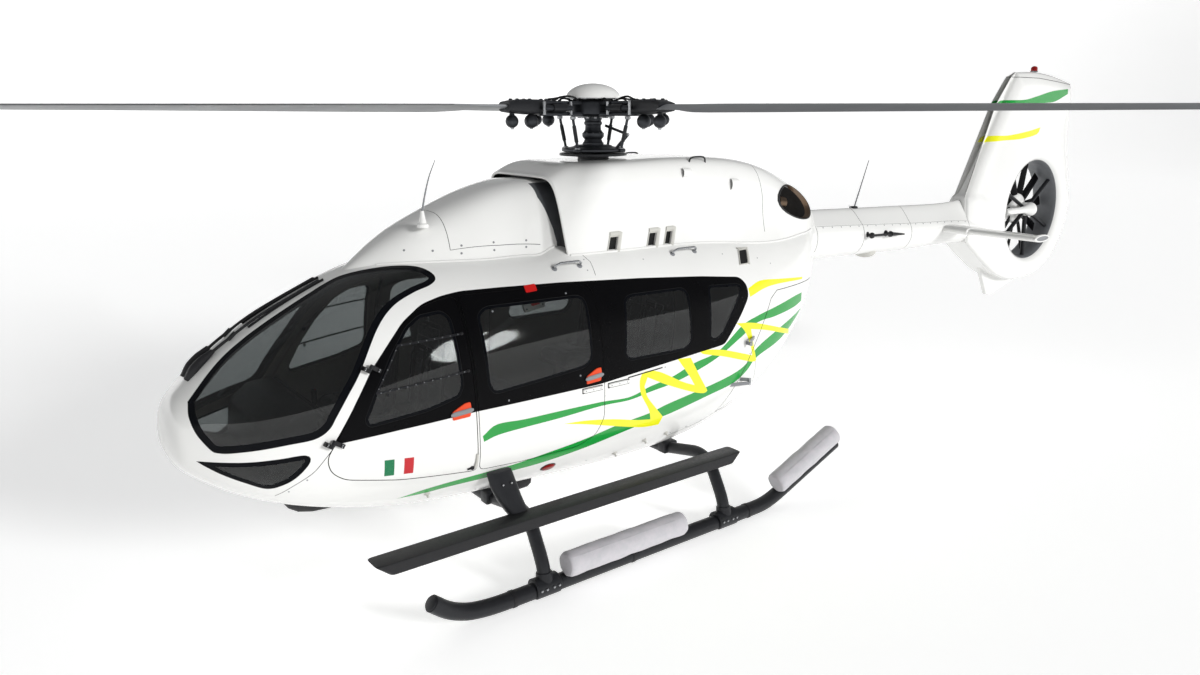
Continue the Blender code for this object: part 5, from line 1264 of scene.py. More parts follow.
# The two strokes on the fin, as station and height.
FIN_GREEN = ((6.070, 3.439), (6.172, 3.489), (6.577, 3.500), (6.869, 3.543), (7.269, 3.611), (7.704, 3.643),
             (7.690, 3.580), (7.344, 3.484), (7.053, 3.462), (6.690, 3.441))
FIN_YELLOW = ((5.882, 2.995), (5.979, 3.068), (6.262, 3.073), (6.567, 3.108), (6.939, 3.164), (6.856, 3.083),
              (6.506, 3.028), (6.198, 3.014))
# The flared mouth of the fan's duct, as radius and X.
DUCT_LIP = ((0.78, 0.200), (0.765, 0.2025), (0.74, 0.203), (0.71, 0.199), (0.68, 0.190), (0.655, 0.176),
            (0.636, 0.157), (0.622, 0.132), (0.613, 0.100), (0.61, 0.060), (0.61, 0.0))


def duct_mouth(shape, sides=96):
    """The port half of the duct: white over its lip, and inside a grey paint darkened as painted shade."""
    rings, slopes = [], []
    for k, (radius, x) in enumerate(DUCT_LIP):
        rings.append([(x, FAN[0] + radius * math.cos(t), FAN[1] + radius * math.sin(t))
                      for t in full_turn(sides)])
        before, after = DUCT_LIP[max(k - 1, 0)], DUCT_LIP[min(k + 1, len(DUCT_LIP) - 1)]
        slopes.append(unit((before[0] - after[0], after[1] - before[1])) if k else (1.0, 0.0))
    faces, normals, finish = [], [], []
    for k in range(len(DUCT_LIP) - 1):
        for m in range(sides):
            o = (m + 1) % sides
            face = (k * sides + m, k * sides + o, (k + 1) * sides + o, (k + 1) * sides + m)
            faces.append(face)
            # Inside the lip, the grey is darkened as painted shade.
            finish.append(WHITE if k < 6 else DUCT_GREY_SHADED)
            row = []
            for v in face:
                t = 2 * math.pi * (v % sides) / sides
                out, in_plane = slopes[v // sides]
                row.append((out, in_plane * math.cos(t), in_plane * math.sin(t)))
            normals.append(row)
    shape.put(np.vstack(rings), faces, finish, normals)


def build_fin():
    """The fin with its shroud, duct and stripes, and the small fin below."""
    outline = dense(SHROUD_OUTLINE, 0.04)
    circle = [FAN + DUCT_RIM * np.array((math.cos(a), math.sin(a)))
              for a in full_turn(96)]
    lines = {"border": outline, "rim": np.array(circle)}
    for k, depth in enumerate((0.0012, 0.005, 0.012, 0.022, 0.032)):
        inner = []
        for n, here in enumerate(outline):
            along = unit(outline[(n + 1) % len(outline)] - outline[n - 1])
            inner.append(here + np.array((-along[1], along[0])) * depth)
        if not inside(np.array([inner[0]]), outline)[0]:
            inner = [2 * h - p for h, p in zip(outline, inner)]
        inner = np.array(inner)
        gap = np.linalg.norm(inner[:, None] - outline[None], axis=2).min(axis=1)
        lines["edge_%d" % k] = inner[gap > depth * 0.9]
    lines["green"] = curvy(FIN_GREEN, 0.05, 40)
    lines["yellow"] = curvy(FIN_YELLOW, 0.05, 40)
    lines["cap"] = ribbon(dense(((6.36, 3.77), (6.94, 3.765), (7.84, 3.70)), 0.06, False), 0.007)
    a, b = np.arange(5.54, 8.14, 0.055), np.arange(1.05, 3.84, 0.055)
    points = np.stack(np.meshgrid(a, b, indexing="ij"), -1).reshape(-1, 2)
    ring = [FAN + r * np.array((math.cos(t), math.sin(t))) for r in (0.80, 0.83)
            for t in full_turn(96)]
    points = np.vstack([points[np.linalg.norm(points - FAN, axis=1) > 0.85], ring])
    flat, triangles, member = triangulate(lines, points)
    chosen = np.nonzero(~member["rim"])[0]
    finish = [GREEN if member["green"][k] else YELLOW if member["yellow"][k] else SEAL if member["cap"][k]
              else WHITE
              for k in chosen]
    used, packed = np.unique(triangles[chosen], return_inverse=True)
    packed = packed.reshape(-1, 3)
    plane = flat[used]
    points = fin_lift(plane)
    step = 0.004
    slope_s = (fin_lift(plane + [step, 0])[:, 0] - fin_lift(plane - [step, 0])[:, 0]) / (2 * step)
    slope_z = (fin_lift(plane + [0, step])[:, 0] - fin_lift(plane - [0, step])[:, 0]) / (2 * step)
    out = np.column_stack([np.ones(len(plane)), -slope_s, -slope_z])
    out /= np.linalg.norm(out, axis=1)[:, None]
    shape = Shape()
    a, b, c = (points[packed[:, k]] for k in range(3))
    wrong = np.cross(b - a, c - a)[:, 0] < 0
    packed[wrong] = packed[wrong][:, ::-1]
    shape.put(points, packed, finish, [out[f] for f in packed])
    # The flat band of the rim, out to the middle plane.
    rim, count = fin_lift(outline), len(outline)
    along = np.roll(outline, -1, axis=0) - np.roll(outline, 1, axis=0)
    turn = 1 if signed_area(outline) > 0 else -1
    facing = np.column_stack([np.zeros(count), along[:, 1], -along[:, 0]]) * turn
    facing /= np.linalg.norm(facing, axis=1)[:, None]
    faces, normals = [], []
    for k in range(count):
        o = (k + 1) % count
        faces.append((k, o, o + count, k + count)[::-turn])
        square = np.dot(facing[k], facing[o]) < 0.8
        flat_way = unit(facing[k] + facing[o])
        normals.append([flat_way] * 4 if square else [facing[k], facing[o], facing[o], facing[k]][::-turn])
    shape.put(np.vstack([rim, rim * (0, 1, 1)]), faces, WHITE, normals)
    duct_mouth(shape)
    shape.mirror()
    shape.piece("fin_and_shroud", "airframe", "fin_shroud", "white_paint")

    ventral = Shape()
    line = rounded(VENTRAL_FIN, 0.02)
    centre = line.mean(axis=0)
    rings = [[(x, *(centre + (p - centre) * grow)) for p in line]
             for x, grow in ((-0.030, 0.955), (-0.027, 0.98), (-0.016, 1.0), (0.016, 1.0), (0.027, 0.98),
                             (0.030, 0.955))]
    loft(ventral, rings, WHITE)
    ventral.piece("ventral_fin", "airframe", angle=50)


def airfoil(x, nose, chord, height, half):
    """A section of the stabiliser, thickest at a third of its chord."""
    upper, lower = [], []
    for c, t in ((0.0, 0.0), (0.008, 0.32), (0.03, 0.58), (0.08, 0.82), (0.18, 0.96), (0.35, 1.0),
                 (0.6, 0.84), (0.85, 0.45), (1.0, 0.15)):
        upper.append((x, nose + c * chord, height + t * half))
        lower.append((x, nose + c * chord, height - t * half))
    return upper + lower[::-1][:-1]


def oval(x, grow, high=1.0):
    """A section of the stabiliser's tip."""
    return [(x, 5.19 + 0.15 * grow * math.cos(a), 2.020 + 0.039 * grow * high * math.sin(a))
            for a in full_turn(32)]


def build_stabilisers():
    """The two stabilisers with their root stubs and rounded tips."""
    left = Shape()
    bar = [airfoil(x, 4.96 + (x - 0.20) * 0.0792, 0.40 - (x - 0.20) * 0.099, 2.030 - (x - 0.20) * 0.0099,
                   0.034)
           for x in (0.16, 0.50, 0.85, 1.212)]
    loft(left, bar, WHITE)
    stub = [airfoil(x, nose, chord, 2.029, half) for x, nose, chord, half in
            ((0.14, 4.935, 0.44, 0.045), (0.47, 4.945, 0.42, 0.045), (0.481, 4.947, 0.417, 0.0435),
             (0.486, 4.951, 0.41, 0.040))]
    loft(left, stub, WHITE)
    loft(left, [oval(1.203, 0.88), oval(1.207, 0.98), oval(1.220, 1.06), oval(1.238, 1.06),
                oval(1.245, 0.99), oval(1.247, 0.90), oval(1.246, 0.84, 0.8), oval(1.238, 0.82, 0.76)], WHITE)
    # The grey disc on the tip's flat end is painted shade on the white stabiliser.
    left.put(oval(1.2385, 0.825, 0.77), [tuple(range(32))], GREY_PAINT)
    for word, turn in SIDES:
        turn(left).piece("stabiliser_wing_" + word, "airframe", "stabiliser_" + word, "white_paint", 40)


def build_fan():
    """The five vanes with the gear housing, and the fan with its ten blades."""
    centre = np.array((0.0, FAN[0], FAN[1]))
    stator = Shape()
    turned(stator, centre, ((0.030, 0.028), (0.068, 0.026), (0.082, 0.036), (0.086, 0.050), (0.086, 0.100),
                            (0.075, 0.118), (0.050, 0.124)), WHITE, "X", 36)
    # The fairing of the drive shaft, which widens over the fan's axis.
    reach = np.array((-0.606, -0.598, -0.585, -0.45, -0.30, -0.20, -0.15, -0.11, -0.07, -0.03, 0.01, 0.035,
                      0.045, 0.048))
    radii = np.array((0.060, 0.054, 0.046, 0.045, 0.045, 0.045, 0.046, 0.052, 0.063, 0.076, 0.088, 0.091,
                      0.089, 0.080))
    sweep(stator, [centre + (0.125, r, 0.0) for r in reach], radii, WHITE, 28)
    sweep(stator, [centre + (0.125, r, 0.0) for r in (0.046, 0.056, 0.060)], [0.060, 0.056, 0.030], DARK, 24)
    for angle in (35, 155, 215, 275, 335):
        a = math.radians(angle)
        out = np.array((0.0, math.cos(a), math.sin(a)))
        side = np.array((0.0, -math.sin(a), math.cos(a)))
        rings = []
        for reach in np.linspace(0.06, DUCT_RADIUS - 0.002, 8):
            point = centre + out * reach
            rings.append([point + np.array((0.080 + 0.028 * math.cos(t), 0, 0)) + side * 0.020 * math.sin(t)
                          for t in full_turn(16)])
        loft(stator, rings, DARK)
    stator.piece("stator_vanes", "airframe", "fan_stator", "white_paint", 50)

    fan = Shape()
    turned(fan, centre, ((0.0, -0.139), (0.05, -0.1385), (0.10, -0.135), (0.145, -0.127), (0.178, -0.112),
                         (0.195, -0.092), (0.199, -0.070), (0.196, -0.045), (0.184, -0.026), (0.165, -0.012),
                         (0.14, -0.004), (0.10, 0.003), (0.045, 0.006), (0.029, 0.007), (0.029, 0.092)),
           WHITE, "X", 48)
    for k in range(10):
        a = 2 * math.pi * k / 10 + 0.12
        out = np.array((0.0, math.cos(a), math.sin(a)))
        side = np.array((0.0, -math.sin(a), math.cos(a)))
        rings = []
        for share in np.linspace(0, 1, 9):
            reach = 0.15 + (0.592 - 0.15) * share
            p = -math.radians(14 - 6 * share)
            chord = side * math.cos(p) + np.array((math.sin(p), 0, 0))
            thick = np.array((math.cos(p), 0, 0)) - side * math.sin(p)
            wide = 0.048 + 0.012 * math.sin(math.pi * min(share * 1.1 + 0.1, 0.62))
            middle = np.array((-0.045, centre[1], centre[2])) + out * reach
            ring = []
            for c, t in ((-1, 0), (-0.8, -0.65), (-0.4, -1), (0.2, -0.8), (1, -0.08), (1, 0.08), (0.2, 0.8),
                         (-0.4, 1), (-0.8, 0.65)):
                ring.append(middle + chord * c * wide + thick * t * (0.009 - 0.004 * share))
            rings.append(ring)
        loft(fan, rings, BLACK)
    fan.piece("fan_rotor", "tail_fan", "tail_fan", "black_paint", 40)


build_cowls()
build_boom().piece("boom_tube", "airframe", "tail_boom", "white_paint")
build_fin()
build_stabilisers()
build_fan()


# Height of the hub's middle, and how far the rotor stands turned in the photograph.
HUB = 3.40
TURN = math.radians(2.5)


def turn_about_mast(shape, angle, height=HUB):
    """Turns everything gathered so far about the mast and lifts it."""
    c, s = math.cos(angle), math.sin(angle)
    for k, points in enumerate(shape.points):
        x, y = points[:, 0] * c - points[:, 1] * s, points[:, 0] * s + points[:, 1] * c
        shape.points[k] = np.column_stack([x, y, points[:, 2] + height])
    return shape


def bolts(shape, centre, radius, count, size, finish, start=0.0, height=None):
    """A ring of hexagon bolt heads facing up."""
    for k in range(count):
        a = start + 2 * math.pi * k / count
        place = (centre[0] + radius * math.cos(a), centre[1] + radius * math.sin(a), centre[2])
        tall = height or size * 0.7
        turned(shape, place, ((size, 0.0), (size, tall * 0.8), (size * 0.8, tall)), finish, "Z", 6, True)


def hub_arm():
    """One of the four arms that carry a blade, along +X with the hub's centre at the origin."""
    arm = Shape()
    # Yoke plates above and below, the blade's root cuff between them.
    for low, high in ((0.028, 0.055), (-0.060, -0.030)):
        outline = ((0.10, -0.085), (0.34, -0.075), (0.50, -0.060), (0.545, -0.030), (0.545, 0.030),
                   (0.50, 0.060), (0.34, 0.075), (0.10, 0.085))
        ring = rounded(outline, 0.025)
        loft(arm, [[(x * 0.99, y * 0.96, low) for x, y in ring], [(x, y, low + 0.005) for x, y in ring],
                   [(x, y, high - 0.005) for x, y in ring], [(x * 0.99, y * 0.96, high) for x, y in ring]],
             IRON)
    rings = []
    for x, wide, low, high in ((0.40, 0.040, -0.024, 0.024), (0.46, 0.052, -0.040, 0.050),
                               (0.56, 0.062, -0.048, 0.066), (0.70, 0.066, -0.048, 0.068),
                               (0.80, 0.074, -0.040, 0.062), (0.865, 0.080, -0.030, 0.050)):
        ring = []
        for k in range(20):
            a = 2 * math.pi * k / 20
            c, s = math.cos(a), math.sin(a)
            ring.append((x, math.copysign(abs(c) ** 0.6, c) * wide,
                         (low + high) / 2 + math.copysign(abs(s) ** 0.6, s) * (high - low) / 2))
        rings.append(ring)
    loft(arm, rings, DARK)
    # The cuff's clamp bolts, a damper on each side of it, and the two round ones that hang below.
    for x, y in ((0.50, 0.035), (0.50, -0.035), (0.66, 0.040), (0.66, -0.040), (0.78, 0.045), (0.78, -0.045)):
        turned(arm, (x, y, 0.056), ((0.015, 0.0), (0.015, 0.012), (0.009, 0.016)), IRON, "Z", 8, True)
    for side in (-1, 1):
        sweep(arm, ((0.30, side * 0.098, 0.0), (0.56, side * 0.092, 0.0)), 0.021, IRON, 14)
        sweep(arm, ((0.36, side * 0.097, 0.0), (0.48, side * 0.094, 0.0)), 0.030, DARK, 16)
        for x in (0.30, 0.56):
            turned(arm, (x, side * 0.095, -0.05), ((0.013, 0.0), (0.013, 0.10)), BRIGHT, "Z", 8, True)
    for x, size in ((0.62, 1.0), (0.80, 0.92)):
        turned(arm, (x, 0.0, -0.098), tuple((0.055 * size * math.sin(a), -0.055 * size * math.cos(a))
                                           for a in np.linspace(0.15, math.pi - 0.15, 11)), IRON, "Z", 18,
               True)
        turned(arm, (x, 0.0, -0.062), ((0.026, 0.0), (0.018, 0.02), (0.018, 0.03)), IRON, "Z", 12, True)
        turned(arm, (x, 0.0, -0.153), ((0.010, -0.006), (0.014, 0.0), (0.014, 0.008)), BRIGHT, "Z", 8, True)
    return arm


def build_head():
    """The hub with its arms, the cap, the mast and the control plate."""
    hub = Shape()
    turned(hub, (0, 0, 0), ((0.10, -0.070), (0.150, -0.070), (0.185, -0.060), (0.200, -0.045), (0.200, 0.040),
                            (0.19, 0.055), (0.165, 0.068), (0.150, 0.075), (0.02, 0.075)), IRON, "Z", 40)
    bolts(hub, (0, 0, 0.070), 0.172, 12, 0.013, BRIGHT)
    bolts(hub, (0, 0, -0.080), 0.118, 12, 0.012, BRIGHT)
    # Hoses and wiring looped over the plates.
    for k in range(4):
        part = hub_arm()
        loop = smooth_path(((0.20, 0.06, 0.050), (0.26, 0.085, 0.082), (0.34, 0.080, 0.090),
                            (0.42, 0.055, 0.074), (0.48, 0.030, 0.066)), 0.02)
        sweep(part, loop, 0.008, RUBBER, 8)
        loop = smooth_path(((0.18, -0.05, 0.060), (0.25, -0.085, 0.075), (0.31, -0.090, 0.030),
                            (0.33, -0.085, -0.02)), 0.02)
        sweep(part, loop, 0.007, RUBBER, 8)
        merged(hub, turn_about_mast(part, k * math.pi / 2, 0.0))
    turn_about_mast(hub, TURN)
    hub.piece("hub_and_arms", "main_rotor", "rotor_hub", "dark_metal", 40)

    cap = Shape()
    turned(cap, (0, 0, HUB + 0.0753), tuple((0.225 * math.cos(a), 0.120 * math.sin(a))
                                            for a in np.linspace(0, 1.5, 14))
           + ((0.0, 0.120),), WHITE, "Z", 48)
    turned(cap, (0, 0, HUB + 0.0733), ((0.215, 0.0), (0.226, 0.001), (0.226, 0.006), (0.222, 0.008)), BRIGHT,
           "Z", 48)
    cap.piece("hub_dome", "main_rotor", "hub_cap", "white_paint")

    mast = Shape()
    turned(mast, (0, 0, 0), ((0.066, 2.911), (0.066, 3.062), (0.082, 3.066), (0.088, 3.074), (0.088, 3.122),
                             (0.078, 3.130), (0.070, 3.150), (0.082, 3.164), (0.090, 3.176), (0.090, 3.200),
                             (0.080, 3.208), (0.066, 3.228), (0.064, 3.262), (0.074, 3.272), (0.074, 3.288),
                             (0.066, 3.296), (0.078, HUB - 0.0725)), IRON, "Z", 40, True)
    bolts(mast, (0, 0, 3.200), 0.080, 10, 0.007, BRIGHT)
    mast.piece("mast_shaft", "main_rotor", "rotor_mast", "dark_metal", 40)

    plate = Shape()
    turned(plate, (0, 0, 0), ((0.117, 3.052), (0.235, 3.050), (0.252, 3.054), (0.260, 3.060), (0.260, 3.074),
                              (0.245, 3.082), (0.200, 3.088), (0.165, 3.094), (0.150, 3.104), (0.135, 3.106),
                              (0.118, 3.100), (0.1165, 3.052)), IRON, "Z", 48)
    for k in range(4):
        link = Shape()
        low, high = np.array((0.240, 0.100, 0.0)), np.array((0.300, 0.115, 0.255))
        low, high = low + (0, 0, 3.078), high + (0, 0, 3.070)
        sweep(link, (low, high), 0.0115, IRON, 10)
        along = unit(high - low)
        sweep(link, (low + along * 0.06, low + along * 0.19), 0.016, DARK, 12)
        for end in (low, high):
            turned(link, end - (0, 0, 0.016), ((0.012, 0.0), (0.024, 0.006), (0.024, 0.024), (0.012, 0.030)),
                   BRIGHT, "Z", 14, True)
        rounded_block(link, (0.205, 0.070, 3.052), (0.268, 0.128, 3.082), 0.010, IRON)
        merged(plate, turn_about_mast(link, TURN + k * math.pi / 2, 0.0))
    # The scissor that turns the plate with the mast.
    scissor = Shape()
    for half in (-0.022, 0.022):
        sweep(scissor, ((half, 0.200, 3.085), (half, 0.288, 3.190)), 0.013, IRON, 10)
    sweep(scissor, ((0.0, 0.288, 3.190), (0.0, 0.100, 3.262)), 0.016, IRON, 10, flatten=0.7)
    sweep(scissor, ((-0.04, 0.288, 3.190), (0.04, 0.288, 3.190)), 0.012, BRIGHT, 10)
    merged(plate, turn_about_mast(scissor, math.radians(-45), 0.0))
    plate.piece("control_plate", "main_rotor", "swashplate", "dark_metal", 40)


# Degrees added to every row's twist.
BLADE_PITCH = 5.0


def build_blades():
    """The four blades, from rows of reach, chord, thickness and twist in degrees."""
    stations = ((0.8603, 0.140, 0.055, 6.0), (0.93, 0.145, 0.053, 6.0), (1.02, 0.155, 0.051, 6.0),
                (1.12, 0.18, 0.049, 6.0), (1.24, 0.25, 0.045, 5.8), (1.35, 0.30, 0.042, 5.5),
                (1.5, 0.315, 0.041, 5.2), (2.0, 0.32, 0.040, 4.2), (2.7, 0.32, 0.039, 2.6),
                (3.40, 0.32, 0.038, 1.0), (4.2, 0.32, 0.036, -0.6), (5.00, 0.32, 0.034, -2.0),
                (5.16, 0.305, 0.031, -2.3), (5.30, 0.27, 0.028, -2.5), (5.42, 0.215, 0.022, -2.8),
                (5.50, 0.16, 0.016, -3.0))
    curve = (1.0, 0.9, 0.75, 0.58, 0.42, 0.28, 0.17, 0.09, 0.035, 0.008, 0.0)
    for number in range(4):
        shape = Shape()
        rings = []
        for x, chord, thick, twist in stations:
            a = math.radians(twist + BLADE_PITCH)
            upper, lower = [], []
            for c in curve:
                t = (1.4845 * math.sqrt(c) - 0.63 * c - 1.758 * c ** 2 + 1.4215 * c ** 3
                     - 0.5075 * c ** 4) * 1.02
                t = max(t, 0.03) * thick
                for out, share in ((upper, 0.62), (lower, -0.38)):
                    y, z = (0.30 - c) * chord, t * share
                    out.append((x, y * math.cos(a) - z * math.sin(a), y * math.sin(a) + z * math.cos(a)))
            rings.append(upper + lower[::-1][1:])
        count = len(rings[0])
        points = np.vstack(rings)
        faces, finish = [], []
        for k in range(len(rings) - 1):
            for m in range(count):
                o = (m + 1) % count
                faces.append((k * count + m, k * count + o, (k + 1) * count + o, (k + 1) * count + m))
                lead = 6 <= m <= 13 and stations[k][0] >= 1.3
                finish.append(BLADE_EDGE if lead else BLADE)
        faces += [tuple(range(count))[::-1], tuple(range((len(rings) - 1) * count, len(rings) * count))]
        finish += [DARK, BLADE]
        shape.put(points, faces, finish)
        turn_about_mast(shape, TURN + number * math.pi / 2, HUB + 0.01)
        shape.piece("rotor_blade_%d" % (number + 1), "main_rotor", "main_blade_%d" % (number + 1),
                    "blade_composite", 30)


# Landing gear, port side, as in the CAD.
SKID_X = 1.20
SKID_RADIUS = 0.06
SKID_PATH = ((-2.22, 0.246), (-2.10, 0.146), (-1.95, 0.081), (-1.75, 0.056), (0.93, 0.056), (1.08, 0.096),
             (1.86, 0.416))
# Each cross-tube's station and the height of its middle.
LEGS = ((-1.33, 0.475), (0.47, 0.455))


def softened(path, bend=0.10):
    """A path with rounded bends."""
    path = [np.asarray(p, float) for p in path]
    out = [path[0]]
    for k in range(1, len(path) - 1):
        here = path[k]
        back, ahead = path[k - 1] - here, path[k + 1] - here
        start = here + unit(back) * min(bend, 0.45 * np.linalg.norm(back))
        end = here + unit(ahead) * min(bend, 0.45 * np.linalg.norm(ahead))
        out += [(1 - t) ** 2 * start + 2 * t * (1 - t) * here + t * t * end for t in np.linspace(0, 1, 7)]
    out.append(path[-1])
    return np.array(out)


def build_gear():
    """Skids, step boards, floats and cross-tubes."""
    for word, side in (("left", 1), ("right", -1)):
        skid = Shape()
        path = softened([(side * SKID_X, s, z) for s, z in SKID_PATH], 0.12)
        sweep(skid, path, SKID_RADIUS, DARK, 28)
        # The plugs in both ends of the tube, and the bands round it.
        low, high = np.array((side * SKID_X, 1.86, 0.416)), unit((0, 0.78, 0.32))
        sweep(skid, (low - high * 0.002, low + high * 0.012), 0.050, RUBBER, 24)
        nose, way = np.array((side * SKID_X, -2.22, 0.246)), unit((0, -0.12, 0.10))
        sweep(skid, (nose - way * 0.002, nose + way * 0.010, nose + way * 0.016), [0.055, 0.052, 0.030], DARK,
              24)
        for s in (-1.62, -0.55, 0.72):
            sweep(skid, ((side * SKID_X, s, 0.056), (side * SKID_X, s + 0.028, 0.056)), SKID_RADIUS + 0.004,
                  PLASTIC, 28)
        for p in skid.points:
            p[:, 2] = np.maximum(p[:, 2], 0.0)
        skid.piece("skid_tube_" + word, "airframe", "skid_" + word, "dark_metal", 40)

        board = Shape()
        rings = []
        for z, fore, aft, grow in ((0.505, 0.10, 0.09, 0.008), (0.512, 0.09, 0.08, 0.0),
                                   (0.580, 0.008, 0.01, 0.0), (0.588, 0.0, 0.0, 0.002),
                                   (0.5915, 0.004, 0.004, 0.007)):
            outline = rounded(((0.985 + grow, -2.56 + fore), (1.155 - grow, -2.56 + fore),
                               (1.155 - grow, 0.70 - aft), (0.985 + grow, 0.70 - aft)), 0.035, 4)
            rings.append([(side * x, s, z) for x, s in outline])
        loft(board, rings, PLASTIC)
        for leg, _ in LEGS:
            rounded_block(board, (side * 1.045 - 0.06, leg - 0.09, 0.485),
                          (side * 1.045 + 0.06, leg + 0.09, 0.506), 0.01, DARK, 2)
        board.piece("step_board_" + word, "airframe", "step_" + word, "black_plastic", 40)

        for name, leg, begin, end in (("front", 3, 0.57, 1.70), ("rear", 5, 0.02, 0.82)):
            build_float(name, word, side, leg, begin, end)

    for name, (leg, middle) in zip(("front", "rear"), LEGS):
        bar = Shape()
        half = [(SKID_X, leg, 0.12), (SKID_X - 0.03, leg, 0.24), (1.02, leg, 0.50), (0.88, leg, 0.56),
                (0.40, leg, middle)]
        path = softened(half + [(-x, s, z) for x, s, z in half[::-1]], 0.09)
        sweep(bar, path, 0.05, DARK, 28)
        for side in (-1, 1):
            sweep(bar, [(side * SKID_X, leg + shift, 0.068) for shift in (-0.105, -0.098, 0.098, 0.105)],
                  [0.070, 0.078, 0.078, 0.070], DARK, 28)
            sweep(bar, ((side * SKID_X, leg, 0.10), (side * (SKID_X - 0.012), leg, 0.17)), [0.066, 0.060],
                  DARK, 24)
            for shift in (-0.075, -0.03, 0.03, 0.075):
                turned(bar, (side * (SKID_X + 0.076), leg + shift, 0.080),
                       ((0.010, -0.004), (0.010, 0.008), (0.006, 0.011)), BRIGHT, "X", 6, True)
            # The saddle that holds the cross-tube under the keel.
            rounded_block(bar, (side * 0.47 - 0.05, leg - 0.075, middle - 0.02),
                          (side * 0.47 + 0.05, leg + 0.075, middle + 0.08), 0.012, DARK)
        for p in bar.points:
            p[:, 2] = np.maximum(p[:, 2], 0.004)
        if name == "front":
            leg_fairing(bar)
        bar.piece("cross_bar_" + name, "airframe", "cross_tube_" + name, "dark_metal", 40)


def leg_fairing(bar):
    """The upright covers beside the hull, over the bend of the front cross-tube."""
    for side in (-1, 1):
        rings = []
        for x, s, z, chord, thick in ((0.862, -1.492, 0.888, 0.088, 0.012),
                                      (0.868, -1.490, 0.880, 0.100, 0.026),
                                      (0.895, -1.472, 0.78, 0.104, 0.044),
                                      (0.925, -1.448, 0.69, 0.096, 0.052),
                                      (0.955, -1.418, 0.61, 0.086, 0.056),
                                      (0.985, -1.380, 0.53, 0.074, 0.056),
                                      (1.010, -1.350, 0.47, 0.062, 0.052)):
            ring = []
            for a in full_turn(28):
                c, n = math.cos(a), math.sin(a)
                ring.append((side * (x + thick * math.copysign(abs(n) ** 0.8, n)),
                             s + chord * math.copysign(abs(c) ** 0.85, c), z))
            rings.append(ring)
        loft(bar, rings, DARK)
        for s in (-1.50, -1.43):
            sweep(bar, ((side * 0.93, s, 0.80), (side * 0.945, s, 0.80)), 0.007, BRIGHT, 10)


def build_float(name, word, side, leg, begin, end):
    """A rolled float in its cover, with a lacing line and softly closed ends."""
    rise = math.sqrt((SKID_RADIUS + 0.095) ** 2 - 0.045 ** 2) - 0.006
    a, b = (np.array((side * SKID_X, s, z)) for s, z in (SKID_PATH[leg], SKID_PATH[leg + 1]))
    along = unit(b - a)
    up = np.array((0.0, -along[2], along[1]))
    base = a + np.array((side * 0.045, 0.0, 0.0)) + up * rise
    out = np.array((side * 1.0, 0.0, 0.0))
    bag = Shape()
    length = end - begin
    rings = []
    ends = np.array((0.0, 0.004, 0.012, 0.025))
    stops = [*ends, *np.linspace(0.045, length - 0.045, int(length / 0.022)), *(length - ends[::-1])]
    folds = (0.16, length / 2, length - 0.16)
    for d in stops:
        close = min(d, length - d)
        size = 0.095 * min(1.0, 0.80 + 0.20 * math.sqrt(max(close, 0.0) / 0.025)) if close < 0.025 else 0.095
        pinch = min(abs(d - s) for s in folds)
        size -= 0.0012 * math.exp(-(pinch / 0.03) ** 2)
        ring = []
        for k in range(40):
            t = 2 * math.pi * k / 40
            swell = 0.0014 * math.sin(7 * t + d * 31) + 0.0012 * math.sin(3 * t - d * 19)
            r = size - 0.0012 + swell
            ring.append(base + along * (begin + d) + out * math.cos(t) * r + up * math.sin(t) * r)
        rings.append(ring)
    loft(bag, rings, FLOAT)
    # The lacing seam along the outside top.
    seam = [base + along * (begin + d) + out * math.cos(0.9) * 0.0955 + up * math.sin(0.9) * 0.0955
            for d in np.linspace(0.03, length - 0.03, 30)]
    sweep(bag, seam, 0.0022, FLOAT, 6)
    made = bag.piece("float_bag_%s_%s" % (name, word), "airframe", "float_%s_%s" % (name, word),
                     "float_cover", 40)


build_head()
build_blades()
build_gear()


# The pilots' seats as X, station, half width and base height, and the benches as node, station, the way
# they face and half their width.
PILOT_SEAT = (0.38, -2.02, 0.235, 1.0603)
BENCHES = (("cabin_seats_front", -1.18, -1, 0.60), ("cabin_seats_rear", 0.10, 1, 0.66))
BENCH_HEIGHT = 1.1003
# A backrest's foot, the way up it and the way out of its front, as offsets aft and up.
BACK_FOOT = np.array((0.150, 0.215))
BACK_UP = unit((0.09, 0.65))
BACK_FRONT = np.array((-BACK_UP[1], BACK_UP[0]))


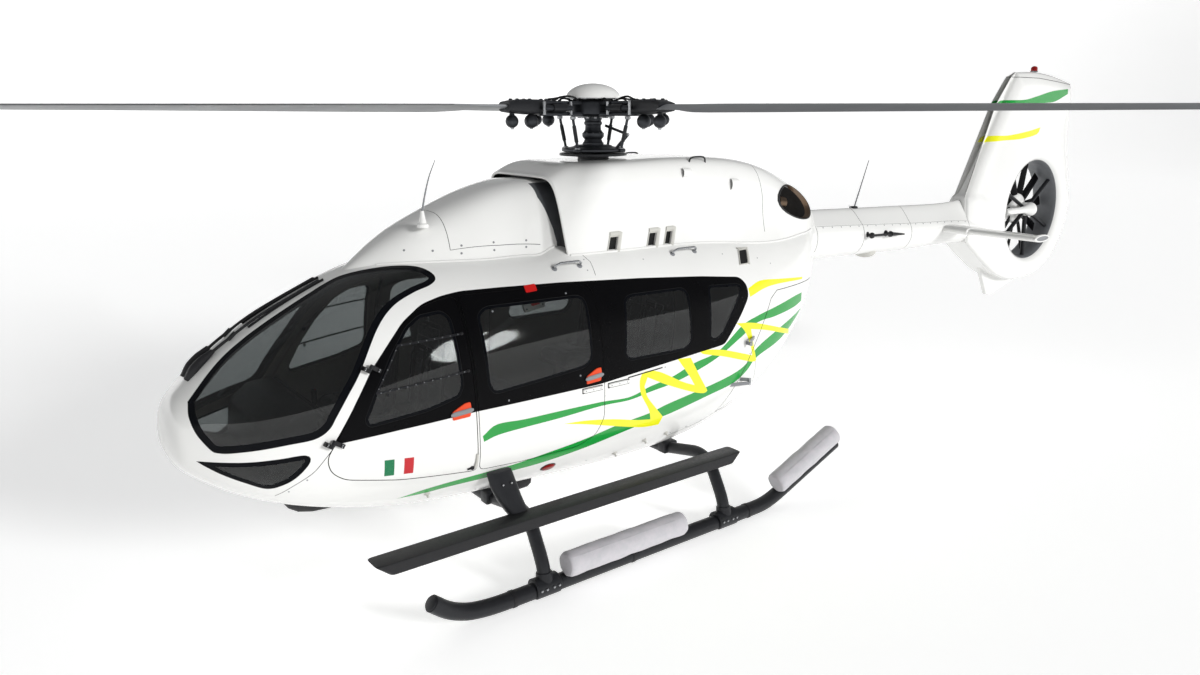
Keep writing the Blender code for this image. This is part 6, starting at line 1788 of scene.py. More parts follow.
def inflated(width, length, depth, radius, voxel, cap, seams):
    """A stuffed pad, simulated under pressure: its points across, along and out, and its faces."""
    block = Shape()
    rounded_block(block, (-width / 2, -length / 2, -depth / 2), (width / 2, length / 2, depth / 2), radius,
                  CLOTH, 4)
    pad = bpy.data.objects.new("pad", block.mesh("pad"))
    bpy.context.scene.collection.objects.link(pad)
    cut = pad.modifiers.new("even", "REMESH")
    cut.mode = "VOXEL"
    cut.voxel_size = voxel * 1.0
    even = bpy.data.meshes.new_from_object(pad.evaluated_get(bpy.context.evaluated_depsgraph_get()))
    pad.modifiers.clear()
    pad.data = even
    start = np.array([v.co for v in even.vertices])
    cloth = pad.modifiers.new("fabric", "CLOTH")
    cloth.settings.quality = 6
    cloth.settings.mass = 0.25
    cloth.settings.use_pressure = True
    cloth.settings.uniform_pressure_force = 4.0
    cloth.settings.tension_stiffness = cloth.settings.compression_stiffness = 22.0
    cloth.settings.bending_stiffness = 1.0
    cloth.settings.effector_weights.gravity = 0.0
    cloth.collision_settings.use_collision = False
    for step in range(1, 21):
        bpy.context.scene.frame_set(step)
    swollen = bpy.data.meshes.new_from_object(pad.evaluated_get(bpy.context.evaluated_depsgraph_get()))
    pad.modifiers.clear()
    bpy.context.scene.frame_set(1)
    end = np.array([v.co for v in swollen.vertices])
    move = end - start
    far = np.maximum(np.linalg.norm(move, axis=1), 1e-9)
    start = start + move * np.minimum(1.0, cap / far)[:, None]
    for vertex, place in zip(even.vertices, start):
        vertex.co = place
    finer = pad.modifiers.new("finer", "SUBSURF")
    finer.levels = finer.render_levels = 1
    fine = bpy.data.meshes.new_from_object(pad.evaluated_get(bpy.context.evaluated_depsgraph_get()))
    points = np.array([v.co for v in fine.vertices])
    faces = [tuple(p.vertices) for p in fine.polygons]
    bpy.data.objects.remove(pad)
    # Sewn channels across the face, and the welt round the rim.
    above = np.clip(points[:, 2] / (depth * 0.3), 0.0, 1.0)
    for across_pad, at in seams:
        gap = np.abs(points[:, 1 if across_pad else 0] - at)
        points[:, 2] -= above * 0.010 * np.exp(-(gap / 0.006) ** 2)
    rim = np.exp(-((points[:, 2] - depth * 0.24) / 0.005) ** 2)
    middle = points * (1, 1, 0)
    points += 0.0035 * rim[:, None] * middle / np.maximum(np.linalg.norm(middle, axis=1), 0.05)[:, None]
    points[:, 2] = np.maximum(points[:, 2], -depth / 2)
    return points, faces


CUSHION = inflated(0.41, 0.38, 0.075, 0.028, 0.009, 0.024,
                   ((True, 0.07), (True, -0.06), (False, 0.125), (False, -0.125)))
BACKREST = inflated(0.41, 0.40, 0.060, 0.024, 0.009, 0.020,
                    ((True, 0.10), (True, 0.0), (True, -0.10), (False, 0.125), (False, -0.125)))
HEADREST = inflated(0.26, 0.15, 0.055, 0.022, 0.009, 0.018, ((True, 0.0),))


def pad_piece(name, pad, size, centre, facing, along, out, nodes):
    """One stuffed piece in a seat: its width is scaled, and it lies in the seat's own plane."""
    points, faces = pad
    width, length, thick = size
    reach = points.max(axis=0) - points.min(axis=0)
    local = points * (width / reach[0], length / reach[1], thick / reach[2])
    x, station, height = centre
    placed_points = np.column_stack([
        x + local[:, 0],
        station + facing * (local[:, 1] * along[0] + local[:, 2] * out[0]),
        height + local[:, 1] * along[1] + local[:, 2] * out[1]])
    shape = Shape().put(placed_points, faces, CLOTH)
    made = shape.piece(name, "airframe", nodes, "seat_cloth", 60)
    return made


def webbing(shape, path, width=0.045, thick=0.0018, up=(1, 0, 0)):
    """A flat woven strap along a path."""
    a, b = width / 2, thick / 2
    sweep(shape, path, 1.0, RUBBER, up=up, profile=[(-a, -b), (a, -b), (a, b), (-a, b)])


def seat(name, x, station, base, half, facing, nodes, belts):
    """A crash seat: two sledge legs, a moulded bucket, three pads and its belts."""
    def at(offset, height, across=0.0):
        return (x + across, station + facing * offset, base + height)

    frame_work = Shape()
    rest = half - 0.012
    for side in (-1, 1):
        leg = side * min(0.155, half - 0.05)
        sweep(frame_work,
              smooth_path((at(-0.19, FLOOR + 0.016 - base, leg), at(0.11, FLOOR + 0.016 - base, leg)), 0.1),
              0.012, IRON, 10)
        sweep(frame_work, (at(-0.17, FLOOR + 0.02 - base, leg), at(-0.10, 0.012, leg)), 0.011, IRON, 10)
        sweep(frame_work, (at(0.09, FLOOR + 0.02 - base, leg), at(0.12, 0.04, leg), at(0.20, 0.30, leg)),
              0.013, IRON, 10)
        sweep(frame_work, (at(-0.16, FLOOR + 0.03 - base, leg), at(0.115, 0.02, leg)), 0.006, IRON, 8)
        for offset in (-0.15, 0.07):
            turned(frame_work, at(offset, FLOOR + 0.0005 - base, leg),
                   ((0.024, 0.0), (0.024, 0.008), (0.016, 0.012)), IRON, "Z", 16, True)
    for offset in (-0.10, 0.13):
        sweep(frame_work, (at(offset, 0.006, -0.16 * half / 0.235), at(offset, 0.006, 0.16 * half / 0.235)),
              0.010, IRON, 8)
    # The bucket: one moulded sheet under the cushion and behind the back, with raised rims.
    line = smooth_path([(-0.262, 0.048), (-0.20, 0.030), (0.0, 0.026), (0.13, 0.034), (0.205, 0.095),
                        (0.232, 0.22), (0.272, 0.52), (0.312, 0.80), (0.318, 0.845)], 0.03)
    along = np.gradient(line, axis=0)
    along /= np.linalg.norm(along, axis=1)[:, None]
    inner = np.column_stack([-along[:, 1], along[:, 0]])
    rings = []
    for point, normal, k in zip(line, inner, range(len(line))):
        share = k / (len(line) - 1)
        wide = rest * (1.0 if share < 0.72 else 1 - 0.42 * ((share - 0.72) / 0.28) ** 1.6)
        lip = 0.024 if 0.05 < share < 0.95 else 0.008
        section = ((-wide, lip), (-wide + 0.014, 0.006), (-wide * 0.6, 0.0), (0.0, -0.001), (wide * 0.6, 0.0),
                   (wide - 0.014, 0.006), (wide, lip), (wide + 0.004, lip - 0.003), (wide - 0.006, -0.004),
                   (wide * 0.6, -0.010), (0.0, -0.011), (-wide * 0.6, -0.010), (-wide + 0.006, -0.004),
                   (-wide - 0.004, lip - 0.003))
        rings.append([at(point[0] + normal[0] * n, point[1] + normal[1] * n, a) for a, n in section])
    loft(frame_work, rings, PLASTIC)
    for side in (-1, 1):
        post = [BACK_FOOT + BACK_UP * u - BACK_FRONT * 0.060 for u in (0.40, 0.52, 0.585)]
        sweep(frame_work, [at(p[0], p[1], side * 0.05) for p in post], 0.006, BRIGHT, 8)
    frame_work.piece(name + "_frame", "airframe", nodes, "dark_metal", 40)
    wide = 2 * rest - 0.022
    pad_piece(name + "_cushion", CUSHION, (wide, 0.395, 0.118), at(-0.060, 0.104), facing, (-1.0, 0.0),
              (0.0, 1.0), nodes)
    middle = BACK_FOOT + BACK_UP * 0.235 - BACK_FRONT * 0.043
    pad_piece(name + "_back", BACKREST, (wide, 0.42, 0.085), at(*middle), facing, BACK_UP, BACK_FRONT, nodes)
    middle = BACK_FOOT + BACK_UP * 0.555 - BACK_FRONT * 0.040
    pad_piece(name + "_headrest", HEADREST, (min(wide, 0.27), 0.15, 0.080), at(*middle), facing, BACK_UP,
              BACK_FRONT, nodes)
    # Shoulder and lap belts meet at a round buckle.
    straps = Shape()
    buckle = np.array((-0.005, 0.178))
    for side in (-1, 1):
        upper = BACK_FOOT + BACK_UP * 0.47 + BACK_FRONT * 0.004
        chest = BACK_FOOT + BACK_UP * 0.25 + BACK_FRONT * 0.010
        low = BACK_FOOT + BACK_UP * 0.06 + BACK_FRONT * 0.016
        path = [at(*upper, side * 0.075), at(*chest, side * 0.070), at(*low, side * 0.050),
                at(0.08, 0.186, side * 0.030), at(*buckle, side * 0.012)]
        webbing(straps, smooth_path(path, 0.03), belts)
        lap = [at(0.13, 0.10, side * (rest - 0.006)), at(0.10, 0.165, side * (rest - 0.014)),
               at(0.05, 0.186, side * rest * 0.72), at(*buckle, side * 0.02)]
        webbing(straps, smooth_path(lap, 0.03), belts, up=(0, 1, 0))
    turned(straps, at(buckle[0], buckle[1] + 0.002),
           ((0.026, 0.0), (0.028, 0.006), (0.024, 0.014), (0.010, 0.016)), IRON, "Z", 20, True)
    straps.piece(name + "_belts", "airframe", (), "seat_cloth", 40)


def build_seats():
    """Two pilots' seats and two benches of three."""
    x, station, half, base = PILOT_SEAT
    for word, side in (("left", 1), ("right", -1)):
        seat("pilot_seat_" + word, side * x, station, base, half, 1, "cockpit_seat_" + word, 0.045)
    for node, station, facing, half in BENCHES:
        pitch = 2 * half / 3
        for k in range(3):
            seat("%s_%d" % (node, k + 1), (k - 1) * pitch, station, BENCH_HEIGHT, pitch / 2 - 0.004, facing,
                 node, 0.040)


def build_floor():
    """The deck with its covering, its seat rails, and its plastic edge along the sides."""
    deck = Shape()
    rows = []
    for s in np.linspace(-2.93, 0.985, 70):
        edge = float(skin_x(s, FLOOR)) - 0.052
        rows.append([(x, s, FLOOR - 0.0004) for x in np.linspace(-edge, edge, 15)])
    points = np.array(rows).reshape(-1, 3)
    n = 15
    faces = [(k * n + m, k * n + m + 1, (k + 1) * n + m + 1, (k + 1) * n + m) for k in range(len(rows) - 1)
             for m in range(n - 1)]
    deck.put(points, faces, CARPET)
    low = points - (0, 0, 0.018)
    deck.put(low, [f[::-1] for f in faces], PLASTIC)
    rim = [k * n for k in range(len(rows))] + [(len(rows) - 1) * n + m for m in range(1, n)]
    rim += [k * n + n - 1 for k in range(len(rows) - 2, -1, -1)] + [m for m in range(n - 2, 0, -1)]
    count = len(rim)
    sides = [(k, (k + 1) % count, (k + 1) % count + count, k + count) for k in range(count)]
    deck.put(np.vstack([points[rim], low[rim]]), sides, PLASTIC)
    for x in (-0.555, -0.245, 0.245, 0.555):
        sweep(deck, ((x, -1.62, FLOOR + 0.0015), (x, 0.44, FLOOR + 0.0015)), 1.0, BRIGHT, up=(1, 0, 0),
              profile=[(-0.002, -0.015), (0.002, -0.015), (0.002, 0.015), (-0.002, 0.015)])
    deck.piece("cabin_deck", "airframe", (), "black_plastic", 40)


# The instrument panel's section, as station and height.
PANEL_LINE = ((-2.975, 1.105), (-2.945, 1.355), (-2.80, 1.462), (-2.655, 1.472), (-2.600, 1.455),
              (-2.588, 1.430), (-2.632, 1.410), (-2.655, 1.12), (-2.70, 1.104))


def screen_unit(shape, x, height, wide, high, lit=SCREEN):
    """A display: a bezel with rounded corners, a glass face, and keys along its foot."""
    slope = (-2.655 + 2.632) / (1.12 - 1.41)

    def face(u, v, out):
        z = height + v
        return (x + u, -2.655 + slope * (z - 1.12) + out, z)

    for margin, depth, finish in ((0.0, 0.012, PLASTIC), (0.011, 0.0135, lit)):
        line = rounded([(-wide / 2 + margin, -high / 2 + margin * 1.6),
                        (wide / 2 - margin, -high / 2 + margin * 1.6), (wide / 2 - margin, high / 2 - margin),
                        (-wide / 2 + margin, high / 2 - margin)], 0.010, 4)
        loft(shape, [[face(u, v, d) for u, v in line] for d in (-0.002, depth)], finish)
    for k in range(6):
        u = (k - 2.5) * wide / 7
        rounded_block(shape, (x + u - 0.006, face(0, -high / 2 + 0.009, 0)[1] + 0.010,
                              height - high / 2 + 0.005),
                      (x + u + 0.006, face(0, -high / 2 + 0.009, 0)[1] + 0.016, height - high / 2 + 0.014),
                      0.002, GREY_PAINT, 1)


def build_panel():
    """The instrument panel, the pedestal, and the sticks, pedals and levers."""
    panel = Shape()
    half = 0.50
    line = dense(rounded(PANEL_LINE, 0.022, 4), 0.06)
    rings = []
    for x, shrink in ((-half, 0.06), (-half + 0.004, 0.025), (-half + 0.016, 0.0), (half - 0.016, 0.0),
                      (half - 0.004, 0.025), (half, 0.06)):
        centre = line.mean(axis=0)
        ring = centre + (line - centre) * (1 - shrink)
        rings.append([(min(abs(x), float(skin_x(s, z)) - 0.075) * math.copysign(1, x), s, z)
                      for s, z in ring])
    loft(panel, rings, PLASTIC)
    # The leather-grain roll along the top, then displays, small dials, and rows of keys.
    roll = [(x, -2.604, 1.452) for x in np.linspace(-0.46, 0.46, 24)]
    sweep(panel, roll, 0.019, RUBBER, 14)
    for x in (-0.345, -0.125, 0.125, 0.345):
        screen_unit(panel, x, 1.302, 0.165, 0.205)
    for x in (-0.455, 0.455):
        for z in (1.36, 1.28):
            turned(panel, (x * 0.985, -2.648 + (z - 1.12) * 0.0793, z),
                   ((0.030, -0.002), (0.030, 0.010), (0.026, 0.013), (0.024, 0.011)), DARK, "Y", 24, True)
            turned(panel, (x * 0.985, -2.6475 + (z - 1.12) * 0.0793, z), ((0.0238, 0.010), (0.001, 0.0105)),
                   SCREEN, "Y", 24, True)
    for row, z in enumerate((1.165, 1.140)):
        for k in range(18):
            x = (k - 8.5) * 0.048
            rounded_block(panel, (x - 0.010, -2.655, z - 0.007), (x + 0.010, -2.640, z + 0.007), 0.003,
                          GREY_PAINT if (k + row) % 3 else DARK, 1)
    # The pedestal with its radio heads and knobs.
    rounded_block(panel, (-0.130, -2.68, FLOOR + 0.0004), (0.130, -2.345, 1.098), 0.014, PLASTIC, 3)
    for k in range(4):
        low = -2.60 + k * 0.062
        rounded_block(panel, (-0.112, low, 1.092), (0.112, low + 0.056, 1.106), 0.004, DARK, 2)
        rounded_block(panel, (-0.060, low + 0.010, 1.100), (0.040, low + 0.030, 1.1075), 0.002, SCREEN, 1)
        for x in (-0.088, 0.070, 0.092):
            turned(panel, (x, low + 0.030, 1.104), ((0.0085, 0.0), (0.0080, 0.012), (0.0065, 0.0135)), RUBBER,
                   "Z", 14, True)
    for k in range(5):
        rounded_block(panel, (-0.09 + k * 0.038, -2.352, 0.95), (-0.065 + k * 0.038, -2.340, 1.04), 0.004,
                      DARK, 1)
    panel.piece("panel_and_pedestal", "airframe", "instrument_panel", "black_plastic", 35)

    # Sticks and pedals of both pilots.
    sticks = Shape()
    for x in (0.38, -0.38):
        boot = [(0.062, 0.0), (0.058, 0.012), (0.045, 0.020), (0.048, 0.028), (0.034, 0.040), (0.036, 0.048),
                (0.020, 0.064), (0.014, 0.075)]
        turned(sticks, (x, -2.45, FLOOR), boot, RUBBER, "Z", 24, True)
        stem = smooth_path(((x, -2.45, FLOOR + 0.06), (x, -2.46, 1.00), (x, -2.43, 1.12), (x, -2.365, 1.19),
                            (x, -2.355, 1.235)), 0.02)
        sweep(sticks, stem, 0.0125, DARK, 12)
        grip = [(0.014, 0.0), (0.021, 0.010), (0.019, 0.030), (0.022, 0.045), (0.018, 0.062), (0.021, 0.078),
                (0.024, 0.098), (0.020, 0.112), (0.004, 0.116)]
        turned(sticks, (x, -2.355, 1.225), grip, RUBBER, "Z", 18, True)
        turned(sticks, (x + 0.012, -2.348, 1.335), ((0.006, 0.0), (0.006, 0.010), (0.003, 0.012)), RED, "Z",
               12, True)
        for side in (-1, 1):
            low = x + side * 0.085
            sweep(sticks, ((low, -2.80, FLOOR + 0.02), (low, -2.765, 0.99)), 0.009, IRON, 10)
            rounded_block(sticks, (low - 0.045, -2.772, 0.955), (low + 0.045, -2.752, 1.045), 0.006, RUBBER,
                          2)
            for k in range(5):
                sweep(sticks, ((low - 0.038, -2.751, 0.966 + k * 0.017),
                               (low + 0.038, -2.751, 0.966 + k * 0.017)), 0.0025, IRON, 6)
        lever = x - 0.27
        sweep(sticks, smooth_path(((lever, -1.98, FLOOR + 0.03), (lever, -2.16, 0.98), (lever, -2.30, 1.07)),
                                  0.04), 0.014, DARK, 12)
        sweep(sticks, smooth_path(((lever, -2.24, 1.03), (lever, -2.34, 1.095)), 0.03), 0.021, RUBBER, 14)
        turned(sticks, (lever, -1.98, FLOOR), ((0.05, 0.0), (0.045, 0.02), (0.03, 0.035), (0.016, 0.045)),
               RUBBER, "Z", 20, True)
    sticks.piece("pilot_controls", "airframe", (), "black_plastic", 40)


# Hinge axes of the cockpit doors and of the rear doors, port side, the stations of the handles' feet on
# the roof, and the rear door's front edge as two places in side view.
COCKPIT_HINGES = np.array(((0.750, -2.349, 1.770), (0.779, -2.641, 1.326)))
REAR_HINGES = np.array(((0.93, 1.00, 1.10), (0.93, 1.00, 1.45)))
ROOF_HANDLES = ((-0.80, -0.57), (0.37, 0.61))
CLAM_LINE = ((0.74, 0.8403), (1.40, 2.10))


def box_between(shape, corners, low, high, finish):
    """A bar over four corners, between two offsets along a direction."""
    loft(shape, [[c + low for c in corners], [c + high for c in corners]], finish)


def knuckles(point, axis, aft, start, end, reach, root):
    """Half a hinge: its barrel with end beads, and the strap that reaches back under the skin."""
    half = Shape()
    out = unit(np.cross(axis, aft))
    if out[0] < 0:
        out = -out
    length = end - start
    stations = (start, start + 0.0015, end - 0.0015, end)
    sweep(half, [point + axis * s for s in stations], (0.0105, 0.012, 0.012, 0.0105), DARK, 16)
    for share in (0.33, 0.66):
        ring = point + axis * (start + length * share)
        sweep(half, (ring - axis * 0.0008, ring + axis * 0.0008), 0.0124, PLASTIC, 16)
    low, high = sorted((0.0, reach))
    back = reach - math.copysign(0.03, reach)
    foot_low, foot_high = sorted((reach, back))
    for a, b, depth in ((low, high, 0.008), (foot_low, foot_high, root)):
        corners = [point + aft * a - out * depth, point + aft * b - out * depth,
                   point + aft * b + out * 0.0078, point + aft * a + out * 0.0078]
        box_between(half, corners, axis * (start + 0.0006), axis * (end - 0.0006), PLASTIC)
    for share in (0.3, 0.7):
        spot = point + aft * (foot_low + foot_high) / 2 + axis * (start + length * share) + out * 0.0078
        screw(half, spot, out, 0.004, BRIGHT)
    return half


def rear_knuckles(point, low, high, beyond):
    """Half a rear hinge: its barrel, and the arm that reaches to the skin on its own side of the gap."""
    half = Shape()
    (low_s, low_z), (top_s, top_z) = CLAM_LINE
    station = low_s + (point[2] - low_z) * (top_s - low_s) / (top_z - low_z) + beyond
    end = np.array((float(skin_x(station, point[2])) - 0.012, station, point[2]))
    axis = np.array((0.0, 0.0, 1.0))
    sweep(half, [point + axis * s for s in (low, low + 0.0015, high - 0.0015, high)],
          (0.0105, 0.012, 0.012, 0.0105), BRIGHT, 16, up=(1, 0, 0))
    along = unit(end - point)
    side = np.cross(axis, along) * 0.0055
    corners = [point - side, end - side, end + side, point + side]
    box_between(half, corners, axis * (low + 0.0006), axis * (high - 0.0006), GREY_PAINT)
    return half


def build_hinges():
    """The hinges of the cockpit doors and of the rear doors, each in a fixed and a moving half."""
    top, foot = COCKPIT_HINGES
    axis = unit(top - foot)
    aft = unit(-np.cross(np.cross((0.0, 1.0, 0.0), axis), axis))
    fixed, moving = Shape(), Shape()
    for point in COCKPIT_HINGES:
        merged(fixed, knuckles(point, axis, aft, -0.030, -0.0002, -0.045, 0.060))
        merged(moving, knuckles(point, axis, aft, 0.0002, 0.030, 0.075, 0.060))
    rear_fixed, rear_moving = Shape(), Shape()
    for point in REAR_HINGES:
        merged(rear_fixed, rear_knuckles(point, -0.030, -0.0002, -0.06))
        merged(rear_moving, rear_knuckles(point, 0.0002, 0.030, 0.06))
    for word, turn in SIDES:
        turn(fixed).piece("door_hinge_base_" + word, "airframe", (), "dark_metal", 40)
        turn(moving).piece("door_hinge_" + word, "cockpit_door_" + word, (), "dark_metal", 40)
        turn(rear_fixed).piece("rear_hinge_base_" + word, "airframe", (), "dark_metal", 40)
        turn(rear_moving).piece("rear_hinge_" + word, "clamshell_" + word, (), "dark_metal", 40)


def door_handle(station, height, length=0.165):
    """An orange plate with a fin at its aft end, and the grey lever over it."""
    made = Shape()
    front, back = station - length * 0.44, station + length * 0.42
    outline = ((front, height - 0.046), (back - 0.012, height - 0.040), (back, height + 0.006),
               (back - 0.004, height + 0.062), (back - 0.046, height + 0.060),
               (front + 0.040, height + 0.034), (front, height + 0.012))
    line = rounded(outline, 0.010, 3)
    rings = []
    for out, shrink in ((-0.004, 1.0), (0.006, 1.0), (0.0085, 0.95)):
        centre = line.mean(axis=0)
        ring = centre + (line - centre) * shrink
        rings.append([on_skin(s, z, out)[0] for s, z in ring])
    loft(made, rings, ORANGE)
    path, radii = [], []
    for t in np.linspace(0, 1, 9):
        s, z = station - length * 0.52 + length * 1.02 * t, height - 0.007 + 0.014 * t
        path.append(on_skin(s, z, 0.0105)[0])
        radii.append(0.018 * min(1.0, 0.45 + 4 * t, 0.45 + 5 * (1 - t)))
    sweep(made, path, radii, GREY_PAINT, 14, flatten=0.42, up=(1, 0, 0))
    return made


def rail_bar(station, height, length, half=0.017, out=0.0165):
    """A slide rail or its runner: a capped strip that stands a little proud of the skin, with its screws."""
    made = Shape()
    edge = [on_skin(station + a * (length / 2 + 0.004), height + b * (half + 0.004), 0.0022)[0]
            for a, b in ((-1, -0.8), (-1, 0.8), (-0.97, 1), (0.97, 1), (1, 0.8), (1, -0.8), (0.97, -1),
                         (-0.97, -1))]
    loft(made, [edge, [p - (0.006, 0, 0) for p in edge]], SEAL)
    rings = []
    for t in (0.0, 0.02, 0.06, 0.35, 0.65, 0.94, 0.98, 1.0):
        s = station - length / 2 + length * t
        size = min(1.0, 0.55 + 8 * min(t, 1 - t))
        base, normal = on_skin(s, height, 0.0)
        ring = []
        for a, b in ((-1, -0.5), (-0.92, 0.62), (-0.7, 0.95), (0.7, 0.95), (0.92, 0.62), (1, -0.5)):
            ring.append(base + normal * out * b * size + np.array((0, 0, 1)) * half * a * size)
        rings.append(ring)
    loft(made, rings, WHITE)
    for t in (0.12, 0.5, 0.88):
        point, normal = on_skin(station - length / 2 + length * t, height, out * 0.95)
        screw(made, point, normal, 0.004)
    return made


def strip(shape, start, end, out, width, finish, dots=0):
    """A thin bar laid over the skin between two places in side view, with its screw heads."""
    path = [on_skin(s, z, out)[0] for s, z in dense((start, end), 0.04, False)]
    a = width / 2
    normal = on_skin(*start)[1]
    section = [(-a, -0.002), (a, -0.002), (a * 0.7, 0.002), (-a * 0.7, 0.002)]
    sweep(shape, path, 1.0, finish, up=normal, profile=section)
    for k in range(dots):
        t = (k + 0.5) / dots
        s, z = np.asarray(start) + (np.asarray(end) - start) * t
        point, normal = on_skin(s, z, out + 0.002)
        screw(shape, point, normal, 0.0032, BRIGHT)


def on_ridge(x, station, out=0.0):
    """A point over the pod's top, at a distance from the middle."""
    _, top, half, waist, power = (float(v) for v in pod_rows(station))
    return np.array((x, station, waist + (top - waist) * (1 - (x / half) ** power) ** (1 / power) + out))


def build_fittings():
    """Small trim on the pod and its doors: handles, wiper, rails, screws, lamps, drains and pulls."""
    outside, window = Shape(), Shape()
    # Hand loops on the roof, on round foot plates.
    for start, end in ROOF_HANDLES:
        fore, aft = (np.array((float(skin_x(s, 2.235)), s, 2.235)) for s in (start, end))
        rise, lean = np.array((0.034, 0.0, 0.045)), np.array((0.0, 0.03, 0.0))
        path = (fore - (0.006, 0, 0), fore + rise * 0.55, fore + rise * 0.95 + lean, fore + rise + lean * 2,
                aft + rise - lean * 2, aft + rise * 0.95 - lean, aft + rise * 0.55, aft - (0.006, 0, 0))
        sweep(outside, smooth_path(path, 0.012), 0.0088, BRIGHT, 14)
        for spot in (fore, aft):
            normal = on_skin(spot[1], spot[2])[1]
            sweep(outside, (spot - normal * 0.002, spot + normal * 0.0035, spot + normal * 0.005),
                  (0.022, 0.022, 0.014), GREY_PAINT, 18)
    # The wiper parked on the ridge: motor cover, drive arm with its joint, and the blade in its clips.
    def over_ridge(step, *rows):
        return smooth_path([on_ridge(*row) for row in rows], step)

    cover = over_ridge(0.015, (0.045, -3.295, -0.015), (0.048, -3.26, 0.012), (0.05, -3.21, 0.026),
                       (0.055, -3.13, 0.028))
    shares = np.linspace(0, 1, len(cover))
    sweep(outside, cover, np.interp(shares, (0, 0.35, 0.7, 1), (0.033, 0.036, 0.028, 0.016)), PLASTIC, 16)
    arm = over_ridge(0.04, (0.055, -3.15, 0.025), (0.06, -3.02, 0.024), (0.06, -2.80, 0.026),
                     (0.052, -2.40, 0.024))
    sweep(outside, arm, np.linspace(0.0105, 0.007, len(arm)), PLASTIC, 10)
    sweep(outside, (on_ridge(0.058, -3.03, 0.018), on_ridge(0.058, -2.98, 0.030)), 0.014, PLASTIC, 12)
    blade = over_ridge(0.03, (0.072, -2.90, 0.008), (0.064, -2.70, 0.008), (0.057, -2.50, 0.009),
                       (0.05, -2.365, 0.010))
    sweep(outside, blade, 0.0075, RUBBER, 8, flatten=1.25)
    for s in (-2.82, -2.66, -2.50, -2.40):
        x = float(np.interp(s, (-2.90, -2.365), (0.072, 0.05)))
        sweep(outside, (on_ridge(x, s, 0.006), on_ridge(x - 0.004, s, 0.026)), 0.0065, PLASTIC, 8)
    # The fixed slide rail aft of the sliding door.
    merged(outside, rail_bar(-0.425, 1.345, 0.20))
    strip(outside, (-0.33, 1.372), (0.02, 1.392), 0.002, 0.010, SEAL)
    # Vent slot on the pod under the cowling, with its raised frame.
    corners = np.array(((1.044, 2.09), (1.150, 2.09), (1.209, 2.20), (1.105, 2.20)))
    patch = [on_skin(*((1 - v) * ((1 - u) * corners[0] + u * corners[1])
                       + v * ((1 - u) * corners[3] + u * corners[2])), 0.002)[0]
             for v in np.linspace(0, 1, 7) for u in np.linspace(0, 1, 7)]
    outside.put(patch, [(7 * k + m, 7 * k + m + 1, 7 * k + m + 8, 7 * k + m + 7) for k in range(6)
                        for m in range(6)], SEAL)
    rim = rounded(corners, 0.012, 3)
    loop = [on_skin(s, z, 0.0045)[0] for s, z in np.vstack([rim, rim[:1]])]
    sweep(outside, loop, 0.0055, CREAM, 8, caps=False)
    edge = dense(((1.158, 2.085), (1.222, 2.206), (1.10, 2.214)), 0.02, False)
    hood = [on_skin(s, z, 0.005)[0] for s, z in edge]
    sweep(outside, hood, 0.014, CREAM, 10, flatten=0.5, up=(1, 0, 0))
    # Rows of screws round the access panels, and a red lamp under the door.
    for s, z in ((-2.90, 1.02), (-2.80, 1.10), (-0.52, 2.20), (-0.50, 2.27), (0.05, 2.225), (0.9, 2.19),
                 (1.30, 2.12), (1.45, 2.06), (0.22, 0.76), (0.40, 0.775), (0.58, 0.79), (0.76, 0.83),
                 (-1.585, 0.70), (-1.52, 0.70), (-1.45, 0.70), (-0.62, 0.70), (0.05, 1.39), (1.05, 1.33),
                 (1.20, 1.38), (-0.56, 1.27)):
        point, normal = on_skin(s, z)
        screw(outside, point, normal, 0.0045)
    for grow, low, high, finish in ((1.0, -0.004, 0.004, DARK), (0.84, 0.003, 0.012, RED)):
        rings = []
        for out, shrink in ((low, 1.0), ((low + high) / 2, 1.0), (high, 0.82), (high + 0.002, 0.4)):
            rings.append([on_skin(-1.01 + 0.068 * grow * shrink * math.cos(a),
                                  0.760 + 0.036 * grow * shrink * math.sin(a), out)[0]
                          for a in full_turn(24)])
        loft(outside, rings, finish)
    # Drain fittings along the bilge, and the latch and guide roller between the doors.
    for s, z in ((-1.997, 0.80), (-0.342, 0.70), (-0.076, 0.765), (0.157, 0.775)):
        point, normal = on_skin(s, z)
        sweep(outside, (point - normal * 0.003, point + normal * 0.004, point + normal * 0.012,
                        point + normal * 0.030, point + normal * 0.034), (0.022, 0.021, 0.010, 0.008, 0.004),
              CREAM, 14)
    points = [on_skin(s, z, 0.008)[0] for s, z in ((-1.664, 1.06), (-1.668, 1.00), (-1.676, 0.955))]
    sweep(outside, points, (0.009, 0.010, 0.013), CREAM, 10, flatten=0.7, up=(1, 0, 0))
    point, normal = on_skin(-1.700, 0.958)
    sweep(outside, (point - normal * 0.002, point + normal * 0.014), 0.013, DARK, 14)
    strip(outside, (-1.735, 0.952), (-1.670, 0.962), 0.004, 0.018, DARK)
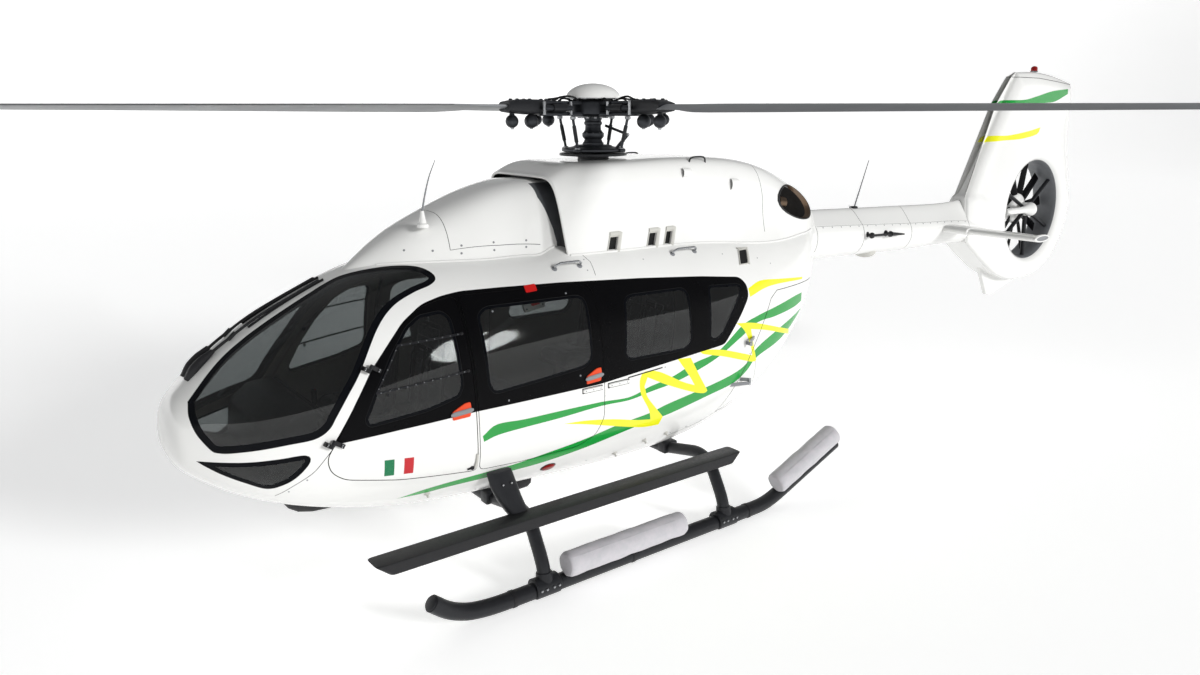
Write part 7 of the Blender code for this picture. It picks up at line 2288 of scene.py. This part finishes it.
    # The release pull in its light housing over the sliding window.
    corners = ((-1.165, 1.985), (-0.985, 2.005), (-0.985, 2.088), (-1.165, 2.080))
    line = rounded(corners, 0.02, 4)
    loft(window, [[on_skin(s, z, out)[0] for s, z in line] for out in (-0.030, -0.0125)], CREAM)
    for s, z in ((-1.145, 2.003), (-1.005, 2.022)):
        point, normal = on_skin(s, z, -0.0125)
        screw(window, point, normal, 0.005, DARK)
    line = rounded(((-1.098, 2.020), (-1.028, 2.026), (-1.028, 2.098), (-1.098, 2.094)), 0.008, 3)
    loft(window, [[on_skin(s, z, out)[0] for s, z in line] for out in (-0.014, -0.0108)], RED_PAINT)
    line = rounded(((-1.115, 2.108), (-1.020, 2.112), (-1.020, 2.158), (-1.115, 2.154)), 0.008, 3)
    loft(window, [[on_skin(s, z, out)[0] for s, z in line] for out in (-0.001, 0.0035)], RED_PAINT)
    for word, turn in SIDES:
        turn(window).piece("release_pull_" + word, "airframe", (), "red_lens", 40)
    outside.mirror().piece("outside_fittings", "airframe", (), "dark_metal", 40)

    # On the cockpit doors: the vent window's frame and the handle.
    vent = Shape()
    top_bar, low_bar = ((-2.139, 1.883), (-1.690, 1.907)), ((-2.330, 1.604), (-1.690, 1.660))
    strip(vent, *top_bar, 0.003, 0.015, DARK, 8)
    strip(vent, *low_bar, 0.003, 0.015, DARK, 11)
    strip(vent, low_bar[0], top_bar[0], 0.003, 0.010, DARK, 5)
    for spot in (top_bar[1], low_bar[1], (-2.26, 1.585)):
        point, normal = on_skin(*spot)
        sweep(vent, (point, point + normal * 0.010, point + normal * 0.014), (0.011, 0.011, 0.006), PLASTIC,
              14)
    merged(vent, door_handle(-1.765, 1.385))
    slide = door_handle(-0.655, 1.440)
    merged(slide, rail_bar(-0.675, 1.345, 0.18))
    for s, z in ((-1.42, 2.02), (-0.79, 2.07), (-1.40, 1.40), (-0.78, 1.47)):
        point, normal = on_skin(s, z)
        screw(slide, point, normal, 0.006, GREY_PAINT)
    for word, turn in SIDES:
        turn(vent).piece("door_fittings_" + word, "cockpit_door_" + word, (), "dark_metal", 40)
        turn(slide).piece("sliding_door_fittings_" + word, "airframe", (), "dark_metal", 40)


def build_exhausts():
    """The two outlets: a rim almost level with the cowling, and a sooty bore behind it."""
    lift, _ = cowl_maps(COWL, LIP_LEAN)
    along = unit(np.subtract(EXHAUST_OUT, EXHAUST_IN))
    hole = ring_hole(lift, EXHAUST_IN, along, EXHAUST_RADIUS + 0.012, EXHAUST_SPAN, 56)
    edge, out = lift(hole), normals_of(lift, hole)
    middle = edge.mean(axis=0)
    left = Shape()
    rings = []
    for shrink, lifted, back in ((1.03, -0.004, 0.0), (1.03, 0.006, 0.0), (1.0, 0.011, 0.0),
                                 (0.965, 0.010, 0.0), (0.94, 0.002, 0.01), (0.93, 0.0, 0.05),
                                 (0.90, 0.0, 0.14), (0.80, 0.0, 0.24)):
        rings.append(middle + (edge - middle) * shrink + out * lifted - along * back)
    for k in range(len(rings) - 1):
        loft(left, rings[k:k + 2], PLASTIC if k < 3 else STEEL if k < 5 else SOOT, True, False)
    left.put(rings[-1], [tuple(range(len(hole)))], SOOT)
    sweep(left, [middle - along * 0.235, middle - along * 0.15], (0.062, 0.050), STEEL, 24)
    for word, turn in SIDES:
        turn(left).piece("exhaust_outlet_" + word, "airframe", "exhaust_" + word, "exhaust_steel", 40)


def build_lamps():
    """The beacon on the fin, the landing lamp, the housing under the nose, and the enclosed machinery."""
    beacon = Shape()
    seat_point = (0.0, 6.95, 3.8403)
    turned(beacon, seat_point, ((0.046, 0.0), (0.046, 0.010), (0.043, 0.014), (0.040, 0.014)), BRIGHT, "Z",
           32, True)
    lens = [(0.040, 0.013), (0.0395, 0.046)] + [(0.039 * math.cos(a), 0.046 + 0.028 * math.sin(a))
                                                for a in np.linspace(0.1, 1.5, 8)]
    turned(beacon, seat_point, lens, RED, "Z", 32, True)
    for k in range(5):
        turned(beacon, (0.0, 6.95, 3.8403 + 0.018 + 0.006 * k),
               ((0.0398, 0.0), (0.0412, 0.001), (0.0398, 0.002)), RED, "Z", 32)
    beacon.piece("beacon_lens", "airframe", "fin_beacon", "red_lens", 40)

    lamp = Shape()
    body = [(-0.5, 0.60), (-0.5, 0.52), (-0.42, 0.445), (-0.30, 0.412), (0.0, 0.4005), (0.30, 0.404),
            (0.45, 0.43), (0.5, 0.50), (0.5, 0.60)]
    rings = []
    for x, shrink in ((0.160, 0.74), (0.166, 0.86), (0.182, 0.96), (0.215, 1.0), (0.285, 1.0), (0.318, 0.96),
                      (0.334, 0.86), (0.340, 0.74)):
        ring = []
        for s, z in body:
            roof = float(pod_rows(-0.98)[0]) + 0.03
            ring.append((x, -0.98 + s * 0.238 * shrink, min(roof, 0.52 + (z - 0.52) * shrink)))
        rings.append(ring)
    loft(lamp, rings, PLASTIC)
    face = np.array((0.25, -1.062, 0.452))
    look = unit((0.0, -0.8, -0.6))
    sweep(lamp, [face - look * 0.02, face + look * 0.030, face + look * 0.034], (0.058, 0.058, 0.052), BRIGHT,
          28)
    sweep(lamp, [face + look * 0.030, face + look * 0.0355, face + look * 0.038], (0.051, 0.048, 0.02),
          LAMP_GLASS, 28)
    lamp.piece("landing_lamp", "airframe", "belly_lamp", "white_paint", 40)

    # The flat black housing under the nose.
    box = Shape()
    rings = []
    for s, half, low in ((-2.76, 0.06, 0.655), (-2.74, 0.10, 0.625), (-2.68, 0.135, 0.590),
                         (-2.58, 0.150, 0.568), (-2.42, 0.150, 0.560), (-2.30, 0.135, 0.565),
                         (-2.24, 0.10, 0.580), (-2.225, 0.06, 0.60)):
        top = float(pod_rows(s)[0]) + 0.02
        ring = [(-0.05 + half * x, s, low + (top - low) * z) for x, z in
                ((-1, 1), (-1, 0.45), (-0.9, 0.12), (-0.7, 0), (0.7, 0), (0.9, 0.12), (1, 0.45), (1, 1))]
        rings.append(ring)
    loft(box, rings, PLASTIC)
    box.piece("nose_housing", "airframe", (), "black_plastic", 40)

    # The engines and the gearbox keep their CAD form and take a finish.
    for node, finish in (("engine_left", IRON), ("engine_right", IRON), ("main_gearbox", DARK)):
        for slot in bpy.data.objects[node].material_slots:
            slot.material = finish


# Signal red of the release pull, and the glass of the landing lamp.
RED_PAINT = material("red_paint", "#D0110E", 0.35, "#BC0F0C", 12.0, 0.8, 0.00005, 200.0)
LAMP_GLASS = material("lamp_glass", "#E9EDF0", 0.06, "#DDE3E8", 30.0, 0.8, 0.0004, 120.0, 0.03,
                      Transmission_Weight=0.6)

build_floor()
build_seats()
build_panel()
build_hinges()
build_fittings()
build_exhausts()
build_lamps()


# The key light's strength, spread and direction, the glow of the surround and of the paper, and where the
# backdrop's wall starts, how round its foot is and how high it stands.
KEY_STRENGTH = 2.35
KEY_SPREAD = math.radians(14)
KEY_LOOK = Vector((-0.80, -0.30, -0.29))
SURROUND_STRENGTH = 0.25
PAPER_GLOW = 0.50
WALL_START, WALL_RADIUS, WALL_HEIGHT = 45.0, 25.0, 15.5
# The camera that was fitted to the photograph: focal length in mm on a 36 mm sensor, place and turn.
FOCAL_LENGTH = 26.46
CAMERA_PLACE = (6.0, -5.770, 3.4)
CAMERA_TURN = (math.radians(75.42), 0.0, math.radians(53.0))


def studio():
    """A pale floor that runs up into a round backdrop, a soft key from port and aft, a pale surround."""
    profile = [(0.0, 0.0), (12.0, 0.0), (WALL_START, 0.0)]
    for a in np.linspace(0.1, math.pi / 2, 12):
        profile.append((WALL_START + WALL_RADIUS * math.sin(a), WALL_HEIGHT - WALL_HEIGHT * math.cos(a)))
    bowl = Shape()
    paper = material("studio_paper", "#F6F6F5", 0.8, "#F3F3F2", 0.4, 0.9, Emission_Color=colour("#FFFFFF"),
                     Emission_Strength=PAPER_GLOW)
    turned(bowl, (0.0, 0.0, -0.002), profile, paper, "Z", 96)
    ground = bpy.data.objects.new("studio_floor", bowl.mesh("studio_floor", 60))
    ground.data.flip_normals()
    bpy.context.scene.collection.objects.link(ground)
    lamp = bpy.data.lights.new("key", "SUN")
    lamp.energy = KEY_STRENGTH
    lamp.angle = KEY_SPREAD
    hung = bpy.data.objects.new("key", lamp)
    hung.rotation_euler = KEY_LOOK.to_track_quat("-Z", "Y").to_euler()
    # The key lights the paint, and no disc of it is mirrored in the glass.
    hung.visible_glossy = False
    bpy.context.scene.collection.objects.link(hung)
    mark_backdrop(ground, hung)
    world = bpy.data.worlds.new("surround")
    world.use_nodes = True
    world.node_tree.nodes["Background"].inputs["Color"].default_value = colour("#F7F8FA")
    world.node_tree.nodes["Background"].inputs["Strength"].default_value = SURROUND_STRENGTH
    bpy.context.scene.world = world
    bpy.context.scene.view_settings.view_transform = "Standard"

    lens = bpy.data.cameras.new("camera")
    lens.sensor_fit = "HORIZONTAL"
    lens.sensor_width = 36.0
    lens.lens = FOCAL_LENGTH
    lens.clip_end = 200.0
    camera = bpy.data.objects.new("camera", lens)
    camera.location = CAMERA_PLACE
    camera.rotation_euler = CAMERA_TURN
    bpy.context.scene.collection.objects.link(camera)
    bpy.context.scene.camera = camera


studio()


def plain(value):
    """Nested sequences as lists of plain numbers."""
    return [plain(v) for v in value] if hasattr(value, "__len__") else float(value)


{"cad": plain(SIZE_AT_START), "dressed": plain(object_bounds())}
